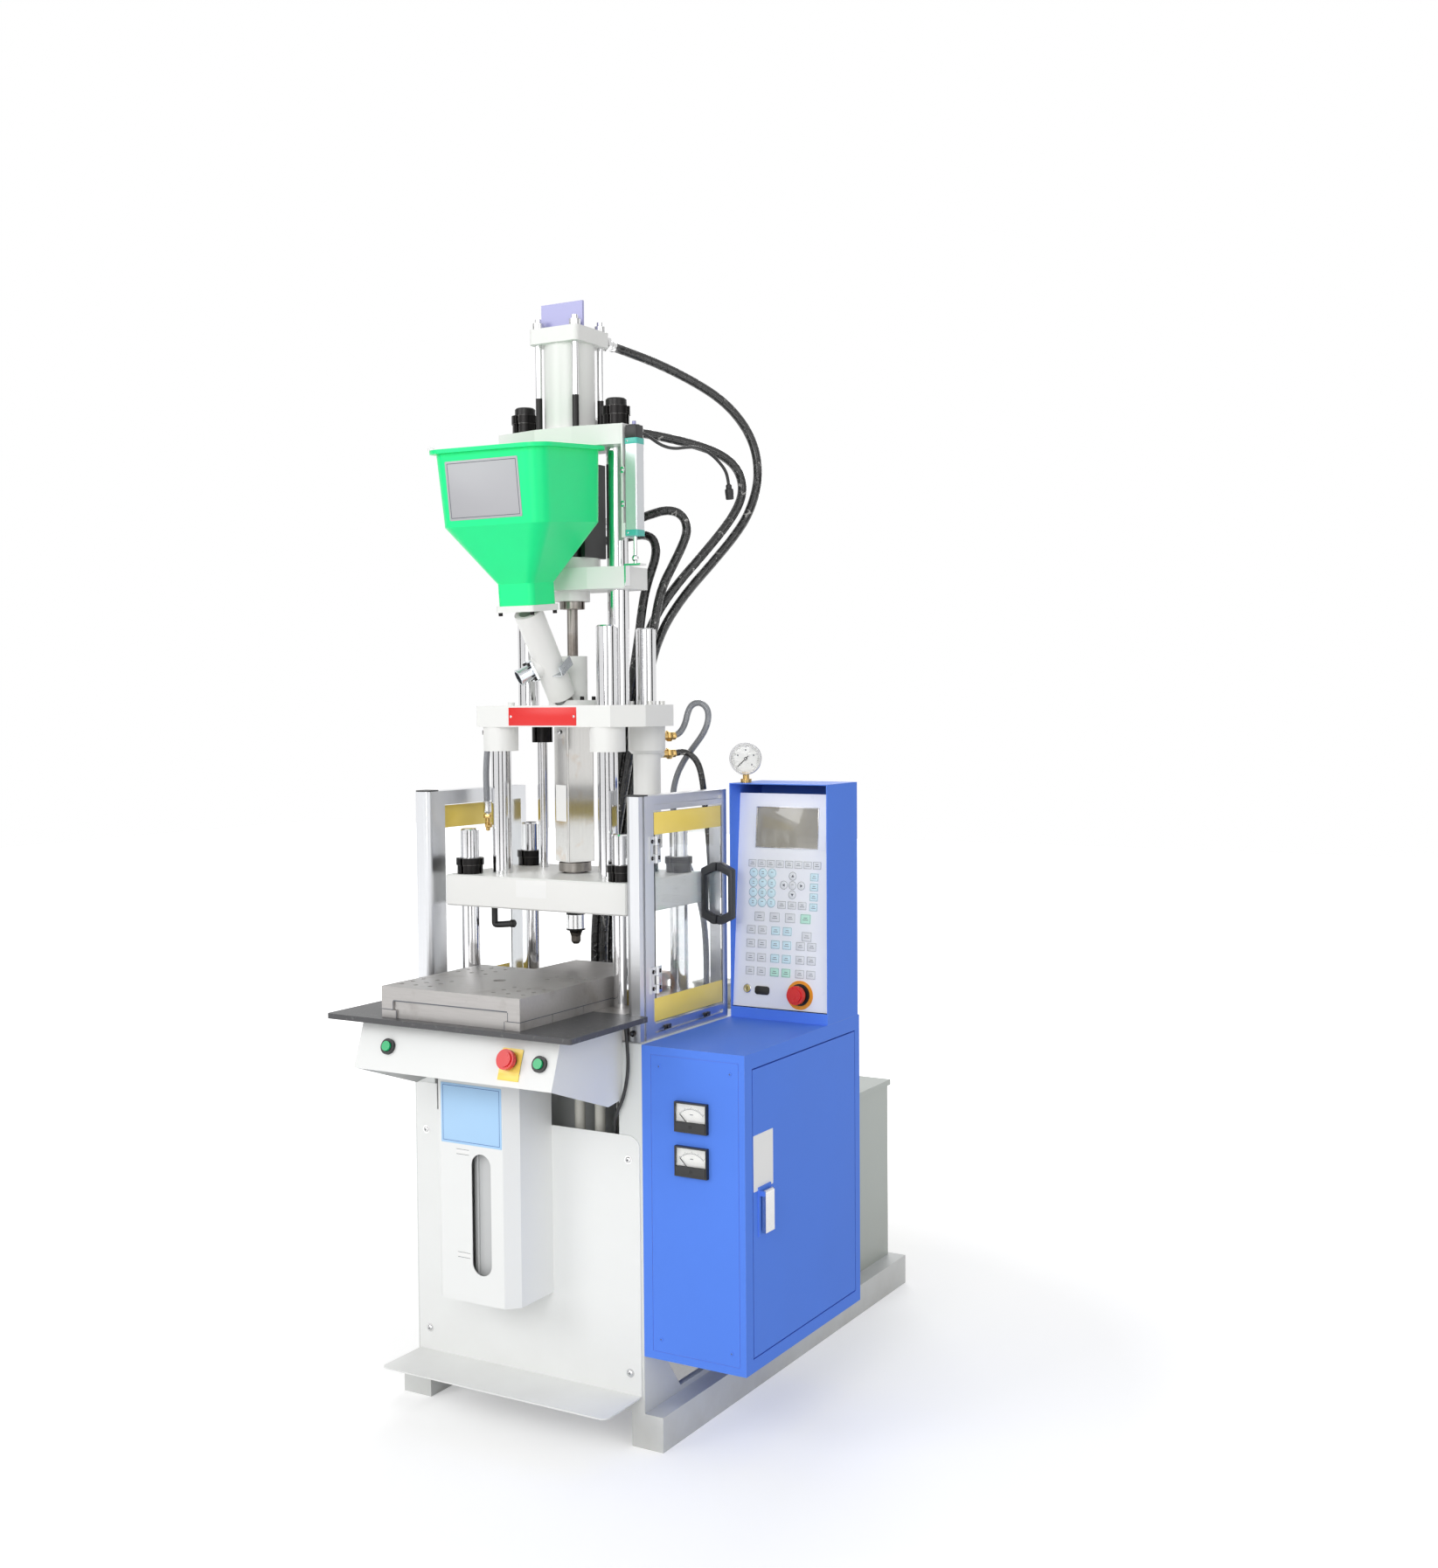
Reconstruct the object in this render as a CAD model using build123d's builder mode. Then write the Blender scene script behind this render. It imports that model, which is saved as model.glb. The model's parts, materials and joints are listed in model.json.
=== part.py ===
import os
from math import atan2, cos, hypot, radians, sin, tan

from build123d import *

os.makedirs("parts", exist_ok=True)

# Lengths are in millimetres. Places ending in _x and _y are measured from the injection axis.
running = 0.05
loose = 0.3
seam = 0.3
overrun = 1.0

# Floor beams and welded body
beam_step_x = 43.0
beam_width = 74.0
beam_height = 72.0
beam_wall = 5.0
body_front_y = -195.0
beam_rear_y = 989.0
body_half_x = 291.0
body_rear_y = 240.0
body_top_z = 822.0
side_plate = 8.0
front_flange = 55.0
top_plate = 10.0
column_depth = 60.0
gusset_depth = 138.0
gusset_low_z = 84.0
window_low_z = 190.0
window_high_z = 300.0
rear_column = 70.0
top_opening_front_y = -150.0
top_opening_rear_y = 150.0
hose_slot_front_y = 160.0
hose_slot_rear_y = 226.0
hose_slot_left_x = -105.0
hose_slot_right_x = -30.0

# Widths that follow the body's
guard_inset_x = 7.0
guard_deep_x = 34.0
bed_gap_x = 2.0
platen_gap_x = 18.0
tie_inset_x = 36.5
opening_gap_x = 40.5
slide_gap_x = 24.5
rail_inset_x = 30.0
rail_step_x = 8.0
tongue_inset_x = 2.0
tap_inset_x = 56.0
platen_tap_inset_x = 82.0
post_inset_x = 57.5
carriage_reach_x = 81.0
carriage_flat_reach_x = 33.0
hose_stub_inset_x = 5.0
table_reach_x = 10.0
cover_inset_x = 6.0
front_tab = 56.0
lid_inset_x = 29.0
console_inset_x = 46.0
button_left_inset_x = 80.0
button_right_inset_x = 36.0
estop_inset_x = 104.0
cabinet_width = 235.0
inset_left_in_x = 21.0
inset_right_in_x = 13.0
meter_in_x = 117.0
panel_in_x = 39.0
display_left_in_x = 52.0
display_right_in_x = 209.0
panel_estop_in_x = 164.0
gauge_in_x = 21.0
seat_slot_near_x = 42.0
seat_slot_far_x = 106.0
cable_in_x = 33.0
beam_outer_x = body_half_x + beam_step_x
guard_outer_x = body_half_x - guard_inset_x
guard_inner_x = guard_outer_x - guard_deep_x
bed_half_x = guard_inner_x - bed_gap_x
platen_half_x = guard_inner_x - platen_gap_x
lower_half_x = platen_half_x
tie_x = platen_half_x - tie_inset_x
top_opening_x = tie_x + opening_gap_x
slide_half_x = tie_x - slide_gap_x
rail_half_x = slide_half_x - rail_inset_x
rail_web_half_x = rail_half_x - rail_step_x
tongue_right_x = slide_half_x - tongue_inset_x
tap_column_x = slide_half_x - tap_inset_x
platen_tap_x = platen_half_x - platen_tap_inset_x
post_x = tie_x - post_inset_x
carriage_half_x = post_x + carriage_reach_x
carriage_flat_x = post_x + carriage_flat_reach_x
hose_stub_x = hose_stub_inset_x - carriage_half_x
seat_slot_left_x = post_x + seat_slot_near_x
seat_slot_right_x = post_x + seat_slot_far_x
table_half_x = body_half_x + table_reach_x
front_cover_right_x = body_half_x - cover_inset_x
front_cover_left_x = -front_cover_right_x
front_tab_right_x = front_cover_left_x + front_tab
lid_half_x = body_half_x - lid_inset_x
console_half_x = body_half_x - console_inset_x
button_left_x = button_left_inset_x - console_half_x
button_right_x = console_half_x - button_right_inset_x
estop_x = console_half_x - estop_inset_x
cabinet_left_x = body_half_x
cabinet_right_x = cabinet_left_x + cabinet_width
inset_left_x = cabinet_left_x + inset_left_in_x
inset_right_x = cabinet_right_x - inset_right_in_x
meter_x = cabinet_left_x + meter_in_x
panel_x = cabinet_left_x + panel_in_x
display_left_x = cabinet_left_x + display_left_in_x
display_right_x = cabinet_left_x + display_right_in_x
panel_estop_x = cabinet_left_x + panel_estop_in_x
gauge_x = cabinet_left_x + gauge_in_x
console_cable_x = body_half_x - cable_in_x

# Bed, table plate and rail
bed_front_y = -187.0
bed_rear_y = 160.0
bed_top_z = 877.0
table_front_y = -455.0
table_thick = 11.0
table_corner = 6.0
rail_front_y = -432.0
rail_rear_y = 156.0
rail_step_z = 893.0
rail_top_z = 911.0
channel_half_x = 22.0
channel_floor_z = 879.0
channel_front_y = -400.0
slide_tube_d = 28.0
slide_tube_front_y = -95.0
slide_tube_rear_y = 206.0
slide_tube_z = 894.0
slide_rod_d = 14.0
slide_rod_bite = 10.0

# Slide table
slide_front_y = -436.0
slide_rear_y = -114.0
slide_top_z = 940.0
slide_gap = 0.2
tongue_left_x = -26.0
tongue_rear_y = 36.0
mould_y = -273.0
centre_hole_d = 26.0
tap_d = 10.0
tap_deep = 22.0
tap_column_pitch = 36.0
tap_row_y = 90.0
tap_row_pitch = 34.0
gib_cut = 2.0
gib_cut_shares = (1 / 3, 2 / 3)
gib_inset_x = 0.3
lug_front_y = -392.0
lug_rear_y = -380.0
lug_half_x = 12.0
lug_low_z = 884.0

# Clamp unit
tie_half_y = 110.0
clamp_shift_y = -5.5
tie_d = 40.0
tie_top_z = 1234.0
tie_low_z = 300.0
tie_chamfer = 3.0
platen_half_y = 149.5
platen_low_z = 1070.0
platen_top_z = 1137.0
platen_edge = 3.0
nozzle_hole_d = 52.0
tie_nut_low_d = 55.0
tie_nut_low = 19.0
tie_nut_top_d = 60.0
tie_nut_top = 15.0
nut_slot = 7.0
nut_slot_deep = 5.0
platen_tap_y = 100.0
lower_half_y = 140.0
lower_low_z = 330.0
lower_top_z = 385.0
lower_nut_d = 62.0
lower_nut = 24.0
clamp_rod_d = 110.0
piston_d = 140.0
piston_low_z = 640.0
piston_high_z = 680.0
clamp_tube_d = 190.0
clamp_tube_low_z = 572.0
clamp_bore_low_z = 600.0
clamp_bore_high_z = 806.0

# Guide posts, seat rod and stop rod
post_y = 76.0
post_d = 43.0
post_embed = 45.0
right_post_rise = 166.0
seat_rod_rise = 164.0
stop_rod_d = 23.0
stop_rod_low_z = 1074.0

# Carriage plate with bosses and seat cylinder
carriage_half_y = 115.0
carriage_end_y = 55.0
carriage_low_z = 1453.0
carriage_thick = 45.0
carriage_top_z = carriage_low_z + carriage_thick
left_post_top_z = carriage_top_z
right_post_top_z = carriage_top_z + right_post_rise
seat_rod_top_z = carriage_top_z + seat_rod_rise
boss_d = 75.0
boss_drop = 52.0
boss_low_z = carriage_low_z - boss_drop
seat_cap_d = 80.0
seat_cap_drop = 60.0
seat_cap_low_z = carriage_low_z - seat_cap_drop
seat_cap_chamfer = 7.0
seat_tube_d = 59.0
seat_tube_low_z = 1190.0
seat_bolt_x = 24.0
seat_bolt_d = 13.0
seat_bolt_head = 8.0
port_d = 18.0
port_reach = 13.0
port_turn_degrees = 60.0
seat_port_high_drop = 23.0
seat_port_high_z = carriage_low_z - seat_port_high_drop
seat_port_low_drop = 61.0
seat_port_low_z = carriage_low_z - seat_port_low_drop
plate_bolt_d = 15.0
plate_bolt_head = 7.0
plate_bolt_x = -100.0
plate_bolt_y = -88.0
hose_stub_y = -23.0
hose_stub_d = 18.0
hose_stub_drop = 13.0
hose_stub_low_z = carriage_low_z - hose_stub_drop

# Barrel, nozzle and cover
barrel_d = 44.0
barrel_bore_d = 25.0
barrel_rise = 105.0
barrel_top_z = carriage_top_z + barrel_rise
adaptor_d = 70.0
adaptor_low_z = 1141.0
adaptor_high_z = 1160.0
band_d = 41.0
band_low_z = 1012.0
nozzle_d = 30.0
nozzle_shoulder_z = 999.0
tip_d = 21.0
tip_low_z = 982.0
tip_nose_d = 12.0
tip_nose = 6.0
bore_low_z = 1040.0
melt_hole_d = 5.0
feed_slot_rise = 24.0
feed_slot_low_z = carriage_top_z + feed_slot_rise
feed_slot_high = 34.0
feed_slot_high_z = feed_slot_low_z + feed_slot_high
feed_slot_half_x = 9.0
cover_side = 64.0
cover_wall = 1.5
cover_low_z = 1162.0
cover_turn_degrees = -28.0

# Feed block, chute and hopper
feed_block_d = 62.0
feed_flange_d = 106.0
feed_flange = 11.0
chute_d = 60.0
chute_bore_d = 40.0
chute_low_y = -44.0
chute_rise = 22.0
chute_low_z = carriage_top_z + chute_rise
chute_top_y = -160.0
chute_high = 172.0
chute_top_z = chute_low_z + chute_high
hopper_lean_degrees = 5.0
hopper_turn_degrees = 4.0
hopper_y = -162.0
hopper_rise = 14.0
hopper_z = chute_top_z + hopper_rise
chute_flange_side = 95.0
chute_flange = 13.0
neck_side = 90.0
neck_round = 14.0
neck_top = 45.0
funnel_top = 164.0
wall_low_side = 246.0
wall_low_round = 34.0
wall_top = 311.0
wall_top_side = 259.0
wall_top_round = 36.0
lip_side = 283.0
lip_round = 44.0
lip = 8.0
hopper_wall = 3.0
gate_share = 0.3
gate_thick = 2.0
gate_half = 24.0
gate_gap = 0.3
gate_back_x = -18.0
gate_front_x = 40.0
gate_tab = 22.0
gate_tab_reach = 46.0
spout_share = 0.4
spout_dir_shares = (-0.55, -0.70, -0.45)
spout_boss_d = 44.0
spout_boss = 38.0
spout_plate = 5.0
spout_plate_side = 46.0
spout_d = 33.0
spout_wall = 2.0
spout_length = 30.0
spout_start = 22.0

# Injection unit
rod_x = 118.0
rod_d = 45.0
rod_foot = 10.0
rod_low_z = carriage_low_z + rod_foot
rod_top_z = 2142.0
upper_low_z = 2040.0
upper_top_z = 2082.0
upper_half_x = 158.0
upper_flat_x = 48.0
upper_half_y = 64.0
upper_end_y = 43.0
rod_nut_low_d = 56.0
rod_nut_low = 25.0
rod_nut_top_d = 60.0
rod_nut_top = 18.0
stop_nut_d = 46.0
stop_nut = 37.0
cylinder_d = 108.0
cylinder_bore_d = 80.0
cylinder_top_z = 2262.0
flange_half = 62.5
flange_top_z = 2294.0
flange_round = 10.0
cylinder_rod_x = 47.0
cylinder_rod_d = 14.0
cylinder_rod_reach = 22.0
hex_r = 12.0
hex_high = 13.0
top_plate_half_x = 53.0
top_plate_y = -24.0
top_plate_thick = 6.0
top_plate_top_z = 2350.0
rear_port_d = 26.0
rear_port_reach = 14.0
upper_port_x = 40.0
upper_port_z = 2277.0
lower_port_x = 22.0
lower_port_z = 2104.0
crosshead_low_z = 1741.0
crosshead_top_z = 1787.0
crosshead_half_x = 163.0
crosshead_flat_x = 81.0
crosshead_half_y = 62.0
crosshead_end_y = 45.0
crosshead_boss_d = 77.0
crosshead_boss_low_z = 1720.0
motor_seat_d = 124.0
motor_seat_top_z = 1811.0
motor_d = 92.0
motor_top_z = 1950.0
cage_half_x = 62.0
cage_wall = 10.0
cage_half_y = 40.0
cage_top_z = 1988.0
cage_bridge = 22.0
motor_port_d = 24.0
motor_port_x = 22.0
motor_port_y = 66.0
motor_port_high_z = 1893.0
motor_port_low_z = 1860.0
ram_rod_d = 45.0
ram_low_z = 2180.0
ram_high_z = 2206.0
screw_d = 23.0
screw_low_z = 1150.0
flight_top_z = 1500.0
screw_collar_d = 54.0
screw_collar_low_z = 1704.0
screw_top_z = 1765.0

# Position transducer
bracket_thick = 4.0
bracket_front_y = -45.0
bracket_rear_y = 2.0
bracket_low_z = 1846.0
transducer_left_x = 166.0
transducer_side = 30.0
transducer_front_y = -44.0
transducer_low_z = 1849.0
transducer_top_z = 2050.0
transducer_round = 4.0
plug_d = 24.0
plug_top_z = 2078.0
plug_pin_d = 8.0
plug_pin_top_z = 2086.0
gland_d = 11.0
gland = 6.0
gland_z = 2066.0
sense_rod_d = 8.0
sense_rod_top_z = 1945.0
sense_ball_d = 15.0
sense_ball_z = 1803.0
sense_leaf = 4.0
sense_leaf_low_z = 1746.0
sense_leaf_reach_x = 203.0

# Covers and console
cover_sheet = 3.0
front_cover_low_z = 104.0
front_cover_top_z = 635.0
front_cover_round = 25.0
front_tab_top_z = 690.0
kick_front_y = -328.0
kick_round = 16.0
box_sheet = 2.0
box_left_x = -136.0
box_right_x = 71.5
box_face_left_x = -111.0
box_face_right_x = 47.0
box_front_y = -332.0
box_shoulder_y = -307.0
box_low_z = 286.0
box_top_z = 760.0
box_slot_x = -8.5
box_slot_width = 49.0
box_slot_low_z = 345.0
box_slot_high_z = 594.0
switch_rail_half_x = 16.0
switch_rail_front_y = -312.0
switch_rail_rear_y = -298.0
console_sheet = 2.0
console_top_y = -405.0
console_top_z = 866.0
console_low_y = -440.0
console_low_z = 768.0
console_side_y = -247.0
console_side_z = 701.0
console_heel_y = -200.0
console_heel_z = 707.0
console_open = 100.0
button_z = 815.0
socket_d = 32.0
socket_high = 7.0
socket_sleeve_d = 24.0
socket_sleeve = 40.0
button_d = 20.0
button_high = 9.0
button_deep = 22.0
button_room = 30.0
estop_plate = 47.0
estop_plate_thick = 2.0
estop_collar_d = 28.0
estop_collar = 8.0
estop_head_d = 40.0
estop_neck_d = 16.0
estop_gap = 6.0
estop_head = 10.0
estop_crown_d = 30.0
estop_crown = 3.0

# Oil tank and power pack
tank_front_y = 330.0
tank_rear_y = 975.0
tank_low_z = 72.0
tank_top_z = 528.0
tank_wall = 4.0
tank_rim = 14.0
tank_rim_thick = 6.0
lid_front_y = 362.0
lid_rear_y = 850.0
lid_top_z = 558.0
motor_foot_half_x = 60.0
pump_motor_d = 190.0
pump_motor_y = 640.0
pump_motor_z = 665.0
pump_motor_left_x = -150.0
pump_motor_right_x = 140.0
pump_d = 110.0
pump_right_x = 225.0
pump_foot_half_y = 70.0
valve_half_x = 120.0
valve_front_y = 380.0
valve_rear_y = 470.0
valve_top_z = 690.0
pipe_d = 22.0
pipe_left_x = 120.0
pipe_right_x = 170.0
pipe_y = -165.0
pipe_low_z = 420.0

# Cabinet, door and latch
cabinet_front_y = -195.0
cabinet_rear_y = 317.0
cabinet_low_z = 190.0
cabinet_top_z = 821.0
cabinet_sheet = 2.0
cabinet_frame = 16.0
inset_low_z = 206.0
inset_high_z = 805.0
inset_line = 1.5
inset_deep = 0.8
opening_front_y = -166.0
opening_rear_y = 295.0
opening_low_z = 216.0
opening_high_z = 790.0
door_gap = 3.0
door_flange = 15.0
pivot_inset = 6.0
pivot_d = 6.0
pivot_reach = 22.0
latch_y = -120.0
latch_z = 503.0
latch_plate_half_y = 25.0
latch_plate_half_z = 49.0
latch_plate = 3.0
latch_reach = 14.0
lever_half_y = 18.0
lever_half_z = 42.0
lever_hub_d = 10.0
lever_thick = 8.0
lever_pin_d = 4.0
ear = 4.0
panel_thick = 4.0
panel_front_y = -150.0
panel_rear_y = 280.0
panel_low_z = 240.0
panel_high_z = 770.0
gear_deep = 70.0
gear_row_one_z = 290.0
gear_row_two_z = 430.0
gear_row_three_z = 570.0
gear_row_four_z = 690.0
gear_high = 70.0
gear_half_y = 42.0
gear_pitch_y = 110.0
gear_first_y = -85.0
gear_count = 4
duct_deep = 40.0
duct_high = 30.0
duct_row_one_z = 355.0
duct_row_two_z = 500.0
duct_row_three_z = 630.0
meter_half_x = 37.0
meter_half_z = 30.0
meter_upper_z = 688.0
meter_lower_z = 600.0
meter_proud = 9.0
meter_wall = 3.0
meter_room = 6.0
meter_back_half = 25.0
meter_back = 36.0
meter_pin_d = 3.0
meter_pin_drop = 20.0
meter_pin_reach = 4.0
needle_thick = 0.8
needle_width = 1.6
needle_length = 36.0
needle_hub_d = 7.0
needle_lift = 1.5

# Control box and gauge
box_unit_front_y = 165.0
box_unit_rear_y = 310.0
box_unit_top_z = 1328.0
box_unit_sheet = 2.0
keypad_low_y = 172.0
keypad_low_z = 845.0
keypad_top_y = 210.0
keypad_top_z = 1305.0
keypad_thick = 3.0
display_low = 344.0
display_high = 430.0
display_deep = 1.5
panel_estop_rise = 34.0
gauge_y = 202.0
gauge_z = 1380.0
gauge_d = 68.0
gauge_deep = 28.0
gauge_rim = 3.0
gauge_room = 9.0
gauge_turn_degrees = 25.0
gauge_stem_d = 14.0
gauge_foot_d = 24.0
gauge_foot = 8.0
gauge_pin_d = 3.0
gauge_pin_reach = 5.0
gauge_needle_length = 24.0
gauge_needle_tail = 8.0

# Guards
guard_front_y = -187.0
guard_post_rear_y = -151.0
guard_rear_y = 163.0
guard_upright = 20.0
guard_rail = 30.0
guard_top_z = 1315.0
guard_cap = 5.0
guard_round = 14.0
groove = 8.0
groove_deep = 5.0
sheet_thick = 5.0
sheet_gap = 4.0
hinge_y = -129.0
hinge_offset = 4.5
hinge_knuckle_d = 8.0
hinge_pin_d = 4.0
hinge_leaf = 2.5
hinge_leaf_width = 17.0
hinge_high = 54.0
hinge_bite = 1.5
hinge_upper_z = 1206.0
hinge_lower_z = 942.0
knuckle_gap = 0.3
handle_y = 128.0
handle_half_y = 11.0
handle_low_z = 1026.0
handle_high_z = 1159.0
handle_reach = 38.0
handle_bar = 12.0
handle_foot = 22.0

# Hoses and cables; path points count route units from the injection axis and the floor,
# the seat hoses from the seat rod, the cooling hose from its stub and the console cable from its hole
route_unit = 1.0
hose_d = 20.0
seat_hose_d = 14.0
cable_d = 7.0
hose_lead = 36.0
motor_hose_lead = 30.0
seat_hose_lead = 18.0
hose_fillet_share = 0.45
cable_lead = 12.0
hose_upper_path = [
    (58.0, 151.0, 2268.0), (86.0, 188.0, 2255.0), (122.0, 232.0, 2234.0), (163.0, 280.0, 2205.0),
    (200.0, 316.0, 2172.0), (230.0, 340.0, 2130.0), (249.0, 355.0, 2087.0), (259.0, 361.0, 2039.0),
    (260.0, 357.0, 1985.0), (247.0, 337.0, 1921.0), (227.0, 311.0, 1874.0), (194.0, 267.0, 1812.0),
    (162.0, 226.0, 1757.0), (132.0, 196.0, 1702.0), (106.0, 184.0, 1650.0), (82.0, 186.0, 1590.0),
    (56.0, 192.0, 1500.0), (30.0, 198.0, 1395.0), (10.0, 202.0, 1280.0), (-12.0, 204.0, 1160.0),
    (-36.0, 204.0, 1050.0), (-47.0, 205.0, 950.0), (-49.0, 205.0, 850.0), (-47.0, 205.0, 740.0),
    (-49.0, 205.0, 640.0)]
hose_lower_path = [
    (36.0, 138.0, 2102.0), (62.0, 168.0, 2098.0), (98.0, 200.0, 2091.0), (136.0, 236.0, 2081.0),
    (172.0, 268.0, 2069.0), (203.0, 296.0, 2053.0), (226.0, 317.0, 2029.0), (237.0, 327.0, 1998.0),
    (238.0, 326.0, 1964.0), (229.0, 313.0, 1929.0), (212.0, 291.0, 1890.0), (178.0, 246.0, 1826.0),
    (144.0, 204.0, 1768.0), (112.0, 178.0, 1712.0), (84.0, 168.0, 1655.0), (60.0, 170.0, 1595.0),
    (32.0, 186.0, 1500.0), (6.0, 197.0, 1395.0), (-14.0, 202.0, 1280.0), (-37.0, 205.0, 1160.0),
    (-60.0, 204.0, 1050.0), (-71.0, 205.0, 950.0), (-73.0, 205.0, 850.0), (-71.0, 205.0, 740.0),
    (-73.0, 205.0, 640.0)]
motor_hose_outer_path = [
    (40.0, 136.0, 1897.0), (68.0, 154.0, 1905.0), (100.0, 164.0, 1916.0), (130.0, 173.0, 1924.0),
    (154.0, 185.0, 1920.0), (168.0, 195.0, 1903.0), (171.0, 198.0, 1877.0), (163.0, 190.0, 1846.0),
    (150.0, 170.0, 1802.0), (138.0, 150.0, 1762.0), (131.0, 138.0, 1720.0), (116.0, 142.0, 1660.0),
    (92.0, 152.0, 1590.0), (62.0, 166.0, 1500.0), (32.0, 174.0, 1395.0), (6.0, 178.0, 1280.0),
    (-20.0, 180.0, 1160.0), (-43.0, 181.0, 1050.0), (-50.0, 180.0, 950.0), (-49.0, 181.0, 850.0),
    (-50.0, 181.0, 740.0), (-49.0, 181.0, 640.0)]
motor_hose_inner_path = [
    (-8.0, 136.0, 1861.0), (14.0, 154.0, 1864.0), (42.0, 163.0, 1869.0), (72.0, 166.0, 1873.0),
    (96.0, 167.0, 1868.0), (110.0, 165.0, 1850.0), (114.0, 158.0, 1822.0), (110.0, 144.0, 1788.0),
    (105.0, 128.0, 1748.0), (101.0, 120.0, 1706.0), (88.0, 127.0, 1650.0), (66.0, 140.0, 1580.0),
    (36.0, 158.0, 1490.0), (6.0, 172.0, 1390.0), (-18.0, 178.0, 1280.0), (-44.0, 180.0, 1160.0),
    (-67.0, 181.0, 1050.0), (-74.0, 180.0, 950.0), (-73.0, 181.0, 850.0), (-74.0, 181.0, 740.0),
    (-73.0, 181.0, 640.0)]
transducer_cable_path = [
    (188.0, 22.0, 2058.0), (194.0, 56.0, 2045.0), (201.0, 96.0, 2042.0), (207.0, 142.0, 2051.0),
    (209.0, 188.0, 2056.0), (219.0, 222.0, 2045.0), (233.0, 246.0, 2022.0), (240.0, 258.0, 2000.0),
    (241.0, 260.0, 1976.0)]
seat_hose_high_path = [
    (43.0, 74.0, 1440.0), (49.0, 82.0, 1460.0), (51.0, 87.0, 1480.0), (58.0, 90.0, 1496.0),
    (74.0, 93.0, 1503.0), (90.0, 96.0, 1496.0), (97.0, 99.0, 1480.0), (93.0, 102.0, 1456.0),
    (77.0, 105.0, 1430.0), (52.0, 109.0, 1404.0), (24.0, 113.0, 1374.0), (1.0, 116.0, 1336.0),
    (-11.0, 120.0, 1288.0), (-8.0, 126.0, 1235.0), (10.0, 132.0, 1165.0), (38.0, 135.0, 1095.0),
    (59.0, 133.0, 1020.0), (66.0, 130.0, 935.0), (64.0, 129.0, 840.0), (66.0, 129.0, 740.0),
    (64.0, 129.0, 640.0)]
seat_hose_low_path = [
    (46.0, 71.0, 1396.0), (63.0, 82.0, 1389.0), (76.0, 91.0, 1368.0), (81.0, 98.0, 1332.0),
    (83.0, 104.0, 1280.0), (86.0, 110.0, 1190.0), (88.0, 118.0, 1090.0), (86.0, 126.0, 980.0),
    (88.0, 130.0, 860.0), (86.0, 129.0, 750.0), (88.0, 129.0, 640.0)]
cooling_hose_path = [
    (-4.0, 0.0, 1385.0), (-6.0, -1.0, 1345.0), (-5.0, 0.0, 1300.0), (-4.0, 0.0, 1262.0)]
console_cable_path = [
    (5.0, -2.0, 820.0), (7.0, -2.0, 782.0), (3.0, -2.0, 745.0), (-7.0, -2.0, 708.0),
    (-21.0, -2.0, 682.0), (-31.0, 3.0, 660.0), (-35.0, 15.0, 634.0), (-37.0, 22.0, 596.0),
    (-35.0, 28.0, 550.0)]
console_cable_y = -202.0

# The injection axis sits where the whole machine's footprint is centred on the origin
axis_x = (beam_outer_x - cabinet_right_x - latch_reach) / 2
axis_y = -(table_front_y + beam_rear_y) / 2
pivot_x = cabinet_right_x - pivot_inset
pivot_y = opening_rear_y - door_gap - pivot_inset
lever_pin_x = cabinet_right_x + latch_reach - lever_hub_d / 2
lever_pin_z = latch_z + lever_half_z - lever_hub_d / 2
hinge_x = guard_outer_x + hinge_offset
console_lean = atan2(console_top_y - console_low_y, console_top_z - console_low_z)
console_out = (0, -cos(console_lean), sin(console_lean))
button_y = console_low_y + (button_z - console_low_z) * tan(console_lean)
keypad_lean = atan2(keypad_top_y - keypad_low_y, keypad_top_z - keypad_low_z)
keypad_out = (0, -cos(keypad_lean), sin(keypad_lean))
gauge_turn = radians(gauge_turn_degrees)
gauge_out = (sin(gauge_turn), -cos(gauge_turn), 0)
hopper_lean = radians(hopper_lean_degrees)
hopper_up = (0, -sin(hopper_lean), cos(hopper_lean))
chute_run = (0, chute_top_y - chute_low_y, chute_top_z - chute_low_z)
chute_length = hypot(chute_run[1], chute_run[2])
chute_up = (0, chute_run[1] / chute_length, chute_run[2] / chute_length)
port_turn = radians(port_turn_degrees)
port_out = (cos(port_turn), sin(port_turn), 0)
transducer_x = transducer_left_x + transducer_side / 2
transducer_y = transducer_front_y + transducer_side / 2


def lead(tip, out, length):
    """The port's tip and a point straight out of it."""
    return [tip, tuple(here + way * length for here, way in zip(tip, out))]


def along(path, x=0, y=0):
    """The path's points, measured from x and y."""
    return [(x + route_unit * a, y + route_unit * b, route_unit * c) for a, b, c in path]


seat_tip_x = post_x + port_out[0] * (seat_cap_d / 2 + port_reach)
seat_tip_y = post_y + port_out[1] * (seat_cap_d / 2 + port_reach)
motor_tip_y = motor_port_y + rear_port_reach
upper_tip = (upper_port_x, flange_half + rear_port_reach, upper_port_z)
lower_tip = (lower_port_x, cylinder_d / 2 + rear_port_reach, lower_port_z)
gland_tip = (transducer_x, transducer_y + plug_d / 2 + gland, gland_z)
cable_tip = (console_cable_x, console_cable_y, bed_top_z - table_thick)
hose_upper_points = lead(upper_tip, (0, 1, 0), hose_lead) + along(hose_upper_path)
hose_lower_points = lead(lower_tip, (0, 1, 0), hose_lead) + along(hose_lower_path)
motor_hose_outer_points = lead((motor_port_x, motor_tip_y, motor_port_high_z), (0, 1, 0), motor_hose_lead)
motor_hose_outer_points += along(motor_hose_outer_path)
motor_hose_inner_points = lead((-motor_port_x, motor_tip_y, motor_port_low_z), (0, 1, 0), motor_hose_lead)
motor_hose_inner_points += along(motor_hose_inner_path)
transducer_cable_points = lead(gland_tip, (0, 1, 0), cable_lead) + along(transducer_cable_path)
seat_hose_high_points = lead((seat_tip_x, seat_tip_y, seat_port_high_z), port_out, seat_hose_lead)
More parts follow.
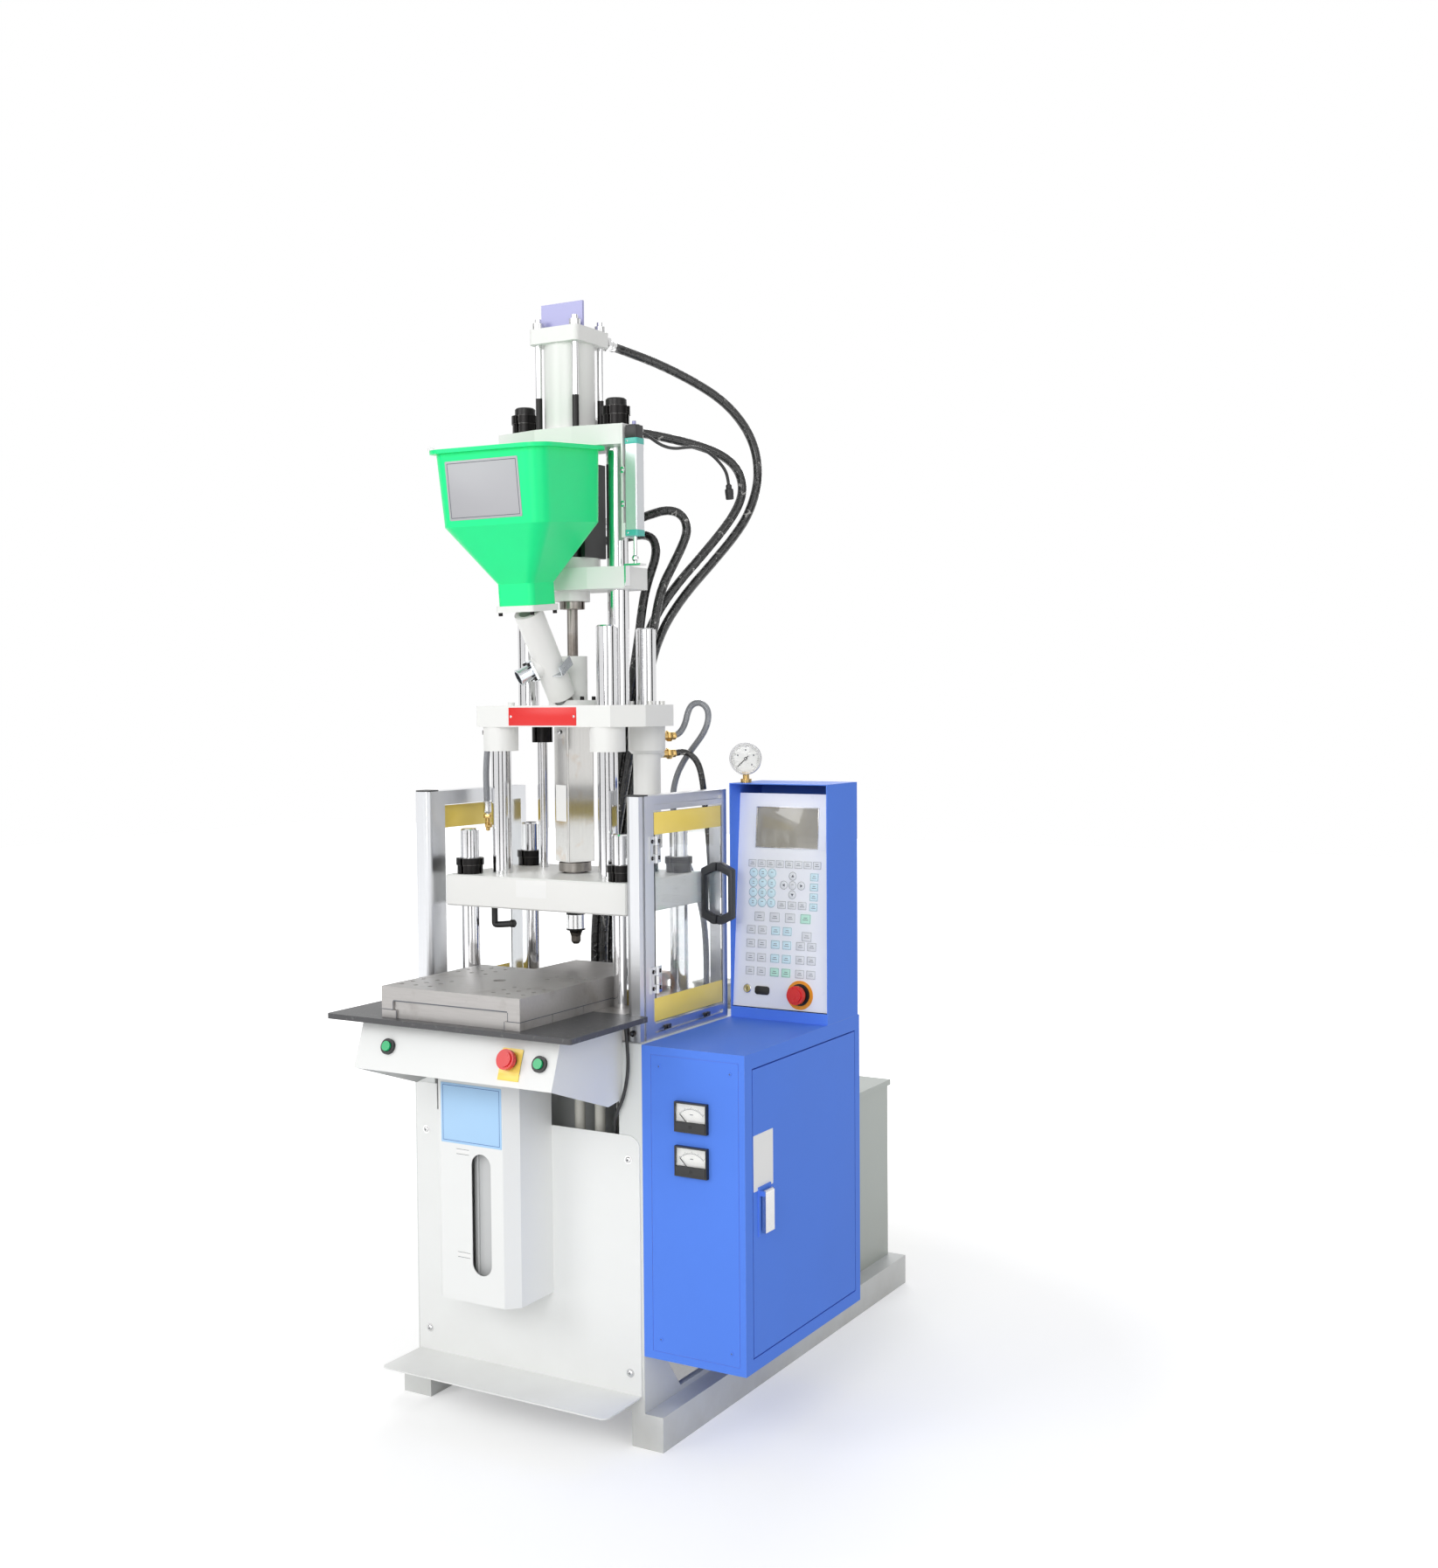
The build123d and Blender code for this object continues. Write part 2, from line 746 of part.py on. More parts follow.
seat_hose_high_points += along(seat_hose_high_path, post_x, post_y)
seat_hose_low_points = lead((seat_tip_x, seat_tip_y, seat_port_low_z), port_out, seat_hose_lead)
seat_hose_low_points += along(seat_hose_low_path, post_x, post_y)
cooling_hose_points = lead((hose_stub_x, hose_stub_y, hose_stub_low_z), (0, 0, -1), seat_hose_lead)
cooling_hose_points += along(cooling_hose_path, hose_stub_x, hose_stub_y)
console_cable_points = lead(cable_tip, (0, 0, -1), cable_lead)
console_cable_points += along(console_cable_path, console_cable_x, console_cable_y)


def spot(x, y, z):
    return (axis_x + x, axis_y + y, z)


def face(x, y, z, out, along=(1, 0, 0)):
    return Plane(origin=spot(x, y, z), x_dir=along, z_dir=out)


def block(left, right, front, back, low, high, mode=Mode.ADD):
    with Locations(spot((left + right) / 2, (front + back) / 2, (low + high) / 2)):
        Box(right - left, back - front, high - low, mode=mode)


def shaft(x, y, diameter, low, high, mode=Mode.ADD):
    with Locations(spot(x, y, (low + high) / 2)):
        Cylinder(diameter / 2, high - low, mode=mode)


def disc(plane, diameter, start, length, mode=Mode.ADD):
    with BuildSketch(plane.offset(start)) as section:
        Circle(diameter / 2)
    extrude(section.sketch, amount=length, dir=plane.z_dir, mode=mode)


def octagon(half_x, flat_x, half_y, end_y):
    return [(-flat_x, -half_y), (flat_x, -half_y), (half_x, -end_y), (half_x, end_y),
            (flat_x, half_y), (-flat_x, half_y), (-half_x, end_y), (-half_x, -end_y)]


def prism(points, plane, length, mode=Mode.ADD):
    with BuildSketch(plane) as section:
        Polygon(*points, align=None)
    extrude(section.sketch, amount=length, dir=plane.z_dir, mode=mode)


def ring_nut(x, y, low, bore, low_d, low_high, top_d, top_high):
    shaft(x, y, low_d, low, low + low_high)
    shaft(x, y, top_d, low + low_high, low + low_high + top_high)
    shaft(x, y, bore, low, low + low_high + top_high, mode=Mode.SUBTRACT)
    for across, foot, high in ((low_d, low, low_high), (top_d, low + low_high, top_high)):
        with Locations(spot(x, y, foot + high / 2)):
            with PolarLocations(across / 2, 4):
                Box(2 * nut_slot_deep, nut_slot, high, mode=Mode.SUBTRACT)


def hose(name, points, diameter):
    """A tube along straight runs and tangent arcs; prints its smallest radius."""
    places = [Vector(*spot(*point)) for point in points]
    radii = []
    for before, here, after in zip(places, places[1:], places[2:]):
        first = here - before
        second = after - here
        turn = radians(first.get_angle(second))
        radii.append(hose_fillet_share * min(first.length, second.length) / tan(turn / 2))
    smallest = min(radii)
    print(name, "smallest radius", round(smallest, 1), "diameters", round(smallest / diameter, 1))
    with BuildLine() as route:
        FilletPolyline(*places, radius=radii)
    start = (places[1] - places[0]).normalized()
    with BuildSketch(Plane(origin=places[0], z_dir=start)) as section:
        Circle(diameter / 2)
    sweep(section.sketch, path=route.wires()[0])


# Welded body on its two floor beams
with BuildPart() as body_frame:
    for side in (-1, 1):
        outer, inner = side * beam_outer_x, side * (beam_outer_x - beam_width)
        block(min(outer, inner), max(outer, inner), body_front_y, beam_rear_y, 0, beam_height)
        outer, inner = side * (beam_outer_x - beam_wall), side * (beam_outer_x - beam_width + beam_wall)
        block(min(outer, inner), max(outer, inner), body_front_y + beam_wall, beam_rear_y,
              beam_wall, beam_height - beam_wall, mode=Mode.SUBTRACT)
    for side in (-1, 1):
        outer, inner = side * body_half_x, side * (body_half_x - side_plate)
        block(min(outer, inner), max(outer, inner), body_front_y, body_rear_y, beam_height, body_top_z)
        inner = side * (body_half_x - front_flange)
        block(min(outer, inner), max(outer, inner), body_front_y, body_front_y + side_plate,
              beam_height, body_top_z)
    block(-body_half_x, body_half_x, body_rear_y - side_plate, body_rear_y, beam_height, body_top_z)
    block(-body_half_x, body_half_x, body_front_y, body_rear_y, body_top_z - top_plate, body_top_z)
    block(-body_half_x, body_half_x, body_front_y, body_front_y + side_plate, beam_height,
          front_cover_low_z + front_flange)
    block(-top_opening_x, top_opening_x, top_opening_front_y, top_opening_rear_y,
          body_top_z - top_plate, body_top_z, mode=Mode.SUBTRACT)
    block(hose_slot_left_x, hose_slot_right_x, hose_slot_front_y, hose_slot_rear_y,
          body_top_z - top_plate, body_top_z, mode=Mode.SUBTRACT)
    block(seat_slot_left_x, seat_slot_right_x, hose_slot_front_y, hose_slot_rear_y,
          body_top_z - top_plate, body_top_z, mode=Mode.SUBTRACT)
    window = [(body_front_y + column_depth, window_low_z), (body_front_y + gusset_depth, gusset_low_z),
              (body_rear_y - rear_column, gusset_low_z), (body_rear_y - rear_column, window_high_z),
              (body_front_y + column_depth, window_high_z)]
    prism(window, face(-beam_outer_x, 0, 0, (1, 0, 0), (0, 1, 0)), 2 * beam_outer_x, mode=Mode.SUBTRACT)
body_frame.part.label = "body_frame"
export_step(body_frame.part, "parts/body_frame.step")

# Bed plate with the tie bars' bores
with BuildPart() as bed_plate:
    block(-bed_half_x, bed_half_x, bed_front_y, bed_rear_y, body_top_z, bed_top_z)
    for x in (-tie_x, tie_x):
        for y in (clamp_shift_y - tie_half_y, clamp_shift_y + tie_half_y):
            shaft(x, y, tie_d + 2 * running, body_top_z, bed_top_z, mode=Mode.SUBTRACT)
bed_plate.part.label = "bed_plate"
export_step(bed_plate.part, "parts/bed_plate.step")

# Dark table plate in front of the bed
with BuildPart() as table_plate:
    block(-table_half_x, table_half_x, table_front_y, bed_front_y, bed_top_z - table_thick, bed_top_z)
    fillet(table_plate.edges().filter_by(Axis.Z).group_by(Axis.Y)[0], table_corner)
table_plate.part.label = "table_plate"
export_step(table_plate.part, "parts/table_plate.step")

# Rail block, with the slide cylinder lying in its channel
with BuildPart() as rail_block:
    block(-rail_web_half_x, rail_web_half_x, rail_front_y, rail_rear_y, bed_top_z, rail_step_z + loose)
    block(-rail_half_x, rail_half_x, rail_front_y, rail_rear_y, rail_step_z + loose, rail_top_z)
    block(-channel_half_x, channel_half_x, channel_front_y, rail_rear_y, channel_floor_z, rail_top_z,
          mode=Mode.SUBTRACT)
    disc(face(0, slide_tube_front_y, slide_tube_z, (0, 1, 0)), slide_tube_d, 0,
         slide_tube_rear_y - slide_tube_front_y)
    block(-channel_half_x, channel_half_x, slide_tube_front_y, slide_tube_front_y + slide_tube_d,
          channel_floor_z, slide_tube_z)
    disc(face(0, slide_tube_front_y, slide_tube_z, (0, 1, 0)), slide_rod_d + 2 * running, 0,
         slide_tube_rear_y - slide_tube_front_y - slide_tube_d / 2, mode=Mode.SUBTRACT)
rail_block.part.label = "rail_block"
export_step(rail_block.part, "parts/rail_block.step")

# Slide table with lips, gib strips and the rod's lug
with BuildPart() as slide_table:
    block(-slide_half_x, slide_half_x, slide_front_y, slide_rear_y, rail_top_z + slide_gap, slide_top_z)
    block(tongue_left_x, tongue_right_x, slide_rear_y, tongue_rear_y, rail_top_z + slide_gap, slide_top_z)
    for side in (-1, 1):
        outer, inner = side * slide_half_x, side * (rail_half_x + loose)
        block(min(outer, inner), max(outer, inner), slide_front_y, slide_rear_y,
              rail_step_z + seam, rail_top_z + slide_gap)
        inner = side * (rail_web_half_x + loose)
        outer = side * (slide_half_x - gib_inset_x)
        block(min(outer, inner), max(outer, inner), slide_front_y, slide_rear_y,
              bed_top_z + slide_gap, rail_step_z)
        for share in gib_cut_shares:
            cut_y = slide_front_y + (slide_rear_y - slide_front_y) * share
            block(min(outer, inner), max(outer, inner), cut_y - gib_cut / 2, cut_y + gib_cut / 2,
                  bed_top_z, rail_step_z, mode=Mode.SUBTRACT)
    with Locations(spot(0, mould_y, slide_top_z - tap_deep / 2)):
        Cylinder(centre_hole_d / 2, tap_deep, mode=Mode.SUBTRACT)
        for side_x in (-1, 1):
            for side_y in (-1, 1):
                with Locations((side_x * tap_column_x, side_y * tap_row_y, 0)):
                    with GridLocations(tap_column_pitch, tap_row_pitch, 3, 3):
                        Cylinder(tap_d / 2, tap_deep, mode=Mode.SUBTRACT)
    block(-lug_half_x, lug_half_x, lug_front_y, lug_rear_y, lug_low_z, rail_top_z + slide_gap)
    disc(face(0, lug_rear_y, slide_tube_z, (0, 1, 0)), slide_rod_d, 0,
         slide_tube_front_y - lug_rear_y + slide_rod_bite)
slide_table.part.label = "slide_table"
export_step(slide_table.part, "parts/slide_table.step")

# Clamp cylinder hung under the bed
with BuildPart() as clamp_cylinder:
    shaft(0, 0, clamp_tube_d, clamp_tube_low_z, body_top_z)
    shaft(0, 0, piston_d + 2 * running, clamp_bore_low_z, clamp_bore_high_z, mode=Mode.SUBTRACT)
    shaft(0, 0, clamp_rod_d + 2 * running, clamp_tube_low_z, clamp_bore_low_z, mode=Mode.SUBTRACT)
clamp_cylinder.part.label = "clamp_cylinder"
export_step(clamp_cylinder.part, "parts/clamp_cylinder.step")

# Lower beam with the clamp rod and its piston
with BuildPart() as lower_beam:
    block(-lower_half_x, lower_half_x, clamp_shift_y - lower_half_y, clamp_shift_y + lower_half_y,
          lower_low_z, lower_top_z)
    for x in (-tie_x, tie_x):
        for y in (clamp_shift_y - tie_half_y, clamp_shift_y + tie_half_y):
            shaft(x, y, lower_nut_d, lower_low_z - lower_nut, lower_low_z)
            shaft(x, y, tie_d, lower_low_z - lower_nut, lower_top_z, mode=Mode.SUBTRACT)
    shaft(0, 0, clamp_rod_d, lower_top_z, piston_low_z)
    shaft(0, 0, piston_d, piston_low_z, piston_high_z)
lower_beam.part.label = "lower_beam"
export_step(lower_beam.part, "parts/lower_beam.step")

# Four tie bars
with BuildPart() as tie_bars:
    for x in (-tie_x, tie_x):
        for y in (clamp_shift_y - tie_half_y, clamp_shift_y + tie_half_y):
            shaft(x, y, tie_d, tie_low_z, tie_top_z)
    chamfer(tie_bars.edges().filter_by(GeomType.CIRCLE).group_by(Axis.Z)[-1], tie_chamfer)
tie_bars.part.label = "tie_bars"
export_step(tie_bars.part, "parts/tie_bars.step")

# Double ring nuts on the platen
with BuildPart() as tie_bar_nuts:
    for x in (-tie_x, tie_x):
        for y in (clamp_shift_y - tie_half_y, clamp_shift_y + tie_half_y):
            ring_nut(x, y, platen_top_z, tie_d, tie_nut_low_d, tie_nut_low, tie_nut_top_d, tie_nut_top)
tie_bar_nuts.part.label = "tie_bar_nuts"
export_step(tie_bar_nuts.part, "parts/tie_bar_nuts.step")

# Upper platen
with BuildPart() as platen:
    block(-platen_half_x, platen_half_x, clamp_shift_y - platen_half_y, clamp_shift_y + platen_half_y,
          platen_low_z, platen_top_z)
    chamfer(platen.edges(), platen_edge)
    for x in (-tie_x, tie_x):
        for y in (clamp_shift_y - tie_half_y, clamp_shift_y + tie_half_y):
            shaft(x, y, tie_d, platen_low_z, platen_top_z, mode=Mode.SUBTRACT)
    for x, y in ((-post_x, -post_y), (post_x, -post_y), (post_x, post_y)):
        shaft(x, y, post_d, platen_top_z - post_embed, platen_top_z, mode=Mode.SUBTRACT)
    shaft(-post_x, post_y, stop_rod_d + 2 * running, platen_low_z, platen_top_z, mode=Mode.SUBTRACT)
    shaft(0, 0, nozzle_hole_d, platen_low_z, platen_top_z, mode=Mode.SUBTRACT)
    with Locations(spot(0, 0, platen_low_z + tap_deep / 2)):
        with GridLocations(2 * platen_tap_x, 2 * platen_tap_y, 2, 2):
            Cylinder(tap_d / 2, tap_deep, mode=Mode.SUBTRACT)
platen.part.label = "platen"
export_step(platen.part, "parts/platen.step")

# Two guide posts and the seat rod
with BuildPart() as guide_posts:
    shaft(-post_x, -post_y, post_d, platen_top_z - post_embed, left_post_top_z)
    shaft(post_x, -post_y, post_d, platen_top_z - post_embed, right_post_top_z)
    shaft(post_x, post_y, post_d, platen_top_z - post_embed, seat_rod_top_z)
    chamfer(guide_posts.edges().filter_by(GeomType.CIRCLE).filter_by_position(
        Axis.Z, left_post_top_z - overrun, right_post_top_z + overrun), tie_chamfer)
guide_posts.part.label = "guide_posts"
export_step(guide_posts.part, "parts/guide_posts.step")

# Carriage plate with its bosses and the seat cylinder
with BuildPart() as carriage_plate:
    prism(octagon(carriage_half_x, carriage_flat_x, carriage_half_y, carriage_end_y),
          face(0, 0, carriage_low_z, (0, 0, 1)), carriage_top_z - carriage_low_z)
    shaft(-post_x, -post_y, boss_d, boss_low_z, carriage_low_z)
    shaft(post_x, -post_y, boss_d, boss_low_z, carriage_low_z)
    shaft(post_x, post_y, seat_cap_d, seat_cap_low_z, carriage_low_z)
    chamfer(carriage_plate.edges().filter_by(GeomType.CIRCLE).group_by(Axis.Z)[0], seat_cap_chamfer)
    shaft(post_x, post_y, seat_tube_d, seat_tube_low_z, seat_cap_low_z)
    for port_z in (seat_port_high_z, seat_port_low_z):
        disc(face(post_x, post_y, port_z, port_out, (0, 0, 1)), port_d, 0, seat_cap_d / 2 + port_reach)
    for x, y in ((-post_x, -post_y), (post_x, -post_y), (post_x, post_y)):
        shaft(x, y, post_d + 2 * running, seat_tube_low_z, carriage_top_z, mode=Mode.SUBTRACT)
    with Locations(spot(post_x, post_y, carriage_top_z + seat_bolt_head / 2)):
        with GridLocations(2 * seat_bolt_x, 2 * seat_bolt_x, 2, 2):
            Cylinder(seat_bolt_d / 2, seat_bolt_head)
    shaft(plate_bolt_x, plate_bolt_y, plate_bolt_d, carriage_top_z, carriage_top_z + plate_bolt_head)
    shaft(hose_stub_x, hose_stub_y, hose_stub_d, hose_stub_low_z, carriage_low_z)
    for x in (-rod_x, rod_x):
        shaft(x, 0, rod_d, rod_low_z, carriage_top_z, mode=Mode.SUBTRACT)
    shaft(-post_x, post_y, stop_rod_d, carriage_low_z, carriage_top_z, mode=Mode.SUBTRACT)
    shaft(0, 0, barrel_d, carriage_low_z, carriage_top_z, mode=Mode.SUBTRACT)
carriage_plate.part.label = "carriage_plate"
export_step(carriage_plate.part, "parts/carriage_plate.step")

# Barrel with its nozzle and heater band
with BuildPart() as barrel:
    shaft(0, 0, barrel_d, adaptor_high_z, barrel_top_z)
    shaft(0, 0, adaptor_d, adaptor_low_z, adaptor_high_z)
    shaft(0, 0, band_d, band_low_z, adaptor_low_z)
    with Locations(spot(0, 0, (nozzle_shoulder_z + band_low_z) / 2)):
        Cone(tip_d / 2, nozzle_d / 2, band_low_z - nozzle_shoulder_z)
    shaft(0, 0, tip_d, tip_low_z + tip_nose, nozzle_shoulder_z)
    with Locations(spot(0, 0, tip_low_z + tip_nose / 2)):
        Cone(tip_nose_d / 2, tip_d / 2, tip_nose)
    shaft(0, 0, barrel_bore_d, bore_low_z, barrel_top_z, mode=Mode.SUBTRACT)
    shaft(0, 0, melt_hole_d, tip_low_z, bore_low_z, mode=Mode.SUBTRACT)
    block(-feed_slot_half_x, feed_slot_half_x, -barrel_d, 0, feed_slot_low_z, feed_slot_high_z,
          mode=Mode.SUBTRACT)
barrel.part.label = "barrel"
export_step(barrel.part, "parts/barrel.step")

# Square sheet cover round the barrel
cover_turn = radians(cover_turn_degrees)
with BuildPart() as barrel_cover:
    with BuildSketch(face(0, 0, cover_low_z, (0, 0, 1), (cos(cover_turn), sin(cover_turn), 0))):
        RectangleRounded(cover_side, cover_side, 2 * cover_wall)
        Rectangle(cover_side - 2 * cover_wall, cover_side - 2 * cover_wall, mode=Mode.SUBTRACT)
    extrude(amount=carriage_low_z - cover_low_z)
barrel_cover.part.label = "barrel_cover"
export_step(barrel_cover.part, "parts/barrel_cover.step")

# Feed block with the leaning chute and the hopper's flange
chute_plane = face(0, chute_low_y, chute_low_z, chute_up)
hopper_plane = face(0, hopper_y, hopper_z, hopper_up)
spout_point = Vector(*spot(0, chute_low_y, chute_low_z)) + Vector(*chute_up) * (chute_length * spout_share)
spout_plane = Plane(origin=spout_point, z_dir=spout_dir_shares)
gate_plane = chute_plane.offset(chute_length * gate_share)
with BuildPart() as feed_chute:
    shaft(0, 0, feed_flange_d, carriage_top_z, carriage_top_z + feed_flange)
    shaft(0, 0, feed_block_d, carriage_top_z + feed_flange, barrel_top_z)
    disc(chute_plane, chute_d, 0, chute_length)
    with BuildSketch(hopper_plane):
        RectangleRounded(chute_flange_side, chute_flange_side, neck_round / 2)
    extrude(amount=-chute_flange)
    disc(spout_plane, spout_boss_d, 0, spout_boss)
    disc(chute_plane, chute_bore_d, -chute_bore_d / 2, chute_length + chute_bore_d, mode=Mode.SUBTRACT)
    disc(spout_plane, spout_d, spout_start, spout_boss - spout_start, mode=Mode.SUBTRACT)
    shaft(0, 0, barrel_d, carriage_top_z, barrel_top_z, mode=Mode.SUBTRACT)
    with BuildSketch(gate_plane.offset(-gate_gap)):
        with Locations(((gate_back_x + chute_d) / 2 - gate_gap, 0)):
            Rectangle(chute_d - gate_back_x, 2 * gate_half + 2 * gate_gap)
    extrude(amount=gate_thick + 2 * gate_gap, mode=Mode.SUBTRACT)
feed_chute.part.label = "feed_chute"
export_step(feed_chute.part, "parts/feed_chute.step")

# Zinc drain spout on the chute's boss
with BuildPart() as drain_spout:
    with BuildSketch(spout_plane.offset(spout_boss)):
        RectangleRounded(spout_plate_side, spout_plate_side, spout_plate)
    extrude(amount=spout_plate)
    disc(spout_plane, spout_d, spout_boss + spout_plate, spout_length)
    disc(spout_plane, spout_d - 2 * spout_wall, spout_boss, spout_plate + spout_length, mode=Mode.SUBTRACT)
drain_spout.part.label = "drain_spout"
export_step(drain_spout.part, "parts/drain_spout.step")

# Sliding feed gate with its bent tab
with BuildPart() as feed_gate:
    with BuildSketch(gate_plane):
        with Locations(((gate_back_x + gate_front_x) / 2, 0)):
            Rectangle(gate_front_x - gate_back_x, 2 * gate_half)
    extrude(amount=gate_thick)
    with BuildSketch(gate_plane):
        with Locations((gate_front_x + gate_thick / 2, 0)):
            Rectangle(gate_thick, gate_tab_reach)
    extrude(amount=gate_tab)
feed_gate.part.label = "feed_gate"
export_step(feed_gate.part, "parts/feed_gate.step")

# Hopper, leaning a little forward, its walls turned a little on the neck
hopper_wall_plane = hopper_plane.rotated((0, 0, hopper_turn_degrees))
with BuildPart() as hopper:
    for inset, mode in ((0, Mode.ADD), (hopper_wall, Mode.SUBTRACT)):
        with BuildSketch(hopper_plane):
            RectangleRounded(neck_side - 2 * inset, neck_side - 2 * inset, neck_round - inset)
        extrude(amount=neck_top, mode=mode)
        with BuildSketch(hopper_plane.offset(neck_top)):
            RectangleRounded(neck_side - 2 * inset, neck_side - 2 * inset, neck_round - inset)
        with BuildSketch(hopper_wall_plane.offset(funnel_top)):
            RectangleRounded(wall_low_side - 2 * inset, wall_low_side - 2 * inset, wall_low_round - inset)
        loft(mode=mode)
        with BuildSketch(hopper_wall_plane.offset(funnel_top)):
            RectangleRounded(wall_low_side - 2 * inset, wall_low_side - 2 * inset, wall_low_round - inset)
        with BuildSketch(hopper_wall_plane.offset(wall_top)):
            RectangleRounded(wall_top_side - 2 * inset, wall_top_side - 2 * inset, wall_top_round - inset)
        loft(mode=mode)
    with BuildSketch(hopper_wall_plane.offset(wall_top)):
        RectangleRounded(lip_side, lip_side, lip_round)
        RectangleRounded(wall_top_side - 2 * hopper_wall, wall_top_side - 2 * hopper_wall,
                         wall_top_round - hopper_wall, mode=Mode.SUBTRACT)
    extrude(amount=lip)
hopper.part.label = "hopper"
export_step(hopper.part, "parts/hopper.step")

# Injection rods, stop rod and the cylinder's tie rods
with BuildPart() as injection_rods:
    for x in (-rod_x, rod_x):
        shaft(x, 0, rod_d, rod_low_z, rod_top_z)
    chamfer(injection_rods.edges().filter_by(GeomType.CIRCLE).group_by(Axis.Z)[-1], tie_chamfer)
    shaft(-post_x, post_y, stop_rod_d, stop_rod_low_z, carriage_top_z)
    with Locations(spot(0, 0, (upper_top_z + flange_top_z + cylinder_rod_reach) / 2)):
        with GridLocations(2 * cylinder_rod_x, 2 * cylinder_rod_x, 2, 2):
            Cylinder(cylinder_rod_d / 2, flange_top_z + cylinder_rod_reach - upper_top_z)
injection_rods.part.label = "injection_rods"
export_step(injection_rods.part, "parts/injection_rods.step")

# Ring nuts on the injection rods and the stop rod
with BuildPart() as rod_nuts:
    for x in (-rod_x, rod_x):
        ring_nut(x, 0, upper_top_z, rod_d, rod_nut_low_d, rod_nut_low, rod_nut_top_d, rod_nut_top)
    ring_nut(-post_x, post_y, carriage_low_z - stop_nut, stop_rod_d, stop_nut_d, stop_nut / 2,
             stop_nut_d, stop_nut / 2)
rod_nuts.part.label = "rod_nuts"
export_step(rod_nuts.part, "parts/rod_nuts.step")

# Upper plate with the transducer's bracket
with BuildPart() as upper_plate:
    prism(octagon(upper_half_x, upper_flat_x, upper_half_y, upper_end_y),
          face(0, 0, upper_low_z, (0, 0, 1)), upper_top_z - upper_low_z)
    block(upper_half_x, upper_half_x + bracket_thick, bracket_front_y, bracket_rear_y,
          bracket_low_z, upper_top_z)
    block(upper_half_x, transducer_left_x, transducer_front_y, transducer_front_y + transducer_side,
          bracket_low_z, bracket_low_z + transducer_side)
    for x in (-rod_x, rod_x):
        shaft(x, 0, rod_d, upper_low_z, upper_top_z, mode=Mode.SUBTRACT)
    shaft(0, 0, ram_rod_d + 2 * running, upper_low_z, upper_top_z, mode=Mode.SUBTRACT)
upper_plate.part.label = "upper_plate"
export_step(upper_plate.part, "parts/upper_plate.step")

# Injection cylinder with its top flange, nuts and upright plate
with BuildPart() as injection_cylinder:
    shaft(0, 0, cylinder_d, upper_top_z, cylinder_top_z)
    block(-flange_half, flange_half, -flange_half, flange_half, cylinder_top_z, flange_top_z)
    fillet(injection_cylinder.edges().filter_by(Axis.Z).filter_by(GeomType.LINE).group_by(
        SortBy.LENGTH)[0], flange_round)
    disc(face(upper_port_x, 0, upper_port_z, (0, 1, 0)), rear_port_d, 0, flange_half + rear_port_reach)
    disc(face(lower_port_x, 0, lower_port_z, (0, 1, 0)), rear_port_d, 0, cylinder_d / 2 + rear_port_reach)
    with Locations(spot(0, 0, flange_top_z + hex_high / 2)):
        with GridLocations(2 * cylinder_rod_x, 2 * cylinder_rod_x, 2, 2):
            Cylinder(hex_r, hex_high)
    block(-top_plate_half_x, top_plate_half_x, top_plate_y - top_plate_thick / 2,
          top_plate_y + top_plate_thick / 2, flange_top_z, top_plate_top_z)
    shaft(0, 0, cylinder_bore_d, upper_top_z, cylinder_top_z, mode=Mode.SUBTRACT)
    with Locations(spot(0, 0, (cylinder_top_z + flange_top_z + hex_high) / 2)):
        with GridLocations(2 * cylinder_rod_x, 2 * cylinder_rod_x, 2, 2):
            Cylinder(cylinder_rod_d / 2, flange_top_z + hex_high - cylinder_top_z, mode=Mode.SUBTRACT)
injection_cylinder.part.label = "injection_cylinder"
export_step(injection_cylinder.part, "parts/injection_cylinder.step")

# Position transducer
with BuildPart() as transducer:
    block(transducer_left_x, transducer_left_x + transducer_side, transducer_front_y,
          transducer_front_y + transducer_side, transducer_low_z, transducer_top_z)
    fillet(transducer.edges().filter_by(Axis.Z), transducer_round)
    shaft(transducer_x, transducer_y, plug_d, transducer_top_z, plug_top_z)
    shaft(transducer_x, transducer_y, plug_pin_d, plug_top_z, plug_pin_top_z)
    disc(face(transducer_x, transducer_y, gland_z, (0, 1, 0)), gland_d, 0, plug_d / 2 + gland)
    shaft(transducer_x, transducer_y, sense_rod_d + 2 * running, transducer_low_z,
          sense_rod_top_z + overrun, mode=Mode.SUBTRACT)
transducer.part.label = "transducer"
export_step(transducer.part, "parts/transducer.step")

# Crosshead
with BuildPart() as crosshead:
    prism(octagon(crosshead_half_x, crosshead_flat_x, crosshead_half_y, crosshead_end_y),
          face(0, 0, crosshead_low_z, (0, 0, 1)), crosshead_top_z - crosshead_low_z)
    shaft(0, 0, crosshead_boss_d, crosshead_boss_low_z, crosshead_low_z)
    shaft(0, 0, motor_seat_d, crosshead_top_z, motor_seat_top_z)
    for x in (-rod_x, rod_x):
        shaft(x, 0, rod_d + 2 * running, crosshead_low_z, motor_seat_top_z, mode=Mode.SUBTRACT)
    shaft(0, 0, screw_d + 2 * running, crosshead_boss_low_z, screw_top_z + loose, mode=Mode.SUBTRACT)
crosshead.part.label = "crosshead"
export_step(crosshead.part, "parts/crosshead.step")

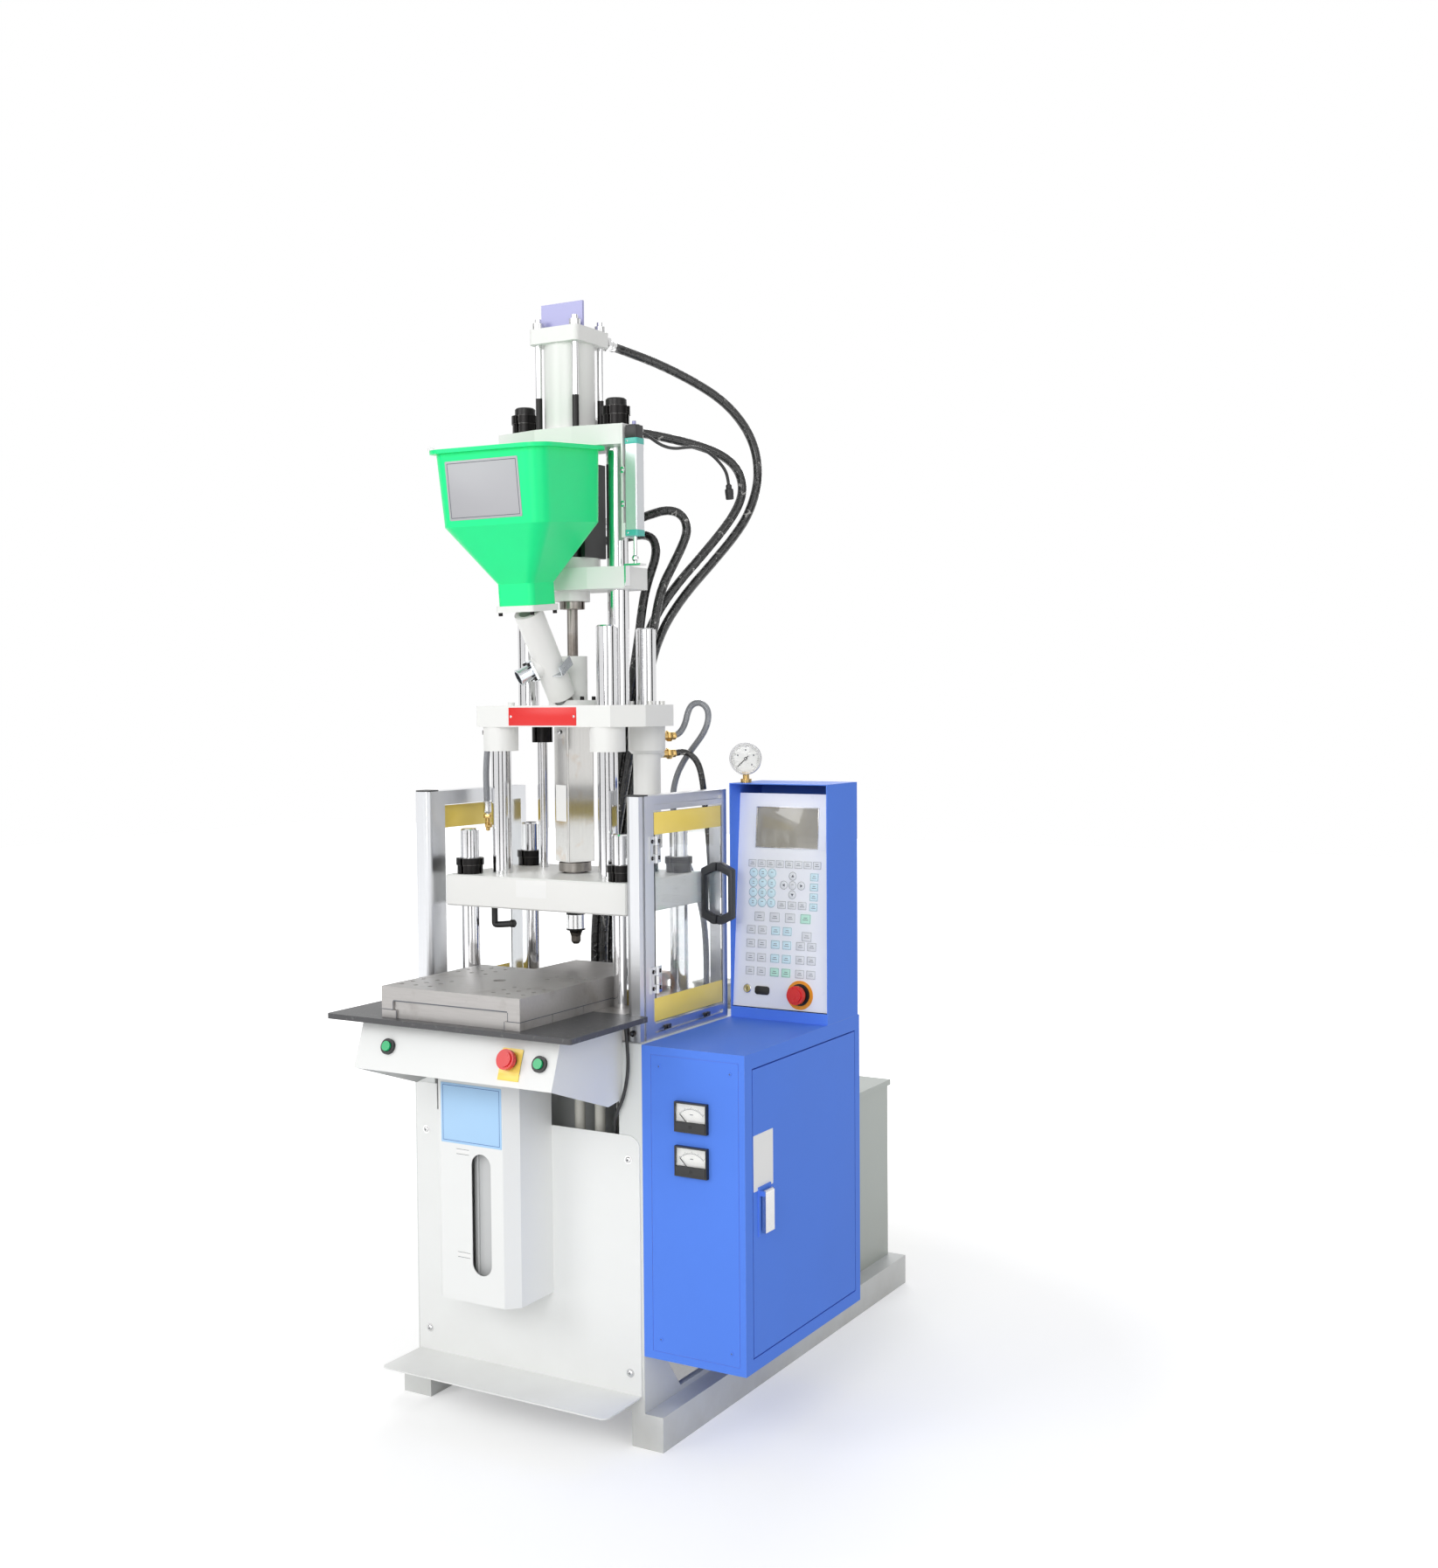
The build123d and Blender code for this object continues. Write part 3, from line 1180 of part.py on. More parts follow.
# Hydraulic motor in its cage
with BuildPart() as hydraulic_motor:
    shaft(0, 0, motor_d, motor_seat_top_z, motor_top_z)
    for side in (-1, 1):
        outer, inner = side * cage_half_x, side * (cage_half_x - cage_wall)
        block(min(outer, inner), max(outer, inner), -cage_half_y, cage_half_y, motor_seat_top_z, cage_top_z)
    block(-cage_half_x, cage_half_x, -cage_half_y, cage_half_y, cage_top_z, cage_top_z + cage_bridge)
    disc(face(motor_port_x, 0, motor_port_high_z, (0, 1, 0)), motor_port_d, 0, motor_port_y + rear_port_reach)
    disc(face(-motor_port_x, 0, motor_port_low_z, (0, 1, 0)), motor_port_d, 0, motor_port_y + rear_port_reach)
hydraulic_motor.part.label = "hydraulic_motor"
export_step(hydraulic_motor.part, "parts/hydraulic_motor.step")

# Piston rod and the transducer's rod with its bracket
with BuildPart() as crosshead_rods:
    shaft(0, 0, ram_rod_d, cage_top_z + cage_bridge, ram_low_z)
    shaft(0, 0, cylinder_bore_d - 2 * running, ram_low_z, ram_high_z)
    block(crosshead_half_x, crosshead_half_x + sense_leaf, -crosshead_end_y, transducer_y,
          sense_leaf_low_z, crosshead_top_z + sense_leaf)
    block(crosshead_half_x, sense_leaf_reach_x, -crosshead_end_y, transducer_y + sense_ball_d / 2,
          crosshead_top_z, crosshead_top_z + sense_leaf)
    with Locations(spot(transducer_x, transducer_y, sense_ball_z)):
        Sphere(sense_ball_d / 2)
    shaft(transducer_x, transducer_y, sense_rod_d, crosshead_top_z, sense_rod_top_z)
crosshead_rods.part.label = "crosshead_rods"
export_step(crosshead_rods.part, "parts/crosshead_rods.step")

# Plasticising screw with its collar
with BuildPart() as screw:
    shaft(0, 0, barrel_bore_d - 2 * running, screw_low_z, flight_top_z)
    shaft(0, 0, screw_d, flight_top_z, screw_top_z)
    shaft(0, 0, screw_collar_d, screw_collar_low_z, crosshead_boss_low_z - loose)
    with Locations(spot(0, 0, screw_collar_low_z + (crosshead_boss_low_z - screw_collar_low_z) / 2)):
        with PolarLocations(screw_collar_d / 2, 4):
            Box(2 * nut_slot_deep, nut_slot, crosshead_boss_low_z - screw_collar_low_z, mode=Mode.SUBTRACT)
screw.part.label = "screw"
export_step(screw.part, "parts/screw.step")

# Front cover with its left tab and the kick flange
with BuildPart() as front_cover:
    with BuildSketch(face(0, body_front_y, 0, (0, -1, 0))):
        with Locations(((front_cover_left_x + front_cover_right_x) / 2,
                        (front_cover_low_z + front_cover_top_z) / 2)):
            Rectangle(front_cover_right_x - front_cover_left_x, front_cover_top_z - front_cover_low_z)
        corner = [v for v in vertices() if v.X > 0 and v.Y > (front_cover_low_z + front_cover_top_z) / 2]
        fillet(corner, front_cover_round)
        with Locations(((front_cover_left_x + front_tab_right_x) / 2,
                        (front_cover_top_z + front_tab_top_z) / 2)):
            Rectangle(front_tab_right_x - front_cover_left_x, front_tab_top_z - front_cover_top_z)
    extrude(amount=cover_sheet)
    with BuildSketch(face(0, 0, front_cover_low_z, (0, 0, 1))):
        with Locations(((front_cover_left_x + front_cover_right_x) / 2, (kick_front_y + body_front_y) / 2)):
            Rectangle(front_cover_right_x - front_cover_left_x, body_front_y - kick_front_y)
        fillet(vertices().group_by(Axis.Y)[0], kick_round)
    extrude(amount=cover_sheet)
front_cover.part.label = "front_cover"
export_step(front_cover.part, "parts/front_cover.step")

# Folded clamp cover with its slot and the switch rail behind it
box_points = [(box_left_x, body_front_y - cover_sheet), (box_left_x, box_shoulder_y),
              (box_face_left_x, box_front_y), (box_face_right_x, box_front_y),
              (box_right_x, box_shoulder_y), (box_right_x, body_front_y - cover_sheet)]
box_inner = [(box_left_x + box_sheet, body_front_y - cover_sheet), (box_left_x + box_sheet, box_shoulder_y),
             (box_face_left_x, box_front_y + box_sheet), (box_face_right_x, box_front_y + box_sheet),
             (box_right_x - box_sheet, box_shoulder_y), (box_right_x - box_sheet, body_front_y - cover_sheet)]
with BuildPart() as clamp_cover:
    prism(box_points, face(0, 0, box_low_z, (0, 0, 1)), box_top_z - box_low_z)
    prism(box_inner, face(0, 0, box_low_z + box_sheet, (0, 0, 1)), box_top_z - box_low_z - 2 * box_sheet,
          mode=Mode.SUBTRACT)
    with BuildSketch(face(box_slot_x, box_front_y, (box_slot_low_z + box_slot_high_z) / 2, (0, -1, 0))):
        SlotOverall(box_slot_high_z - box_slot_low_z, box_slot_width, rotation=90)
    extrude(amount=-2 * box_sheet, mode=Mode.SUBTRACT)
    block(box_slot_x - switch_rail_half_x, box_slot_x + switch_rail_half_x, switch_rail_front_y,
          switch_rail_rear_y, box_low_z, box_top_z)
clamp_cover.part.label = "clamp_cover"
export_step(clamp_cover.part, "parts/clamp_cover.step")

# Button console, folded and open below
sheet_y = console_sheet * cos(console_lean)
sheet_z = console_sheet * sin(console_lean)
drop_y = console_open * tan(console_lean)
console_points = [(console_top_y, console_top_z), (console_low_y, console_low_z),
                  (console_side_y, console_side_z), (console_heel_y, console_heel_z),
                  (body_front_y, console_heel_z), (body_front_y, console_top_z)]
console_inner = [(console_top_y + sheet_y, console_top_z - console_sheet - sheet_z),
                 (console_low_y + sheet_y - drop_y, console_low_z - console_open),
                 (body_front_y + console_open, console_side_z - console_open),
                 (body_front_y + console_open, console_top_z - console_sheet)]
with BuildPart() as console:
    prism(console_points, face(-console_half_x, 0, 0, (1, 0, 0), (0, 1, 0)), 2 * console_half_x)
    prism(console_inner, face(-console_half_x + console_sheet, 0, 0, (1, 0, 0), (0, 1, 0)),
          2 * (console_half_x - console_sheet), mode=Mode.SUBTRACT)
    for x in (button_left_x, button_right_x, estop_x):
        disc(face(x, button_y, button_z, console_out), socket_sleeve_d, -socket_sleeve / 2,
             socket_sleeve, mode=Mode.SUBTRACT)
console.part.label = "console"
export_step(console.part, "parts/console.step")

# Sockets of the push buttons and the emergency stops
keypad_plane = face((cabinet_left_x + cabinet_right_x) / 2, keypad_low_y, keypad_low_z, keypad_out)
panel_estop_plane = face(panel_estop_x, keypad_low_y + panel_estop_rise * sin(keypad_lean),
                         keypad_low_z + panel_estop_rise * cos(keypad_lean), keypad_out)
console_estop_plane = face(estop_x, button_y, button_z, console_out)
with BuildPart() as switch_sockets:
    for x in (button_left_x, button_right_x):
        seat = face(x, button_y, button_z, console_out)
        disc(seat, socket_d, 0, socket_high)
        disc(seat, socket_sleeve_d, -socket_sleeve, socket_sleeve)
        disc(seat, button_d + 2 * loose, -button_room, button_room + socket_high, mode=Mode.SUBTRACT)
    with BuildSketch(console_estop_plane):
        RectangleRounded(estop_plate, estop_plate, estop_plate_thick)
    extrude(amount=estop_plate_thick)
    with BuildSketch(panel_estop_plane):
        Circle(estop_plate / 2)
    extrude(amount=estop_plate_thick)
    for seat in (console_estop_plane, panel_estop_plane):
        disc(seat, estop_collar_d, estop_plate_thick, estop_collar - estop_plate_thick)
        disc(seat, socket_sleeve_d, -socket_sleeve, socket_sleeve)
        disc(seat, estop_neck_d + 2 * loose, -button_room, button_room + estop_collar, mode=Mode.SUBTRACT)
switch_sockets.part.label = "switch_sockets"
export_step(switch_sockets.part, "parts/switch_sockets.step")

# Left start button
with BuildPart() as start_button_left:
    disc(face(button_left_x, button_y, button_z, console_out), button_d, -button_deep,
         button_deep + socket_high + button_high / 2)
start_button_left.part.label = "start_button_left"
export_step(start_button_left.part, "parts/start_button_left.step")

# Right start button
with BuildPart() as start_button_right:
    disc(face(button_right_x, button_y, button_z, console_out), button_d, -button_deep,
         button_deep + socket_high + button_high / 2)
start_button_right.part.label = "start_button_right"
export_step(start_button_right.part, "parts/start_button_right.step")

# Console's emergency stop
head_start = estop_collar + estop_gap
with BuildPart() as console_estop:
    disc(console_estop_plane, estop_neck_d, -button_deep, button_deep + head_start)
    disc(console_estop_plane, estop_head_d, head_start, estop_head)
    disc(console_estop_plane, estop_crown_d, head_start + estop_head, estop_crown)
console_estop.part.label = "console_estop"
export_step(console_estop.part, "parts/console_estop.step")

# Panel's emergency stop
with BuildPart() as panel_estop:
    disc(panel_estop_plane, estop_neck_d, -button_deep, button_deep + head_start)
    disc(panel_estop_plane, estop_head_d, head_start, estop_head)
    disc(panel_estop_plane, estop_crown_d, head_start + estop_head, estop_crown)
panel_estop.part.label = "panel_estop"
export_step(panel_estop.part, "parts/panel_estop.step")

# Oil tank with its rim and raised lid
with BuildPart() as oil_tank:
    block(-body_half_x, body_half_x, tank_front_y, tank_rear_y, tank_low_z, tank_top_z)
    block(-body_half_x + tank_wall, body_half_x - tank_wall, tank_front_y + tank_wall,
          tank_rear_y - tank_wall, tank_low_z + tank_wall, tank_top_z - tank_wall, mode=Mode.SUBTRACT)
    block(-body_half_x - tank_rim_thick, body_half_x + tank_rim_thick, tank_front_y - tank_rim_thick,
          tank_rear_y + tank_rim_thick, tank_top_z - tank_rim, tank_top_z)
    block(-lid_half_x, lid_half_x, lid_front_y, lid_rear_y, tank_top_z, lid_top_z)
oil_tank.part.label = "oil_tank"
export_step(oil_tank.part, "parts/oil_tank.step")

# Power pack: motor, pump, valve block and two pipes
with BuildPart() as power_pack:
    disc(face(pump_motor_left_x, pump_motor_y, pump_motor_z, (1, 0, 0), (0, 1, 0)), pump_motor_d, 0,
         pump_motor_right_x - pump_motor_left_x)
    disc(face(pump_motor_right_x, pump_motor_y, pump_motor_z, (1, 0, 0), (0, 1, 0)), pump_d, 0,
         pump_right_x - pump_motor_right_x)
    block(-motor_foot_half_x, motor_foot_half_x, pump_motor_y - pump_foot_half_y,
          pump_motor_y + pump_foot_half_y, lid_top_z, pump_motor_z)
    block(-valve_half_x, valve_half_x, valve_front_y, valve_rear_y, lid_top_z, valve_top_z)
    for x in (pipe_left_x, pipe_right_x):
        shaft(x, pipe_y, pipe_d, pipe_low_z, body_top_z - top_plate)
power_pack.part.label = "power_pack"
export_step(power_pack.part, "parts/power_pack.step")

# Electrical cabinet with its door frame and pivot pins
with BuildPart() as cabinet:
    block(cabinet_left_x, cabinet_right_x, cabinet_front_y, cabinet_rear_y, cabinet_low_z, cabinet_top_z)
    block(cabinet_left_x + cabinet_sheet, cabinet_right_x - cabinet_sheet, cabinet_front_y + cabinet_sheet,
          cabinet_rear_y - cabinet_sheet, cabinet_low_z + cabinet_sheet, cabinet_top_z - cabinet_sheet,
          mode=Mode.SUBTRACT)
    block(cabinet_right_x - cabinet_frame, cabinet_right_x - cabinet_sheet, opening_front_y - cabinet_sheet,
          opening_rear_y + cabinet_sheet, opening_low_z - cabinet_sheet, opening_high_z + cabinet_sheet)
    block(cabinet_right_x - cabinet_frame, cabinet_right_x, opening_front_y, opening_rear_y,
          opening_low_z, opening_high_z, mode=Mode.SUBTRACT)
    shaft(pivot_x, pivot_y, pivot_d, opening_low_z, opening_low_z + pivot_reach)
    shaft(pivot_x, pivot_y, pivot_d, opening_high_z - pivot_reach, opening_high_z)
    for z in (meter_upper_z, meter_lower_z):
        block(meter_x - meter_back_half, meter_x + meter_back_half, cabinet_front_y,
              cabinet_front_y + cabinet_sheet, z - meter_back_half, z + meter_back_half, mode=Mode.SUBTRACT)
    with BuildSketch(face(0, cabinet_front_y, 0, (0, -1, 0))):
        with Locations(((inset_left_x + inset_right_x) / 2, (inset_low_z + inset_high_z) / 2)):
            Rectangle(inset_right_x - inset_left_x, inset_high_z - inset_low_z)
            Rectangle(inset_right_x - inset_left_x - 2 * inset_line,
                      inset_high_z - inset_low_z - 2 * inset_line,
                      mode=Mode.SUBTRACT)
    extrude(amount=-inset_deep, mode=Mode.SUBTRACT)
cabinet.part.label = "cabinet"
export_step(cabinet.part, "parts/cabinet.step")

# Mounting panel with switchgear and wiring ducts inside the cabinet
with BuildPart() as mounting_panel:
    block(cabinet_left_x + cabinet_sheet, panel_x,
          panel_front_y + gear_half_y, panel_front_y + gear_half_y + panel_thick,
          panel_low_z, panel_high_z)
    block(cabinet_left_x + cabinet_sheet, panel_x,
          panel_rear_y - gear_half_y, panel_rear_y - gear_half_y + panel_thick,
          panel_low_z, panel_high_z)
    block(panel_x, panel_x + panel_thick, panel_front_y, panel_rear_y, panel_low_z, panel_high_z)
    for z in (gear_row_one_z, gear_row_two_z, gear_row_three_z, gear_row_four_z):
        for index in range(gear_count):
            y = gear_first_y + index * gear_pitch_y
            block(panel_x + panel_thick, panel_x + panel_thick + gear_deep, y - gear_half_y, y + gear_half_y,
                  z - gear_high / 2, z + gear_high / 2)
    for z in (duct_row_one_z, duct_row_two_z, duct_row_three_z):
        block(panel_x + panel_thick, panel_x + panel_thick + duct_deep, panel_front_y, panel_rear_y,
              z - duct_high / 2, z + duct_high / 2)
mounting_panel.part.label = "mounting_panel"
export_step(mounting_panel.part, "parts/mounting_panel.step")

# Cabinet door: a folded tray with the latch's plate and ears
door_front_y = opening_front_y + door_gap
door_rear_y = opening_rear_y - door_gap
door_low_z = opening_low_z + door_gap
door_high_z = opening_high_z - door_gap
with BuildPart() as cabinet_door:
    block(cabinet_right_x - door_flange, cabinet_right_x, door_front_y, door_rear_y, door_low_z, door_high_z)
    block(cabinet_right_x - door_flange, cabinet_right_x - cabinet_sheet, door_front_y + cabinet_sheet,
          door_rear_y - cabinet_sheet, door_low_z + cabinet_sheet, door_high_z - cabinet_sheet,
          mode=Mode.SUBTRACT)
    shaft(pivot_x, pivot_y, pivot_d + 2 * running, door_low_z, door_low_z + cabinet_sheet, mode=Mode.SUBTRACT)
    shaft(pivot_x, pivot_y, pivot_d + 2 * running, door_high_z - cabinet_sheet, door_high_z,
          mode=Mode.SUBTRACT)
    block(cabinet_right_x, cabinet_right_x + latch_plate, latch_y - latch_plate_half_y,
          latch_y + latch_plate_half_y, latch_z - latch_plate_half_z, latch_z + latch_plate_half_z)
    for side in (-1, 1):
        near, far = side * (lever_half_y + loose), side * (lever_half_y + ear)
        block(cabinet_right_x + latch_plate, cabinet_right_x + latch_reach, latch_y + min(near, far),
              latch_y + max(near, far), lever_pin_z - lever_hub_d / 2, lever_pin_z + lever_hub_d / 2)
    disc(face(lever_pin_x, latch_y - lever_half_y - ear, lever_pin_z, (0, 1, 0)), lever_pin_d, 0,
         2 * (lever_half_y + ear))
cabinet_door.part.label = "cabinet_door"
export_step(cabinet_door.part, "parts/cabinet_door.step")

# Latch lever on its pin
with BuildPart() as latch_lever:
    disc(face(lever_pin_x, latch_y - lever_half_y, lever_pin_z, (0, 1, 0)), lever_hub_d, 0, 2 * lever_half_y)
    block(cabinet_right_x + latch_reach - lever_thick, cabinet_right_x + latch_reach, latch_y - lever_half_y,
          latch_y + lever_half_y, latch_z - lever_half_z, lever_pin_z)
    disc(face(lever_pin_x, latch_y - lever_half_y, lever_pin_z, (0, 1, 0)), lever_pin_d + 2 * running, 0,
         2 * lever_half_y, mode=Mode.SUBTRACT)
latch_lever.part.label = "latch_lever"
export_step(latch_lever.part, "parts/latch_lever.step")

# Cases of the two meters and the pressure gauge, each with its needle's pin
gauge_plane = face(gauge_x, gauge_y, gauge_z, gauge_out, (cos(gauge_turn), sin(gauge_turn), 0))
with BuildPart() as instrument_cases:
    for z in (meter_upper_z, meter_lower_z):
        block(meter_x - meter_half_x, meter_x + meter_half_x, cabinet_front_y - meter_proud, cabinet_front_y,
              z - meter_half_z, z + meter_half_z)
        block(meter_x - meter_back_half, meter_x + meter_back_half,
              cabinet_front_y, cabinet_front_y + meter_back,
              z - meter_back_half, z + meter_back_half)
        block(meter_x - meter_half_x + meter_wall, meter_x + meter_half_x - meter_wall,
              cabinet_front_y - meter_proud, cabinet_front_y - meter_proud + meter_room,
              z - meter_half_z + meter_wall, z + meter_half_z - meter_wall, mode=Mode.SUBTRACT)
        disc(face(meter_x, cabinet_front_y - meter_proud + meter_room, z - meter_pin_drop, (0, -1, 0)),
             meter_pin_d, 0, meter_pin_reach)
    disc(gauge_plane, gauge_d, -gauge_deep / 2, gauge_deep)
    disc(gauge_plane, gauge_d - 2 * gauge_rim, gauge_deep / 2 - gauge_room, gauge_room, mode=Mode.SUBTRACT)
    disc(gauge_plane, gauge_pin_d, gauge_deep / 2 - gauge_room, gauge_pin_reach)
    shaft(gauge_x, gauge_y, gauge_stem_d, box_unit_top_z + gauge_foot, gauge_z - gauge_d / 2 + gauge_rim)
    shaft(gauge_x, gauge_y, gauge_foot_d, box_unit_top_z, box_unit_top_z + gauge_foot)
instrument_cases.part.label = "instrument_cases"
export_step(instrument_cases.part, "parts/instrument_cases.step")


def needle(plane, pin, length, tail):
    with BuildSketch(plane) as section:
        Circle(needle_hub_d / 2)
        with Locations((0, (length - tail) / 2)):
            Rectangle(needle_width, length + tail)
        Circle(pin / 2 + running, mode=Mode.SUBTRACT)
    extrude(section.sketch, amount=needle_thick, dir=plane.z_dir)


# Upper meter's needle
with BuildPart() as meter_needle_upper:
    needle(face(meter_x, cabinet_front_y - meter_proud + meter_room - needle_lift,
                meter_upper_z - meter_pin_drop,
                (0, -1, 0), (sin(radians(45)), 0, cos(radians(45)))), meter_pin_d, needle_length, 0)
meter_needle_upper.part.label = "meter_needle_upper"
export_step(meter_needle_upper.part, "parts/meter_needle_upper.step")

# Lower meter's needle
with BuildPart() as meter_needle_lower:
    needle(face(meter_x, cabinet_front_y - meter_proud + meter_room - needle_lift,
                meter_lower_z - meter_pin_drop,
                (0, -1, 0), (sin(radians(45)), 0, cos(radians(45)))), meter_pin_d, needle_length, 0)
meter_needle_lower.part.label = "meter_needle_lower"
export_step(meter_needle_lower.part, "parts/meter_needle_lower.step")

# Pressure gauge's needle
gauge_rest = radians(45)
gauge_side = (cos(gauge_turn) * -cos(gauge_rest), sin(gauge_turn) * -cos(gauge_rest), sin(gauge_rest))
with BuildPart() as gauge_needle:
    needle(Plane(origin=gauge_plane.origin, x_dir=gauge_side, z_dir=gauge_out).offset(
        gauge_deep / 2 - gauge_room + needle_lift), gauge_pin_d, gauge_needle_length, gauge_needle_tail)
gauge_needle.part.label = "gauge_needle"
export_step(gauge_needle.part, "parts/gauge_needle.step")

# Control box, open at the front
with BuildPart() as control_box:
    block(cabinet_left_x, cabinet_right_x, box_unit_front_y, box_unit_rear_y, cabinet_top_z, box_unit_top_z)
    block(cabinet_left_x + box_unit_sheet, cabinet_right_x - box_unit_sheet, box_unit_front_y,
          box_unit_rear_y - box_unit_sheet, cabinet_top_z + box_unit_sheet, box_unit_top_z - box_unit_sheet,
          mode=Mode.SUBTRACT)
    block(cabinet_left_x, cabinet_right_x, box_unit_front_y, box_unit_front_y + box_unit_sheet,
          cabinet_top_z, keypad_low_z - overrun)
control_box.part.label = "control_box"
export_step(control_box.part, "parts/control_box.step")

# Keypad plate with side returns and the display's recess
keypad_length = hypot(keypad_top_y - keypad_low_y, keypad_top_z - keypad_low_z)
display_x = (display_left_x + display_right_x - cabinet_left_x - cabinet_right_x) / 2
with BuildPart() as keypad_plate:
    with BuildSketch(keypad_plane):
        with Locations((0, keypad_length / 2)):
            Rectangle(cabinet_right_x - cabinet_left_x - 2 * box_unit_sheet, keypad_length)
    extrude(amount=-keypad_thick)
    with BuildSketch(keypad_plane):
        with Locations((display_x, (display_low + display_high) / 2)):
            Rectangle(display_right_x - display_left_x, display_high - display_low)
    extrude(amount=-display_deep, mode=Mode.SUBTRACT)
    disc(panel_estop_plane, socket_sleeve_d, -socket_sleeve / 2, socket_sleeve, mode=Mode.SUBTRACT)
keypad_plate.part.label = "keypad_plate"
export_step(keypad_plate.part, "parts/keypad_plate.step")

# Guard frames of slotted profile, with the fixed hinge leaves and pins on the right
opening_low = body_top_z + guard_rail
opening_high = guard_top_z - guard_rail
upright_y = guard_post_rear_y + guard_upright
rear_upright_y = guard_rear_y - guard_upright
with BuildPart() as guard_frames:
    for side in (-1, 1):
        left = min(side * guard_outer_x, side * guard_inner_x)
        right = max(side * guard_outer_x, side * guard_inner_x)
        with BuildSketch(face((left + right) / 2, (guard_front_y + guard_post_rear_y) / 2, body_top_z,
                              (0, 0, 1))):
            Rectangle(right - left, guard_post_rear_y - guard_front_y)
            fillet(vertices().group_by(Axis.Y)[0].sort_by(Axis.X)[-1 if side < 0 else 0], guard_round)
        extrude(amount=guard_top_z - body_top_z)
        block(left, right, guard_post_rear_y, upright_y, body_top_z, guard_top_z)
        block(left, right, rear_upright_y, guard_rear_y, body_top_z, guard_top_z)
        block(left, right, upright_y, rear_upright_y, body_top_z, opening_low)
        block(left, right, upright_y, rear_upright_y, opening_high, guard_top_z)
        out = side * guard_outer_x
        deep = side * (guard_outer_x - groove_deep)
        middle = (guard_front_y + guard_post_rear_y) / 2
        block(min(out, deep), max(out, deep), middle - groove / 2, middle + groove / 2,
              body_top_z, guard_top_z,
              mode=Mode.SUBTRACT)
        for low, high in ((body_top_z, opening_low), (opening_high, guard_top_z)):
            block(min(out, deep), max(out, deep), upright_y, rear_upright_y, (low + high - groove) / 2,
                  (low + high + groove) / 2, mode=Mode.SUBTRACT)
    for z in (hinge_upper_z, hinge_lower_z):
        third = hinge_high / 3
        block(guard_outer_x, guard_outer_x + hinge_leaf, hinge_y - hinge_leaf_width - hinge_bite,
              hinge_y - hinge_knuckle_d / 2 + hinge_bite, z - hinge_high / 2, z + hinge_high / 2)
        for low in (z - hinge_high / 2, z + hinge_high / 2 - third):
            shaft(hinge_x, hinge_y, hinge_knuckle_d, low, low + third)
            block(guard_outer_x, hinge_x, hinge_y - hinge_knuckle_d / 2 - hinge_bite, hinge_y,
                  low, low + third)
        shaft(hinge_x, hinge_y, hinge_knuckle_d + 2 * loose, z - third / 2, z + third / 2, mode=Mode.SUBTRACT)
        block(guard_outer_x, guard_outer_x + hinge_leaf, hinge_y - hinge_knuckle_d, hinge_y,
              z - third / 2, z + third / 2, mode=Mode.SUBTRACT)
        shaft(hinge_x, hinge_y, hinge_pin_d, z - hinge_high / 2, z + hinge_high / 2)
guard_frames.part.label = "guard_frames"
export_step(guard_frames.part, "parts/guard_frames.step")

# Clear sheet of the left guard
with BuildPart() as left_guard_sheet:
    block(-guard_outer_x, -guard_outer_x + sheet_thick, upright_y, rear_upright_y, opening_low, opening_high)
left_guard_sheet.part.label = "left_guard_sheet"
export_step(left_guard_sheet.part, "parts/left_guard_sheet.step")

# Clear sheet of the right guard door
with BuildPart() as guard_door_sheet:
    block(guard_outer_x - sheet_thick, guard_outer_x, upright_y + sheet_gap, rear_upright_y - sheet_gap,
          opening_low + sheet_gap, opening_high - sheet_gap)
guard_door_sheet.part.label = "guard_door_sheet"
export_step(guard_door_sheet.part, "parts/guard_door_sheet.step")

# Door's hinge leaves and its pair of handles
with BuildPart() as guard_door_fittings:
    for z in (hinge_upper_z, hinge_lower_z):
        third = hinge_high / 3
        block(guard_outer_x, guard_outer_x + hinge_leaf,
              hinge_y + hinge_knuckle_d / 2 - hinge_bite + sheet_gap,
              hinge_y + hinge_leaf_width + sheet_gap, z - hinge_high / 2, z + hinge_high / 2)
        shaft(hinge_x, hinge_y, hinge_knuckle_d, z - third / 2 + knuckle_gap, z + third / 2 - knuckle_gap)
        block(guard_outer_x, guard_outer_x + hinge_leaf, hinge_y, hinge_y + hinge_knuckle_d + sheet_gap,
              z - third / 2 + knuckle_gap, z + third / 2 - knuckle_gap)
        shaft(hinge_x, hinge_y, hinge_pin_d + 2 * running, z - third / 2, z + third / 2, mode=Mode.SUBTRACT)
    for near, way in ((guard_outer_x, 1), (guard_outer_x - sheet_thick, -1)):
        far = near + way * handle_reach
        grip = far - way * handle_bar
        for low, high in ((handle_low_z, handle_low_z + handle_foot),
                          (handle_high_z - handle_foot, handle_high_z)):
            block(min(near, far), max(near, far), handle_y - handle_half_y, handle_y + handle_half_y,
                  low, high)
        block(min(grip, far), max(grip, far), handle_y - handle_half_y, handle_y + handle_half_y,
              handle_low_z, handle_high_z)
guard_door_fittings.part.label = "guard_door_fittings"
export_step(guard_door_fittings.part, "parts/guard_door_fittings.step")

# Upper injection hose
with BuildPart() as hose_upper:
    hose("hose_upper", hose_upper_points, hose_d)
hose_upper.part.label = "hose_upper"
export_step(hose_upper.part, "parts/hose_upper.step")

# Lower injection hose
with BuildPart() as hose_lower:
    hose("hose_lower", hose_lower_points, hose_d)
hose_lower.part.label = "hose_lower"
export_step(hose_lower.part, "parts/hose_lower.step")

# Outer hose of the hydraulic motor
with BuildPart() as motor_hose_outer:
    hose("motor_hose_outer", motor_hose_outer_points, hose_d)
motor_hose_outer.part.label = "motor_hose_outer"
export_step(motor_hose_outer.part, "parts/motor_hose_outer.step")

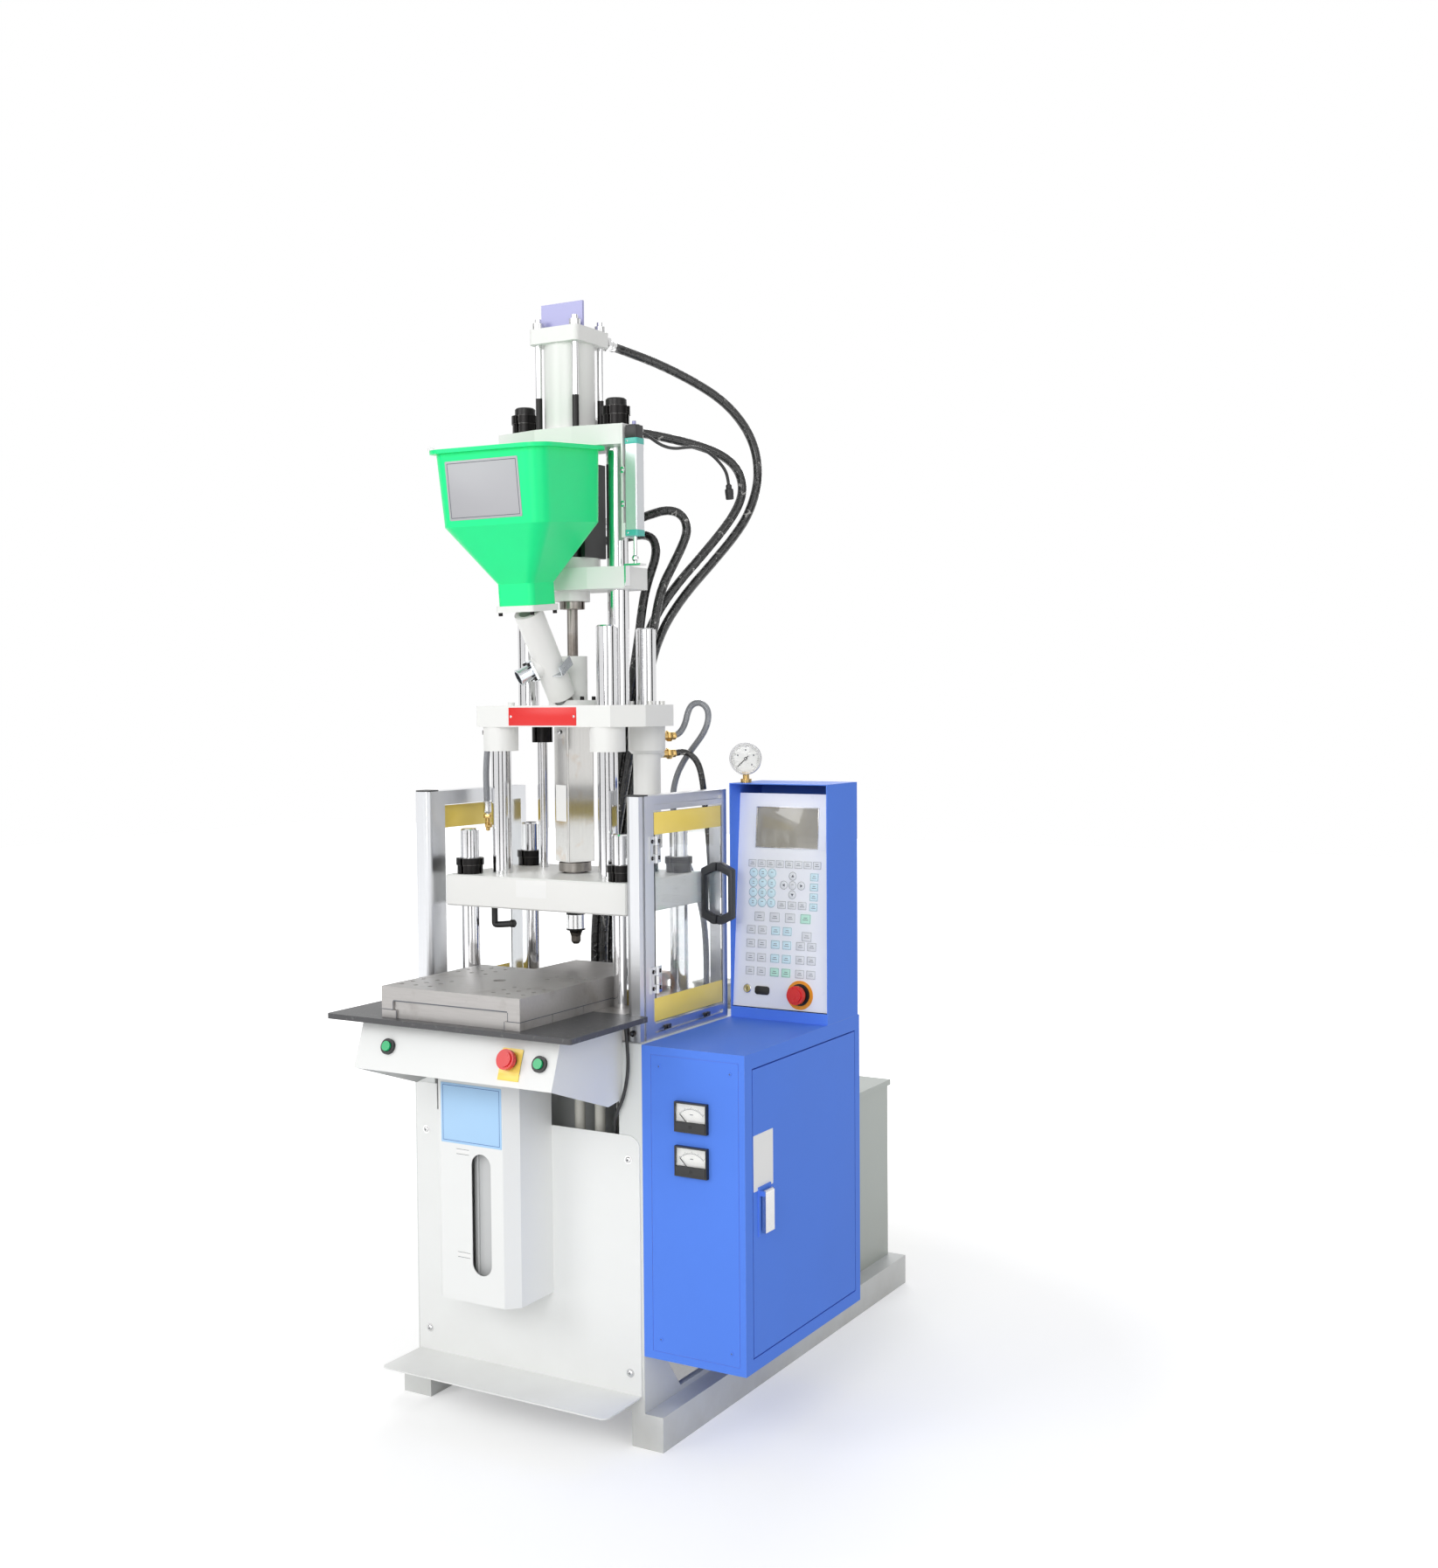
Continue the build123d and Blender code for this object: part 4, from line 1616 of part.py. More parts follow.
# Inner hose of the hydraulic motor
with BuildPart() as motor_hose_inner:
    hose("motor_hose_inner", motor_hose_inner_points, hose_d)
motor_hose_inner.part.label = "motor_hose_inner"
export_step(motor_hose_inner.part, "parts/motor_hose_inner.step")

# Transducer's cable
with BuildPart() as transducer_cable:
    hose("transducer_cable", transducer_cable_points, cable_d)
transducer_cable.part.label = "transducer_cable"
export_step(transducer_cable.part, "parts/transducer_cable.step")

# Seat cylinder's upper hose
with BuildPart() as seat_hose_high:
    hose("seat_hose_high", seat_hose_high_points, seat_hose_d)
seat_hose_high.part.label = "seat_hose_high"
export_step(seat_hose_high.part, "parts/seat_hose_high.step")

# Seat cylinder's lower hose
with BuildPart() as seat_hose_low:
    hose("seat_hose_low", seat_hose_low_points, seat_hose_d)
seat_hose_low.part.label = "seat_hose_low"
export_step(seat_hose_low.part, "parts/seat_hose_low.step")

# Cooling hose hanging from the carriage plate
with BuildPart() as cooling_hose:
    hose("cooling_hose", cooling_hose_points, seat_hose_d)
cooling_hose.part.label = "cooling_hose"
export_step(cooling_hose.part, "parts/cooling_hose.step")

# Console's cable
with BuildPart() as console_cable:
    hose("console_cable", console_cable_points, cable_d)
console_cable.part.label = "console_cable"
export_step(console_cable.part, "parts/console_cable.step")
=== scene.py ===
"""Looks of a vertical injection moulding machine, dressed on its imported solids."""

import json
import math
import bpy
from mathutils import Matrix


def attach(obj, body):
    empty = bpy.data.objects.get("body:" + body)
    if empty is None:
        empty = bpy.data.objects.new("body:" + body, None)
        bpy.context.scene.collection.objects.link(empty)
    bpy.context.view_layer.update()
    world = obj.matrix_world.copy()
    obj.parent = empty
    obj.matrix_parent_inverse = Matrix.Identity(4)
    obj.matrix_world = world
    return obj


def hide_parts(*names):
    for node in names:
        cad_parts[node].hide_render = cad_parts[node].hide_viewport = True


bl_info = {
    "name": "Moulding machine looks",
    "version": (1, 0, 0),
    "blender": (4, 5, 0),
    "location": "View3D > Sidebar > Machine",
    "description": "Finishes, hoses, plates and instruments of a vertical moulding machine",
    "category": "Object",
}

import bmesh
import bpy
from mathutils import Matrix, Vector

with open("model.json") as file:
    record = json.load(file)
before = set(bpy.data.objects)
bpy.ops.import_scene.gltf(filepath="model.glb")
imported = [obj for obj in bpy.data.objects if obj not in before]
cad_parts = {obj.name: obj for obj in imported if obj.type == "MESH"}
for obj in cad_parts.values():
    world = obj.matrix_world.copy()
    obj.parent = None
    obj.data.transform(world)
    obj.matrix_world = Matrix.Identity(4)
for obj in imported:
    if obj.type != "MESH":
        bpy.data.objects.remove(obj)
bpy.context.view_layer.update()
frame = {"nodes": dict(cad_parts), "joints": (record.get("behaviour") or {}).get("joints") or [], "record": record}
nodes = frame["nodes"]
slot_of = {p["node"]: p["material_slot"] for p in frame["record"]["subparts"]}
joint_of = {j["name"]: j for j in frame["joints"]}
MM = 0.001
BEVEL_ABOVE = math.radians(50)
SHARP_ABOVE = math.radians(34)
BEVEL_STEPS = 2
axis_place = Vector((joint_of["screw_spin"]["pos_m"][0], joint_of["screw_spin"]["pos_m"][1], 0.0))


def colour(title, about, default):
    """A colour that a user can change."""
    return bpy.props.FloatVectorProperty(name=title, description=about, default=default, subtype="COLOR",
                                         size=3, min=0.0, max=1.0)


def length(title, about, default):
    """A length that a user can change."""
    return bpy.props.FloatProperty(name=title, description=about, default=default, subtype="DISTANCE",
                                   unit="LENGTH")


def angle(title, about, degrees):
    """An angle that a user can change."""
    return bpy.props.FloatProperty(name=title, description=about, default=math.radians(degrees),
                                   subtype="ANGLE")


class MachineColours(bpy.types.PropertyGroup):
    """Colours that a user would change."""
    white: colour("White paint", "Plates of the clamp and the injection unit", (0.84, 0.84, 0.82))
    cover: colour("Cover paint", "Front cover, clamp cover and console", (0.85, 0.86, 0.85))
    body: colour("Body paint", "Welded body and floor beams", (0.74, 0.76, 0.75))
    tank: colour("Tank paint", "Oil tank at the back", (0.48, 0.52, 0.48))
    cream: colour("Pump paint", "Pump, motor and valve block", (0.62, 0.61, 0.55))
    blue: colour("Cabinet blue", "Cabinet, door and control box", (0.105, 0.250, 0.860))
    hopper: colour("Hopper green", "Moulded hopper", (0.014, 0.900, 0.300))
    red: colour("Plate red", "Bare plate on the carriage", (0.78, 0.020, 0.018))
    yellow: colour("Strip yellow", "Strips on the guard sheets and the switch plate", (1.00, 0.76, 0.150))
    orange: colour("Ring orange", "Ring under the panel's stop button", (0.90, 0.33, 0.02))
    teal: colour("Teal caps", "End caps of the position transducer", (0.08, 0.52, 0.44))
    pale_blue: colour("Pale blue plate", "Bare plate on the clamp cover", (0.42, 0.66, 0.93))
    lavender: colour("Lavender plate", "Upright plate on the injection cylinder", (0.42, 0.42, 0.72))
    key_blue: colour("Pale cyan keys", "Number keys and some of the function keys", (0.70, 0.90, 0.97))
    key_green: colour("Pale green keys", "Keys that start a motion", (0.56, 0.88, 0.74))
    floor: colour("Floor", "Studio floor", (0.86, 0.86, 0.86))


class MachineSizes(bpy.types.PropertyGroup):
    """Sizes that a user would change."""
    plate: length("Plate thickness", "Thickness of the bare plates and labels", 0.0010)
    film: length("Film thickness", "Thickness of strips and printed films", 0.0004)
    key_rise: length("Key rise", "How far a key stands out of the keypad", 0.0010)
    screw: length("Screw head", "Diameter of the cover screws' heads", 0.0120)
    ferrule: length("Ferrule length", "Length of a hose's crimped end", 0.0340)
    lens: bpy.props.FloatProperty(name="Lens", description="Focal length in millimetres", default=40.2,
                                  min=10.0)
    camera: bpy.props.FloatVectorProperty(name="Camera", description="Where the camera stands",
                                          default=(2.0616, -3.3782, 1.5000), subtype="TRANSLATION",
                                          unit="LENGTH", size=3)
    turn: angle("Camera turn", "Turn to the left of straight back", 30.0994)
    pitch: angle("Camera pitch", "Lean below the horizon", 2.6393)
    roll: angle("Camera roll", "Roll about the line of sight", 0.43275)


def spot(x, y, z):
    """A point in metres, given in millimetres from the injection axis and the floor."""
    return axis_place + Vector((x, y, z)) * MM


def facing(place, right, up):
    """A frame on a face: its x axis to the right, y axis up, z axis out of the face."""
    x = Vector(right).normalized()
    y = Vector(up)
    z = x.cross(y).normalized()
    y = z.cross(x)
    turned = Matrix((x, y, z)).transposed().to_4x4()
    turned.translation = place
    return turned


def front(x, y, z):
    """A frame on a face that looks to the front."""
    return facing(spot(x, y, z), (1, 0, 0), (0, 0, 1))


def right_side(x, y, z):
    """A frame on a face that looks to the right."""
    return facing(spot(x, y, z), (0, 1, 0), (0, 0, 1))


def upward(x, y, z):
    """A frame on a face that looks up."""
    return facing(spot(x, y, z), (1, 0, 0), (0, 1, 0))


def shifted(place, x=0.0, y=0.0, z=0.0, turn=0.0):
    """A frame moved in its own axes, in millimetres, and turned about its z axis."""
    return place @ Matrix.Translation(Vector((x, y, z)) * MM) @ Matrix.Rotation(turn, 4, "Z")


def along(place, out):
    """A frame whose z axis points along out."""
    turned = Vector(out).to_track_quat("Z", "Y").to_matrix().to_4x4()
    turned.translation = place
    return turned


def corners(x, y):
    """The four corners of a rectangle about its centre."""
    return [(-x, -y), (-x, y), (x, -y), (x, y)]


def rounded(width, height, radius, steps=5):
    """Outline of a rectangle with rounded corners, about its centre."""
    points = []
    for corner, (sx, sy) in enumerate(((1, 1), (-1, 1), (-1, -1), (1, -1))):
        for step in range(steps + 1):
            turn = math.pi / 2 * (corner + step / steps)
            points.append((sx * (width / 2 - radius) + radius * math.cos(turn),
                           sy * (height / 2 - radius) + radius * math.sin(turn)))
    return points


class Form:
    """A piece under way: solids in millimetres on their own frames, each with its finish."""

    def __init__(self, name):
        self.name = name
        self.mesh = bmesh.new()
        self.finishes = []

    def _index(self, finish):
        """The finish's place among the piece's materials."""
        if finish not in self.finishes:
            self.finishes.append(finish)
        return self.finishes.index(finish)

    def _add(self, place, points, faces, finish, bevel=0.0):
        """Joins a closed shape to the piece, with its sharp edges bevelled."""
        made = bmesh.new()
        verts = [made.verts.new(Vector(p) * MM) for p in points]
        for face in faces:
            made.faces.new([verts[i] for i in face])
        bmesh.ops.recalc_face_normals(made, faces=made.faces)
        if bevel:
            keen = [e for e in made.edges if e.calc_face_angle(0) > BEVEL_ABOVE]
            bmesh.ops.bevel(made, geom=keen, offset=bevel * MM, segments=BEVEL_STEPS, profile=0.5,
                            affect="EDGES")
        made.transform(place)
        index = self._index(finish)
        for face in made.faces:
            face.material_index = index
            face.smooth = True
        held = bpy.data.meshes.new("held")
        made.to_mesh(held)
        made.free()
        self.mesh.from_mesh(held)
        bpy.data.meshes.remove(held)

    def sheet(self, place, outline, low, high, finish, bevel=0.0):
        """An outline raised from low to high along the frame's z axis."""
        count = len(outline)
        points = [(x, y, low) for x, y in outline] + [(x, y, high) for x, y in outline]
        faces = [tuple(range(count))[::-1], tuple(range(count, 2 * count))]
        faces += [(i, (i + 1) % count, (i + 1) % count + count, i + count) for i in range(count)]
        self._add(place, points, faces, finish, bevel)

    def slab(self, place, width, height, low, high, finish, bevel=0.5, middle=(0, 0)):
        """A block about the frame's origin, from low to high."""
        x, y = middle
        outline = [(x - width / 2, y - height / 2), (x + width / 2, y - height / 2),
                   (x + width / 2, y + height / 2), (x - width / 2, y + height / 2)]
        self.sheet(place, outline, low, high, finish, bevel)

    def border(self, place, width, height, inset, line, low, high, finish, bevel=0.05):
        """Four thin lines inside a plate's edge."""
        for side in (-1, 1):
            self.slab(place, width - 2 * inset, line, low, high, finish, bevel,
                      (0, side * (height / 2 - inset)))
            self.slab(place, line, height - 2 * inset, low, high, finish, bevel,
                      (side * (width / 2 - inset), 0))

    def turned(self, place, profile, finish, steps=36, phase=0.0, loop=False):
        """A lathe-turned form: pairs of radius and height along the frame's z axis; a loop has no ends."""
        points, faces, rings = [], [], []
        for radius, height in profile:
            if radius == 0:
                rings.append([len(points)])
                points.append((0, 0, height))
                continue
            rings.append(list(range(len(points), len(points) + steps)))
            for i in range(steps):
                turn = 2 * math.pi * i / steps + phase
                points.append((radius * math.cos(turn), radius * math.sin(turn), height))
        for low, high in zip(rings, rings[1:] + rings[:1] if loop else rings[1:]):
            for i in range(steps):
                j = (i + 1) % steps
                if len(low) == 1:
                    faces.append((low[0], high[j], high[i]))
                elif len(high) == 1:
                    faces.append((low[i], low[j], high[0]))
                else:
                    faces.append((low[i], low[j], high[j], high[i]))
        for ring in (rings[0], rings[-1]):
            if len(ring) > 1 and not loop:
                faces.append(tuple(ring))
        self._add(place, points, faces, finish)

    def ring(self, place, outline, inner, low, high, finish):
        """A flat ring: an outline with a round hole of radius inner."""
        count = len(outline)
        points = []
        for height in (low, high):
            points += [(x, y, height) for x, y in outline]
            for x, y in outline:
                reach = math.hypot(x, y)
                points.append((x / reach * inner, y / reach * inner, height))
        faces = []
        for i in range(count):
            j = (i + 1) % count
            faces.append((i, j, count + j, count + i))
            faces.append((2 * count + i, 2 * count + j, 3 * count + j, 3 * count + i))
            faces.append((i, j, 2 * count + j, 2 * count + i))
            faces.append((count + i, count + j, 3 * count + j, 3 * count + i))
        self._add(place, points, faces, finish)

    def socket_screw(self, place, diameter, height, finish, dark):
        """A cap screw's head with its hexagon socket, whose floor is a disc in the finish dark: painted shade of
        the socket.
        """
        r, chamfer, deep = diameter / 2, 0.6, 0.4
        self.turned(place, [(r, 0), (r, height - chamfer), (r - chamfer, height), (r * 0.56, height),
                            (r * 0.5, height - deep), (0, height - deep)], finish, 24)
        self.turned(place, [(r * 0.48, height - deep + 0.02), (0, height - deep + 0.04)], dark, 6)

    def pan_screw(self, place, diameter, finish, dark):
        """A domed screw head with a crossed recess, drawn as a thin cross in the finish dark; a dark cross is
        painted shade of the recess.
        """
        r = diameter / 2
        dome = [(1, 0), (0.94, 0.22), (0.7, 0.42), (0.3, 0.52), (0, 0.54)]
        self.turned(place, [(r * x, r * z) for x, z in dome], finish, 24)
        long, short = r * 0.9, r * 0.22
        for width, height in ((long, short), (short, long)):
            self.slab(place, width, height, r * 0.5, r * 0.56, dark, 0)

    def hexagon(self, place, across, low, high, finish, phase=0.0):
        """A hexagonal nut with chamfered ends."""
        r = across / 2 / math.cos(math.pi / 6)
        cut, neck = (high - low) * 0.12, r * 0.93
        self.turned(place, [(neck, low), (r, low + cut), (r, high - cut), (neck, high)], finish, 6, phase)

    def ride(self, body, slot):
        """Makes the object, and lets it move with a body."""
        data = bpy.data.meshes.new(self.name)
        self.mesh.to_mesh(data)
        self.mesh.free()
        for finish in self.finishes:
            data.materials.append(finish)
        piece = bpy.data.objects.new(self.name, data)
        bpy.context.scene.collection.objects.link(piece)
        data.set_sharp_from_angle(angle=SHARP_ABOVE)
        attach(piece, body)
        return piece


def group_start(name, inputs, outputs):
    """An empty shader node group with its sockets, and its two end nodes."""
    group = bpy.data.node_groups.new(name, "ShaderNodeTree")
    kinds = {"colour": "NodeSocketColor", "value": "NodeSocketFloat", "vector": "NodeSocketVector"}
    for title, kind, default in inputs:
        socket = group.interface.new_socket(name=title, in_out="INPUT", socket_type=kinds[kind])
        socket.default_value = default
    for title, kind in outputs:
        group.interface.new_socket(name=title, in_out="OUTPUT", socket_type=kinds[kind])
    return group, group.nodes.new("NodeGroupInput"), group.nodes.new("NodeGroupOutput")


def node(tree, kind, **settings):
    """A node with its settings; inputs are given by socket name with spaces as underscores."""
    made = tree.nodes.new("ShaderNode" + kind)
    for key, value in settings.items():
        title = key.replace("_", " ")
        if title in made.inputs and not hasattr(made, key):
            made.inputs[title].default_value = value
        else:
            setattr(made, key, value)
    return made


def maths(tree, operation, first, second=None):
    """A maths node; each of its two inputs is a socket or a number."""
    made = node(tree, "Math", operation=operation)
    for index, value in enumerate((first, second)):
        if isinstance(value, bpy.types.NodeSocket):
            tree.links.new(value, made.inputs[index])
        elif value is not None:
            made.inputs[index].default_value = value
    return made.outputs[0]


def mixed(tree, share, first, second):
    """A colour mix; the share and both colours are sockets or values."""
    made = node(tree, "Mix", data_type="RGBA")
    for index, value in ((0, share), (6, first), (7, second)):
        if isinstance(value, bpy.types.NodeSocket):
            tree.links.new(value, made.inputs[index])
        elif index == 0:
            made.inputs[index].default_value = value
        else:
            made.inputs[index].default_value = (*value[:3], 1.0)
    return made.outputs[2]


def noise_of(tree, scale, detail=4.0, stretch=None, roughness=0.55):
    """Noise in object space; scale and stretch are sockets or values."""
    place = node(tree, "TexCoord").outputs["Object"]
    if stretch is not None:
        scaled = node(tree, "VectorMath", operation="MULTIPLY")
        tree.links.new(place, scaled.inputs[0])
        if isinstance(stretch, bpy.types.NodeSocket):
            tree.links.new(stretch, scaled.inputs[1])
        else:
            scaled.inputs[1].default_value = stretch
        place = scaled.outputs[0]
    made = node(tree, "TexNoise", Detail=detail, Roughness=roughness)
    tree.links.new(place, made.inputs["Vector"])
    if isinstance(scale, bpy.types.NodeSocket):
        tree.links.new(scale, made.inputs["Scale"])
    else:
        made.inputs["Scale"].default_value = scale
    return made.outputs["Fac"]


def build_groups():
    """Shader effects that several finishes share."""
    white, black, even = (1, 1, 1, 1), (0, 0, 0, 1), (1, 1, 1)

    # Faint clouds in a colour and in its gloss
    group, start, end = group_start(
        "Cloudy tone",
        [("Colour", "colour", white), ("Scale", "value", 5.0), ("Tone", "value", 0.05),
         ("Roughness", "value", 0.4), ("Spread", "value", 0.08)],
        [("Colour", "colour"), ("Roughness", "value")])
    cloud = maths(group, "SUBTRACT", noise_of(group, start.outputs["Scale"], 5.0), 0.5)
    tone = maths(group, "ADD", maths(group, "MULTIPLY", cloud, start.outputs["Tone"]), 1.0)
    shade = node(group, "HueSaturation")
    group.links.new(start.outputs["Colour"], shade.inputs["Color"])
    group.links.new(tone, shade.inputs["Value"])
    group.links.new(shade.outputs["Color"], end.inputs["Colour"])
    spread = maths(group, "MULTIPLY", cloud, start.outputs["Spread"])
    group.links.new(maths(group, "ADD", spread, start.outputs["Roughness"]), end.inputs["Roughness"])

    # Height of orange peel or a moulded grain
    group, start, end = group_start(
        "Fine texture",
        [("Scale", "value", 900.0), ("Stretch", "vector", even)],
        [("Height", "value")])
    grain = noise_of(group, start.outputs["Scale"], 2.0, start.outputs["Stretch"])
    group.links.new(grain, end.inputs["Height"])

    # Lines that a grinder or a die leaves
    group, start, end = group_start(
        "Ground lines",
        [("Colour", "colour", white), ("Scale", "value", 30.0), ("Stretch", "vector", even),
         ("Strength", "value", 0.2), ("Roughness", "value", 0.3)],
        [("Colour", "colour"), ("Roughness", "value"), ("Height", "value")])
    lines = noise_of(group, start.outputs["Scale"], 3.0, start.outputs["Stretch"], 0.7)
    drift = maths(group, "MULTIPLY", maths(group, "SUBTRACT", lines, 0.5), start.outputs["Strength"])
    shade = node(group, "HueSaturation")
    group.links.new(start.outputs["Colour"], shade.inputs["Color"])
    group.links.new(maths(group, "ADD", drift, 1.0), shade.inputs["Value"])
    group.links.new(shade.outputs["Color"], end.inputs["Colour"])
    group.links.new(maths(group, "ADD", drift, start.outputs["Roughness"]), end.inputs["Roughness"])
    group.links.new(lines, end.inputs["Height"])

    # Stains with soft edges
    group, start, end = group_start(
        "Blotches",
        [("Colour", "colour", white), ("Stain", "colour", black), ("Scale", "value", 20.0),
         ("Cover", "value", 0.5), ("Softness", "value", 0.15)],
        [("Colour", "colour"), ("Mask", "value")])
    spread = node(group, "MapRange")
    group.links.new(noise_of(group, start.outputs["Scale"], 6.0), spread.inputs["Value"])
    edge = maths(group, "SUBTRACT", 1.0, start.outputs["Cover"])
    group.links.new(edge, spread.inputs["From Min"])
    group.links.new(maths(group, "ADD", edge, start.outputs["Softness"]), spread.inputs["From Max"])
    stained = mixed(group, spread.outputs[0], start.outputs["Colour"], start.outputs["Stain"])
    group.links.new(stained, end.inputs["Colour"])
    group.links.new(spread.outputs[0], end.inputs["Mask"])

    # Bare metal where an edge is rubbed
    group, start, end = group_start(
        "Edge rub",
        [("Colour", "colour", white), ("Bare", "colour", white), ("Width", "value", 0.0015),
         ("Amount", "value", 0.5)],
        [("Colour", "colour"), ("Mask", "value")])
    soft = node(group, "Bevel", samples=4)
    group.links.new(start.outputs["Width"], soft.inputs["Radius"])
    square = node(group, "VectorMath", operation="DOT_PRODUCT")
    group.links.new(soft.outputs[0], square.inputs[0])
    group.links.new(node(group, "NewGeometry").outputs["Normal"], square.inputs[1])
    bend = maths(group, "MULTIPLY", maths(group, "SUBTRACT", 1.0, square.outputs["Value"]), 6.0)
    broken = maths(group, "MULTIPLY", bend, noise_of(group, 60.0, 5.0))
    mask = node(group, "Clamp")
    group.links.new(maths(group, "MULTIPLY", broken, start.outputs["Amount"]), mask.inputs[0])
    rubbed = mixed(group, mask.outputs[0], start.outputs["Colour"], start.outputs["Bare"])
    group.links.new(rubbed, end.inputs["Colour"])
    group.links.new(mask.outputs[0], end.inputs["Mask"])

    # Dust that fades with the height above the floor
    group, start, end = group_start(
        "Floor dust",
        [("Colour", "colour", white), ("Dust", "colour", white), ("Height", "value", 0.25),
         ("Amount", "value", 0.3)],
        [("Colour", "colour")])
    split = node(group, "SeparateXYZ")
    group.links.new(node(group, "TexCoord").outputs["Object"], split.inputs[0])
    fade = node(group, "MapRange", To_Min=1.0, To_Max=0.0)
    group.links.new(split.outputs["Z"], fade.inputs["Value"])
    group.links.new(start.outputs["Height"], fade.inputs["From Max"])
    patches = maths(group, "MULTIPLY", fade.outputs[0], noise_of(group, 12.0, 6.0))
    share = maths(group, "MULTIPLY", patches, start.outputs["Amount"])
    dusty = mixed(group, share, start.outputs["Colour"], start.outputs["Dust"])
    group.links.new(dusty, end.inputs["Colour"])

    # Mask of an upright box
    group, start, end = group_start(
        "Box region",
        [("Centre", "vector", (0, 0, 0)), ("Half", "vector", even)],
        [("Mask", "value")])
    away = node(group, "VectorMath", operation="SUBTRACT")
    group.links.new(node(group, "TexCoord").outputs["Object"], away.inputs[0])
    group.links.new(start.outputs["Centre"], away.inputs[1])
    size = node(group, "VectorMath", operation="ABSOLUTE")
    group.links.new(away.outputs[0], size.inputs[0])
    over = node(group, "VectorMath", operation="SUBTRACT")
    group.links.new(size.outputs[0], over.inputs[0])
    group.links.new(start.outputs["Half"], over.inputs[1])
    split = node(group, "SeparateXYZ")
    group.links.new(over.outputs[0], split.inputs[0])
    wider = maths(group, "MAXIMUM", split.outputs[0], split.outputs[1])
    widest = maths(group, "MAXIMUM", wider, split.outputs[2])
    group.links.new(maths(group, "LESS_THAN", widest, 0.0), end.inputs["Mask"])

    # Folds of a clear film wrapped round a hose, and on some of the folds' crests a painted highlight where the
    # film would glint
    group, start, end = group_start(
        "Film wrinkle and painted glint",
        [("Scale", "value", 60.0)],
        [("Height", "value"), ("Painted glint", "value")])
    folds = node(group, "TexVoronoi", feature="DISTANCE_TO_EDGE")
    warp = noise_of(group, 25.0, 3.0)
    moved = node(group, "VectorMath", operation="ADD")
    group.links.new(node(group, "TexCoord").outputs["Object"], moved.inputs[0])
    spread = node(group, "VectorMath", operation="SCALE", Scale=0.03)
    made = node(group, "CombineXYZ")
    for index in range(3):
        group.links.new(warp, made.inputs[index])
    group.links.new(made.outputs[0], spread.inputs[0])
    group.links.new(spread.outputs[0], moved.inputs[1])
    group.links.new(moved.outputs[0], folds.inputs["Vector"])
    group.links.new(start.outputs["Scale"], folds.inputs["Scale"])
    crest = node(group, "MapRange", From_Max=0.12, To_Min=1.0, To_Max=0.0)
    group.links.new(folds.outputs["Distance"], crest.inputs["Value"])
    group.links.new(maths(group, "ADD", crest.outputs[0], noise_of(group, 140.0, 3.0)), end.inputs["Height"])
    patch = maths(group, "GREATER_THAN", noise_of(group, 38.0, 2.0), 0.64)
    group.links.new(maths(group, "MULTIPLY", crest.outputs[0], patch), end.inputs["Painted glint"])


class Finish:
    """A material under way: its shader and the chain of effects on its colour."""

    def __init__(self, name, tint, roughness=0.4, metallic=0.0, **sockets):
        self.material = bpy.data.materials.new(name)
        self.material.use_nodes = True
        self.tree = self.material.node_tree
        self.shader = self.tree.nodes["Principled BSDF"]
        self.shader.inputs["Base Color"].default_value = (*tint[:3], 1.0)
        self.shader.inputs["Roughness"].default_value = roughness
        self.shader.inputs["Metallic"].default_value = metallic
        self.material.diffuse_color = (*tint[:3], 1.0)
        for key, value in sockets.items():
            self.shader.inputs[key.replace("_", " ")].default_value = value
        self.tint = (*tint[:3], 1.0)
        self.end = None

    def group(self, title, **values):
        """Places a shared effect and feeds the colour so far into it."""
        made = self.tree.nodes.new("ShaderNodeGroup")
        made.node_tree = bpy.data.node_groups[title]
        for key, value in values.items():
            if isinstance(value, tuple) and made.inputs[key].type == "RGBA":
                value = (*value[:3], 1.0)
            made.inputs[key].default_value = value
        if "Colour" in made.inputs:
            if self.end is None:
                made.inputs["Colour"].default_value = self.tint
            else:
                self.tree.links.new(self.end, made.inputs["Colour"])
            self.end = made.outputs["Colour"]
            self.tree.links.new(self.end, self.shader.inputs["Base Color"])
        return made

    def rough(self, socket):
        """Takes the roughness from a socket."""
        self.tree.links.new(socket, self.shader.inputs["Roughness"])
        return self

    def bump(self, socket, strength, distance):
        """Takes the bumps from a socket's height."""
        made = node(self.tree, "Bump", Strength=strength, Distance=distance)
        self.tree.links.new(socket, made.inputs["Height"])
        self.tree.links.new(made.outputs[0], self.shader.inputs["Normal"])
        return self

    def region(self, low, high):
        """Mask of a box given by two corners in millimetres from the injection axis."""
        a, b = spot(*low), spot(*high)
        return self.group("Box region", Centre=tuple((a + b) / 2), Half=tuple((b - a) / 2)).outputs["Mask"]

    def zone(self, mask, tint, metallic=None, roughness=None):
        """Another finish where the mask is one."""
        self.end = mixed(self.tree, mask, self.end or self.tint, tint)
        self.tree.links.new(self.end, self.shader.inputs["Base Color"])
        for title, value in (("Metallic", metallic), ("Roughness", roughness)):
            if value is None:
                continue
            socket = self.shader.inputs[title]
            made = node(self.tree, "Mix", data_type="FLOAT")
            self.tree.links.new(mask, made.inputs[0])
            if socket.is_linked:
                self.tree.links.new(socket.links[0].from_socket, made.inputs[2])
            else:
                made.inputs[2].default_value = socket.default_value
            made.inputs[3].default_value = value
            self.tree.links.new(made.outputs[0], socket)
        return self


finishes = {}


def painted(name, tint, roughness, peel=(900.0, 0.10), tone=0.05, dust=0.0, chip=None, **sockets):
    """Sprayed paint: faint clouds, orange peel, floor dust and rubbed edges."""
    finish = Finish(name, tint, roughness, **sockets)
    cloud = finish.group("Cloudy tone", Scale=4.0, Tone=tone, Roughness=roughness, Spread=0.10)
    finish.rough(cloud.outputs["Roughness"])
    if chip:
        finish.group("Edge rub", Bare=chip, Width=0.0012, Amount=0.35)
    if dust:
        finish.group("Floor dust", Dust=(0.34, 0.31, 0.27), Height=0.30, Amount=dust)
    finish.bump(finish.group("Fine texture", Scale=peel[0]).outputs["Height"], peel[1], 0.0004)
    finishes[name] = finish.material
    return finish


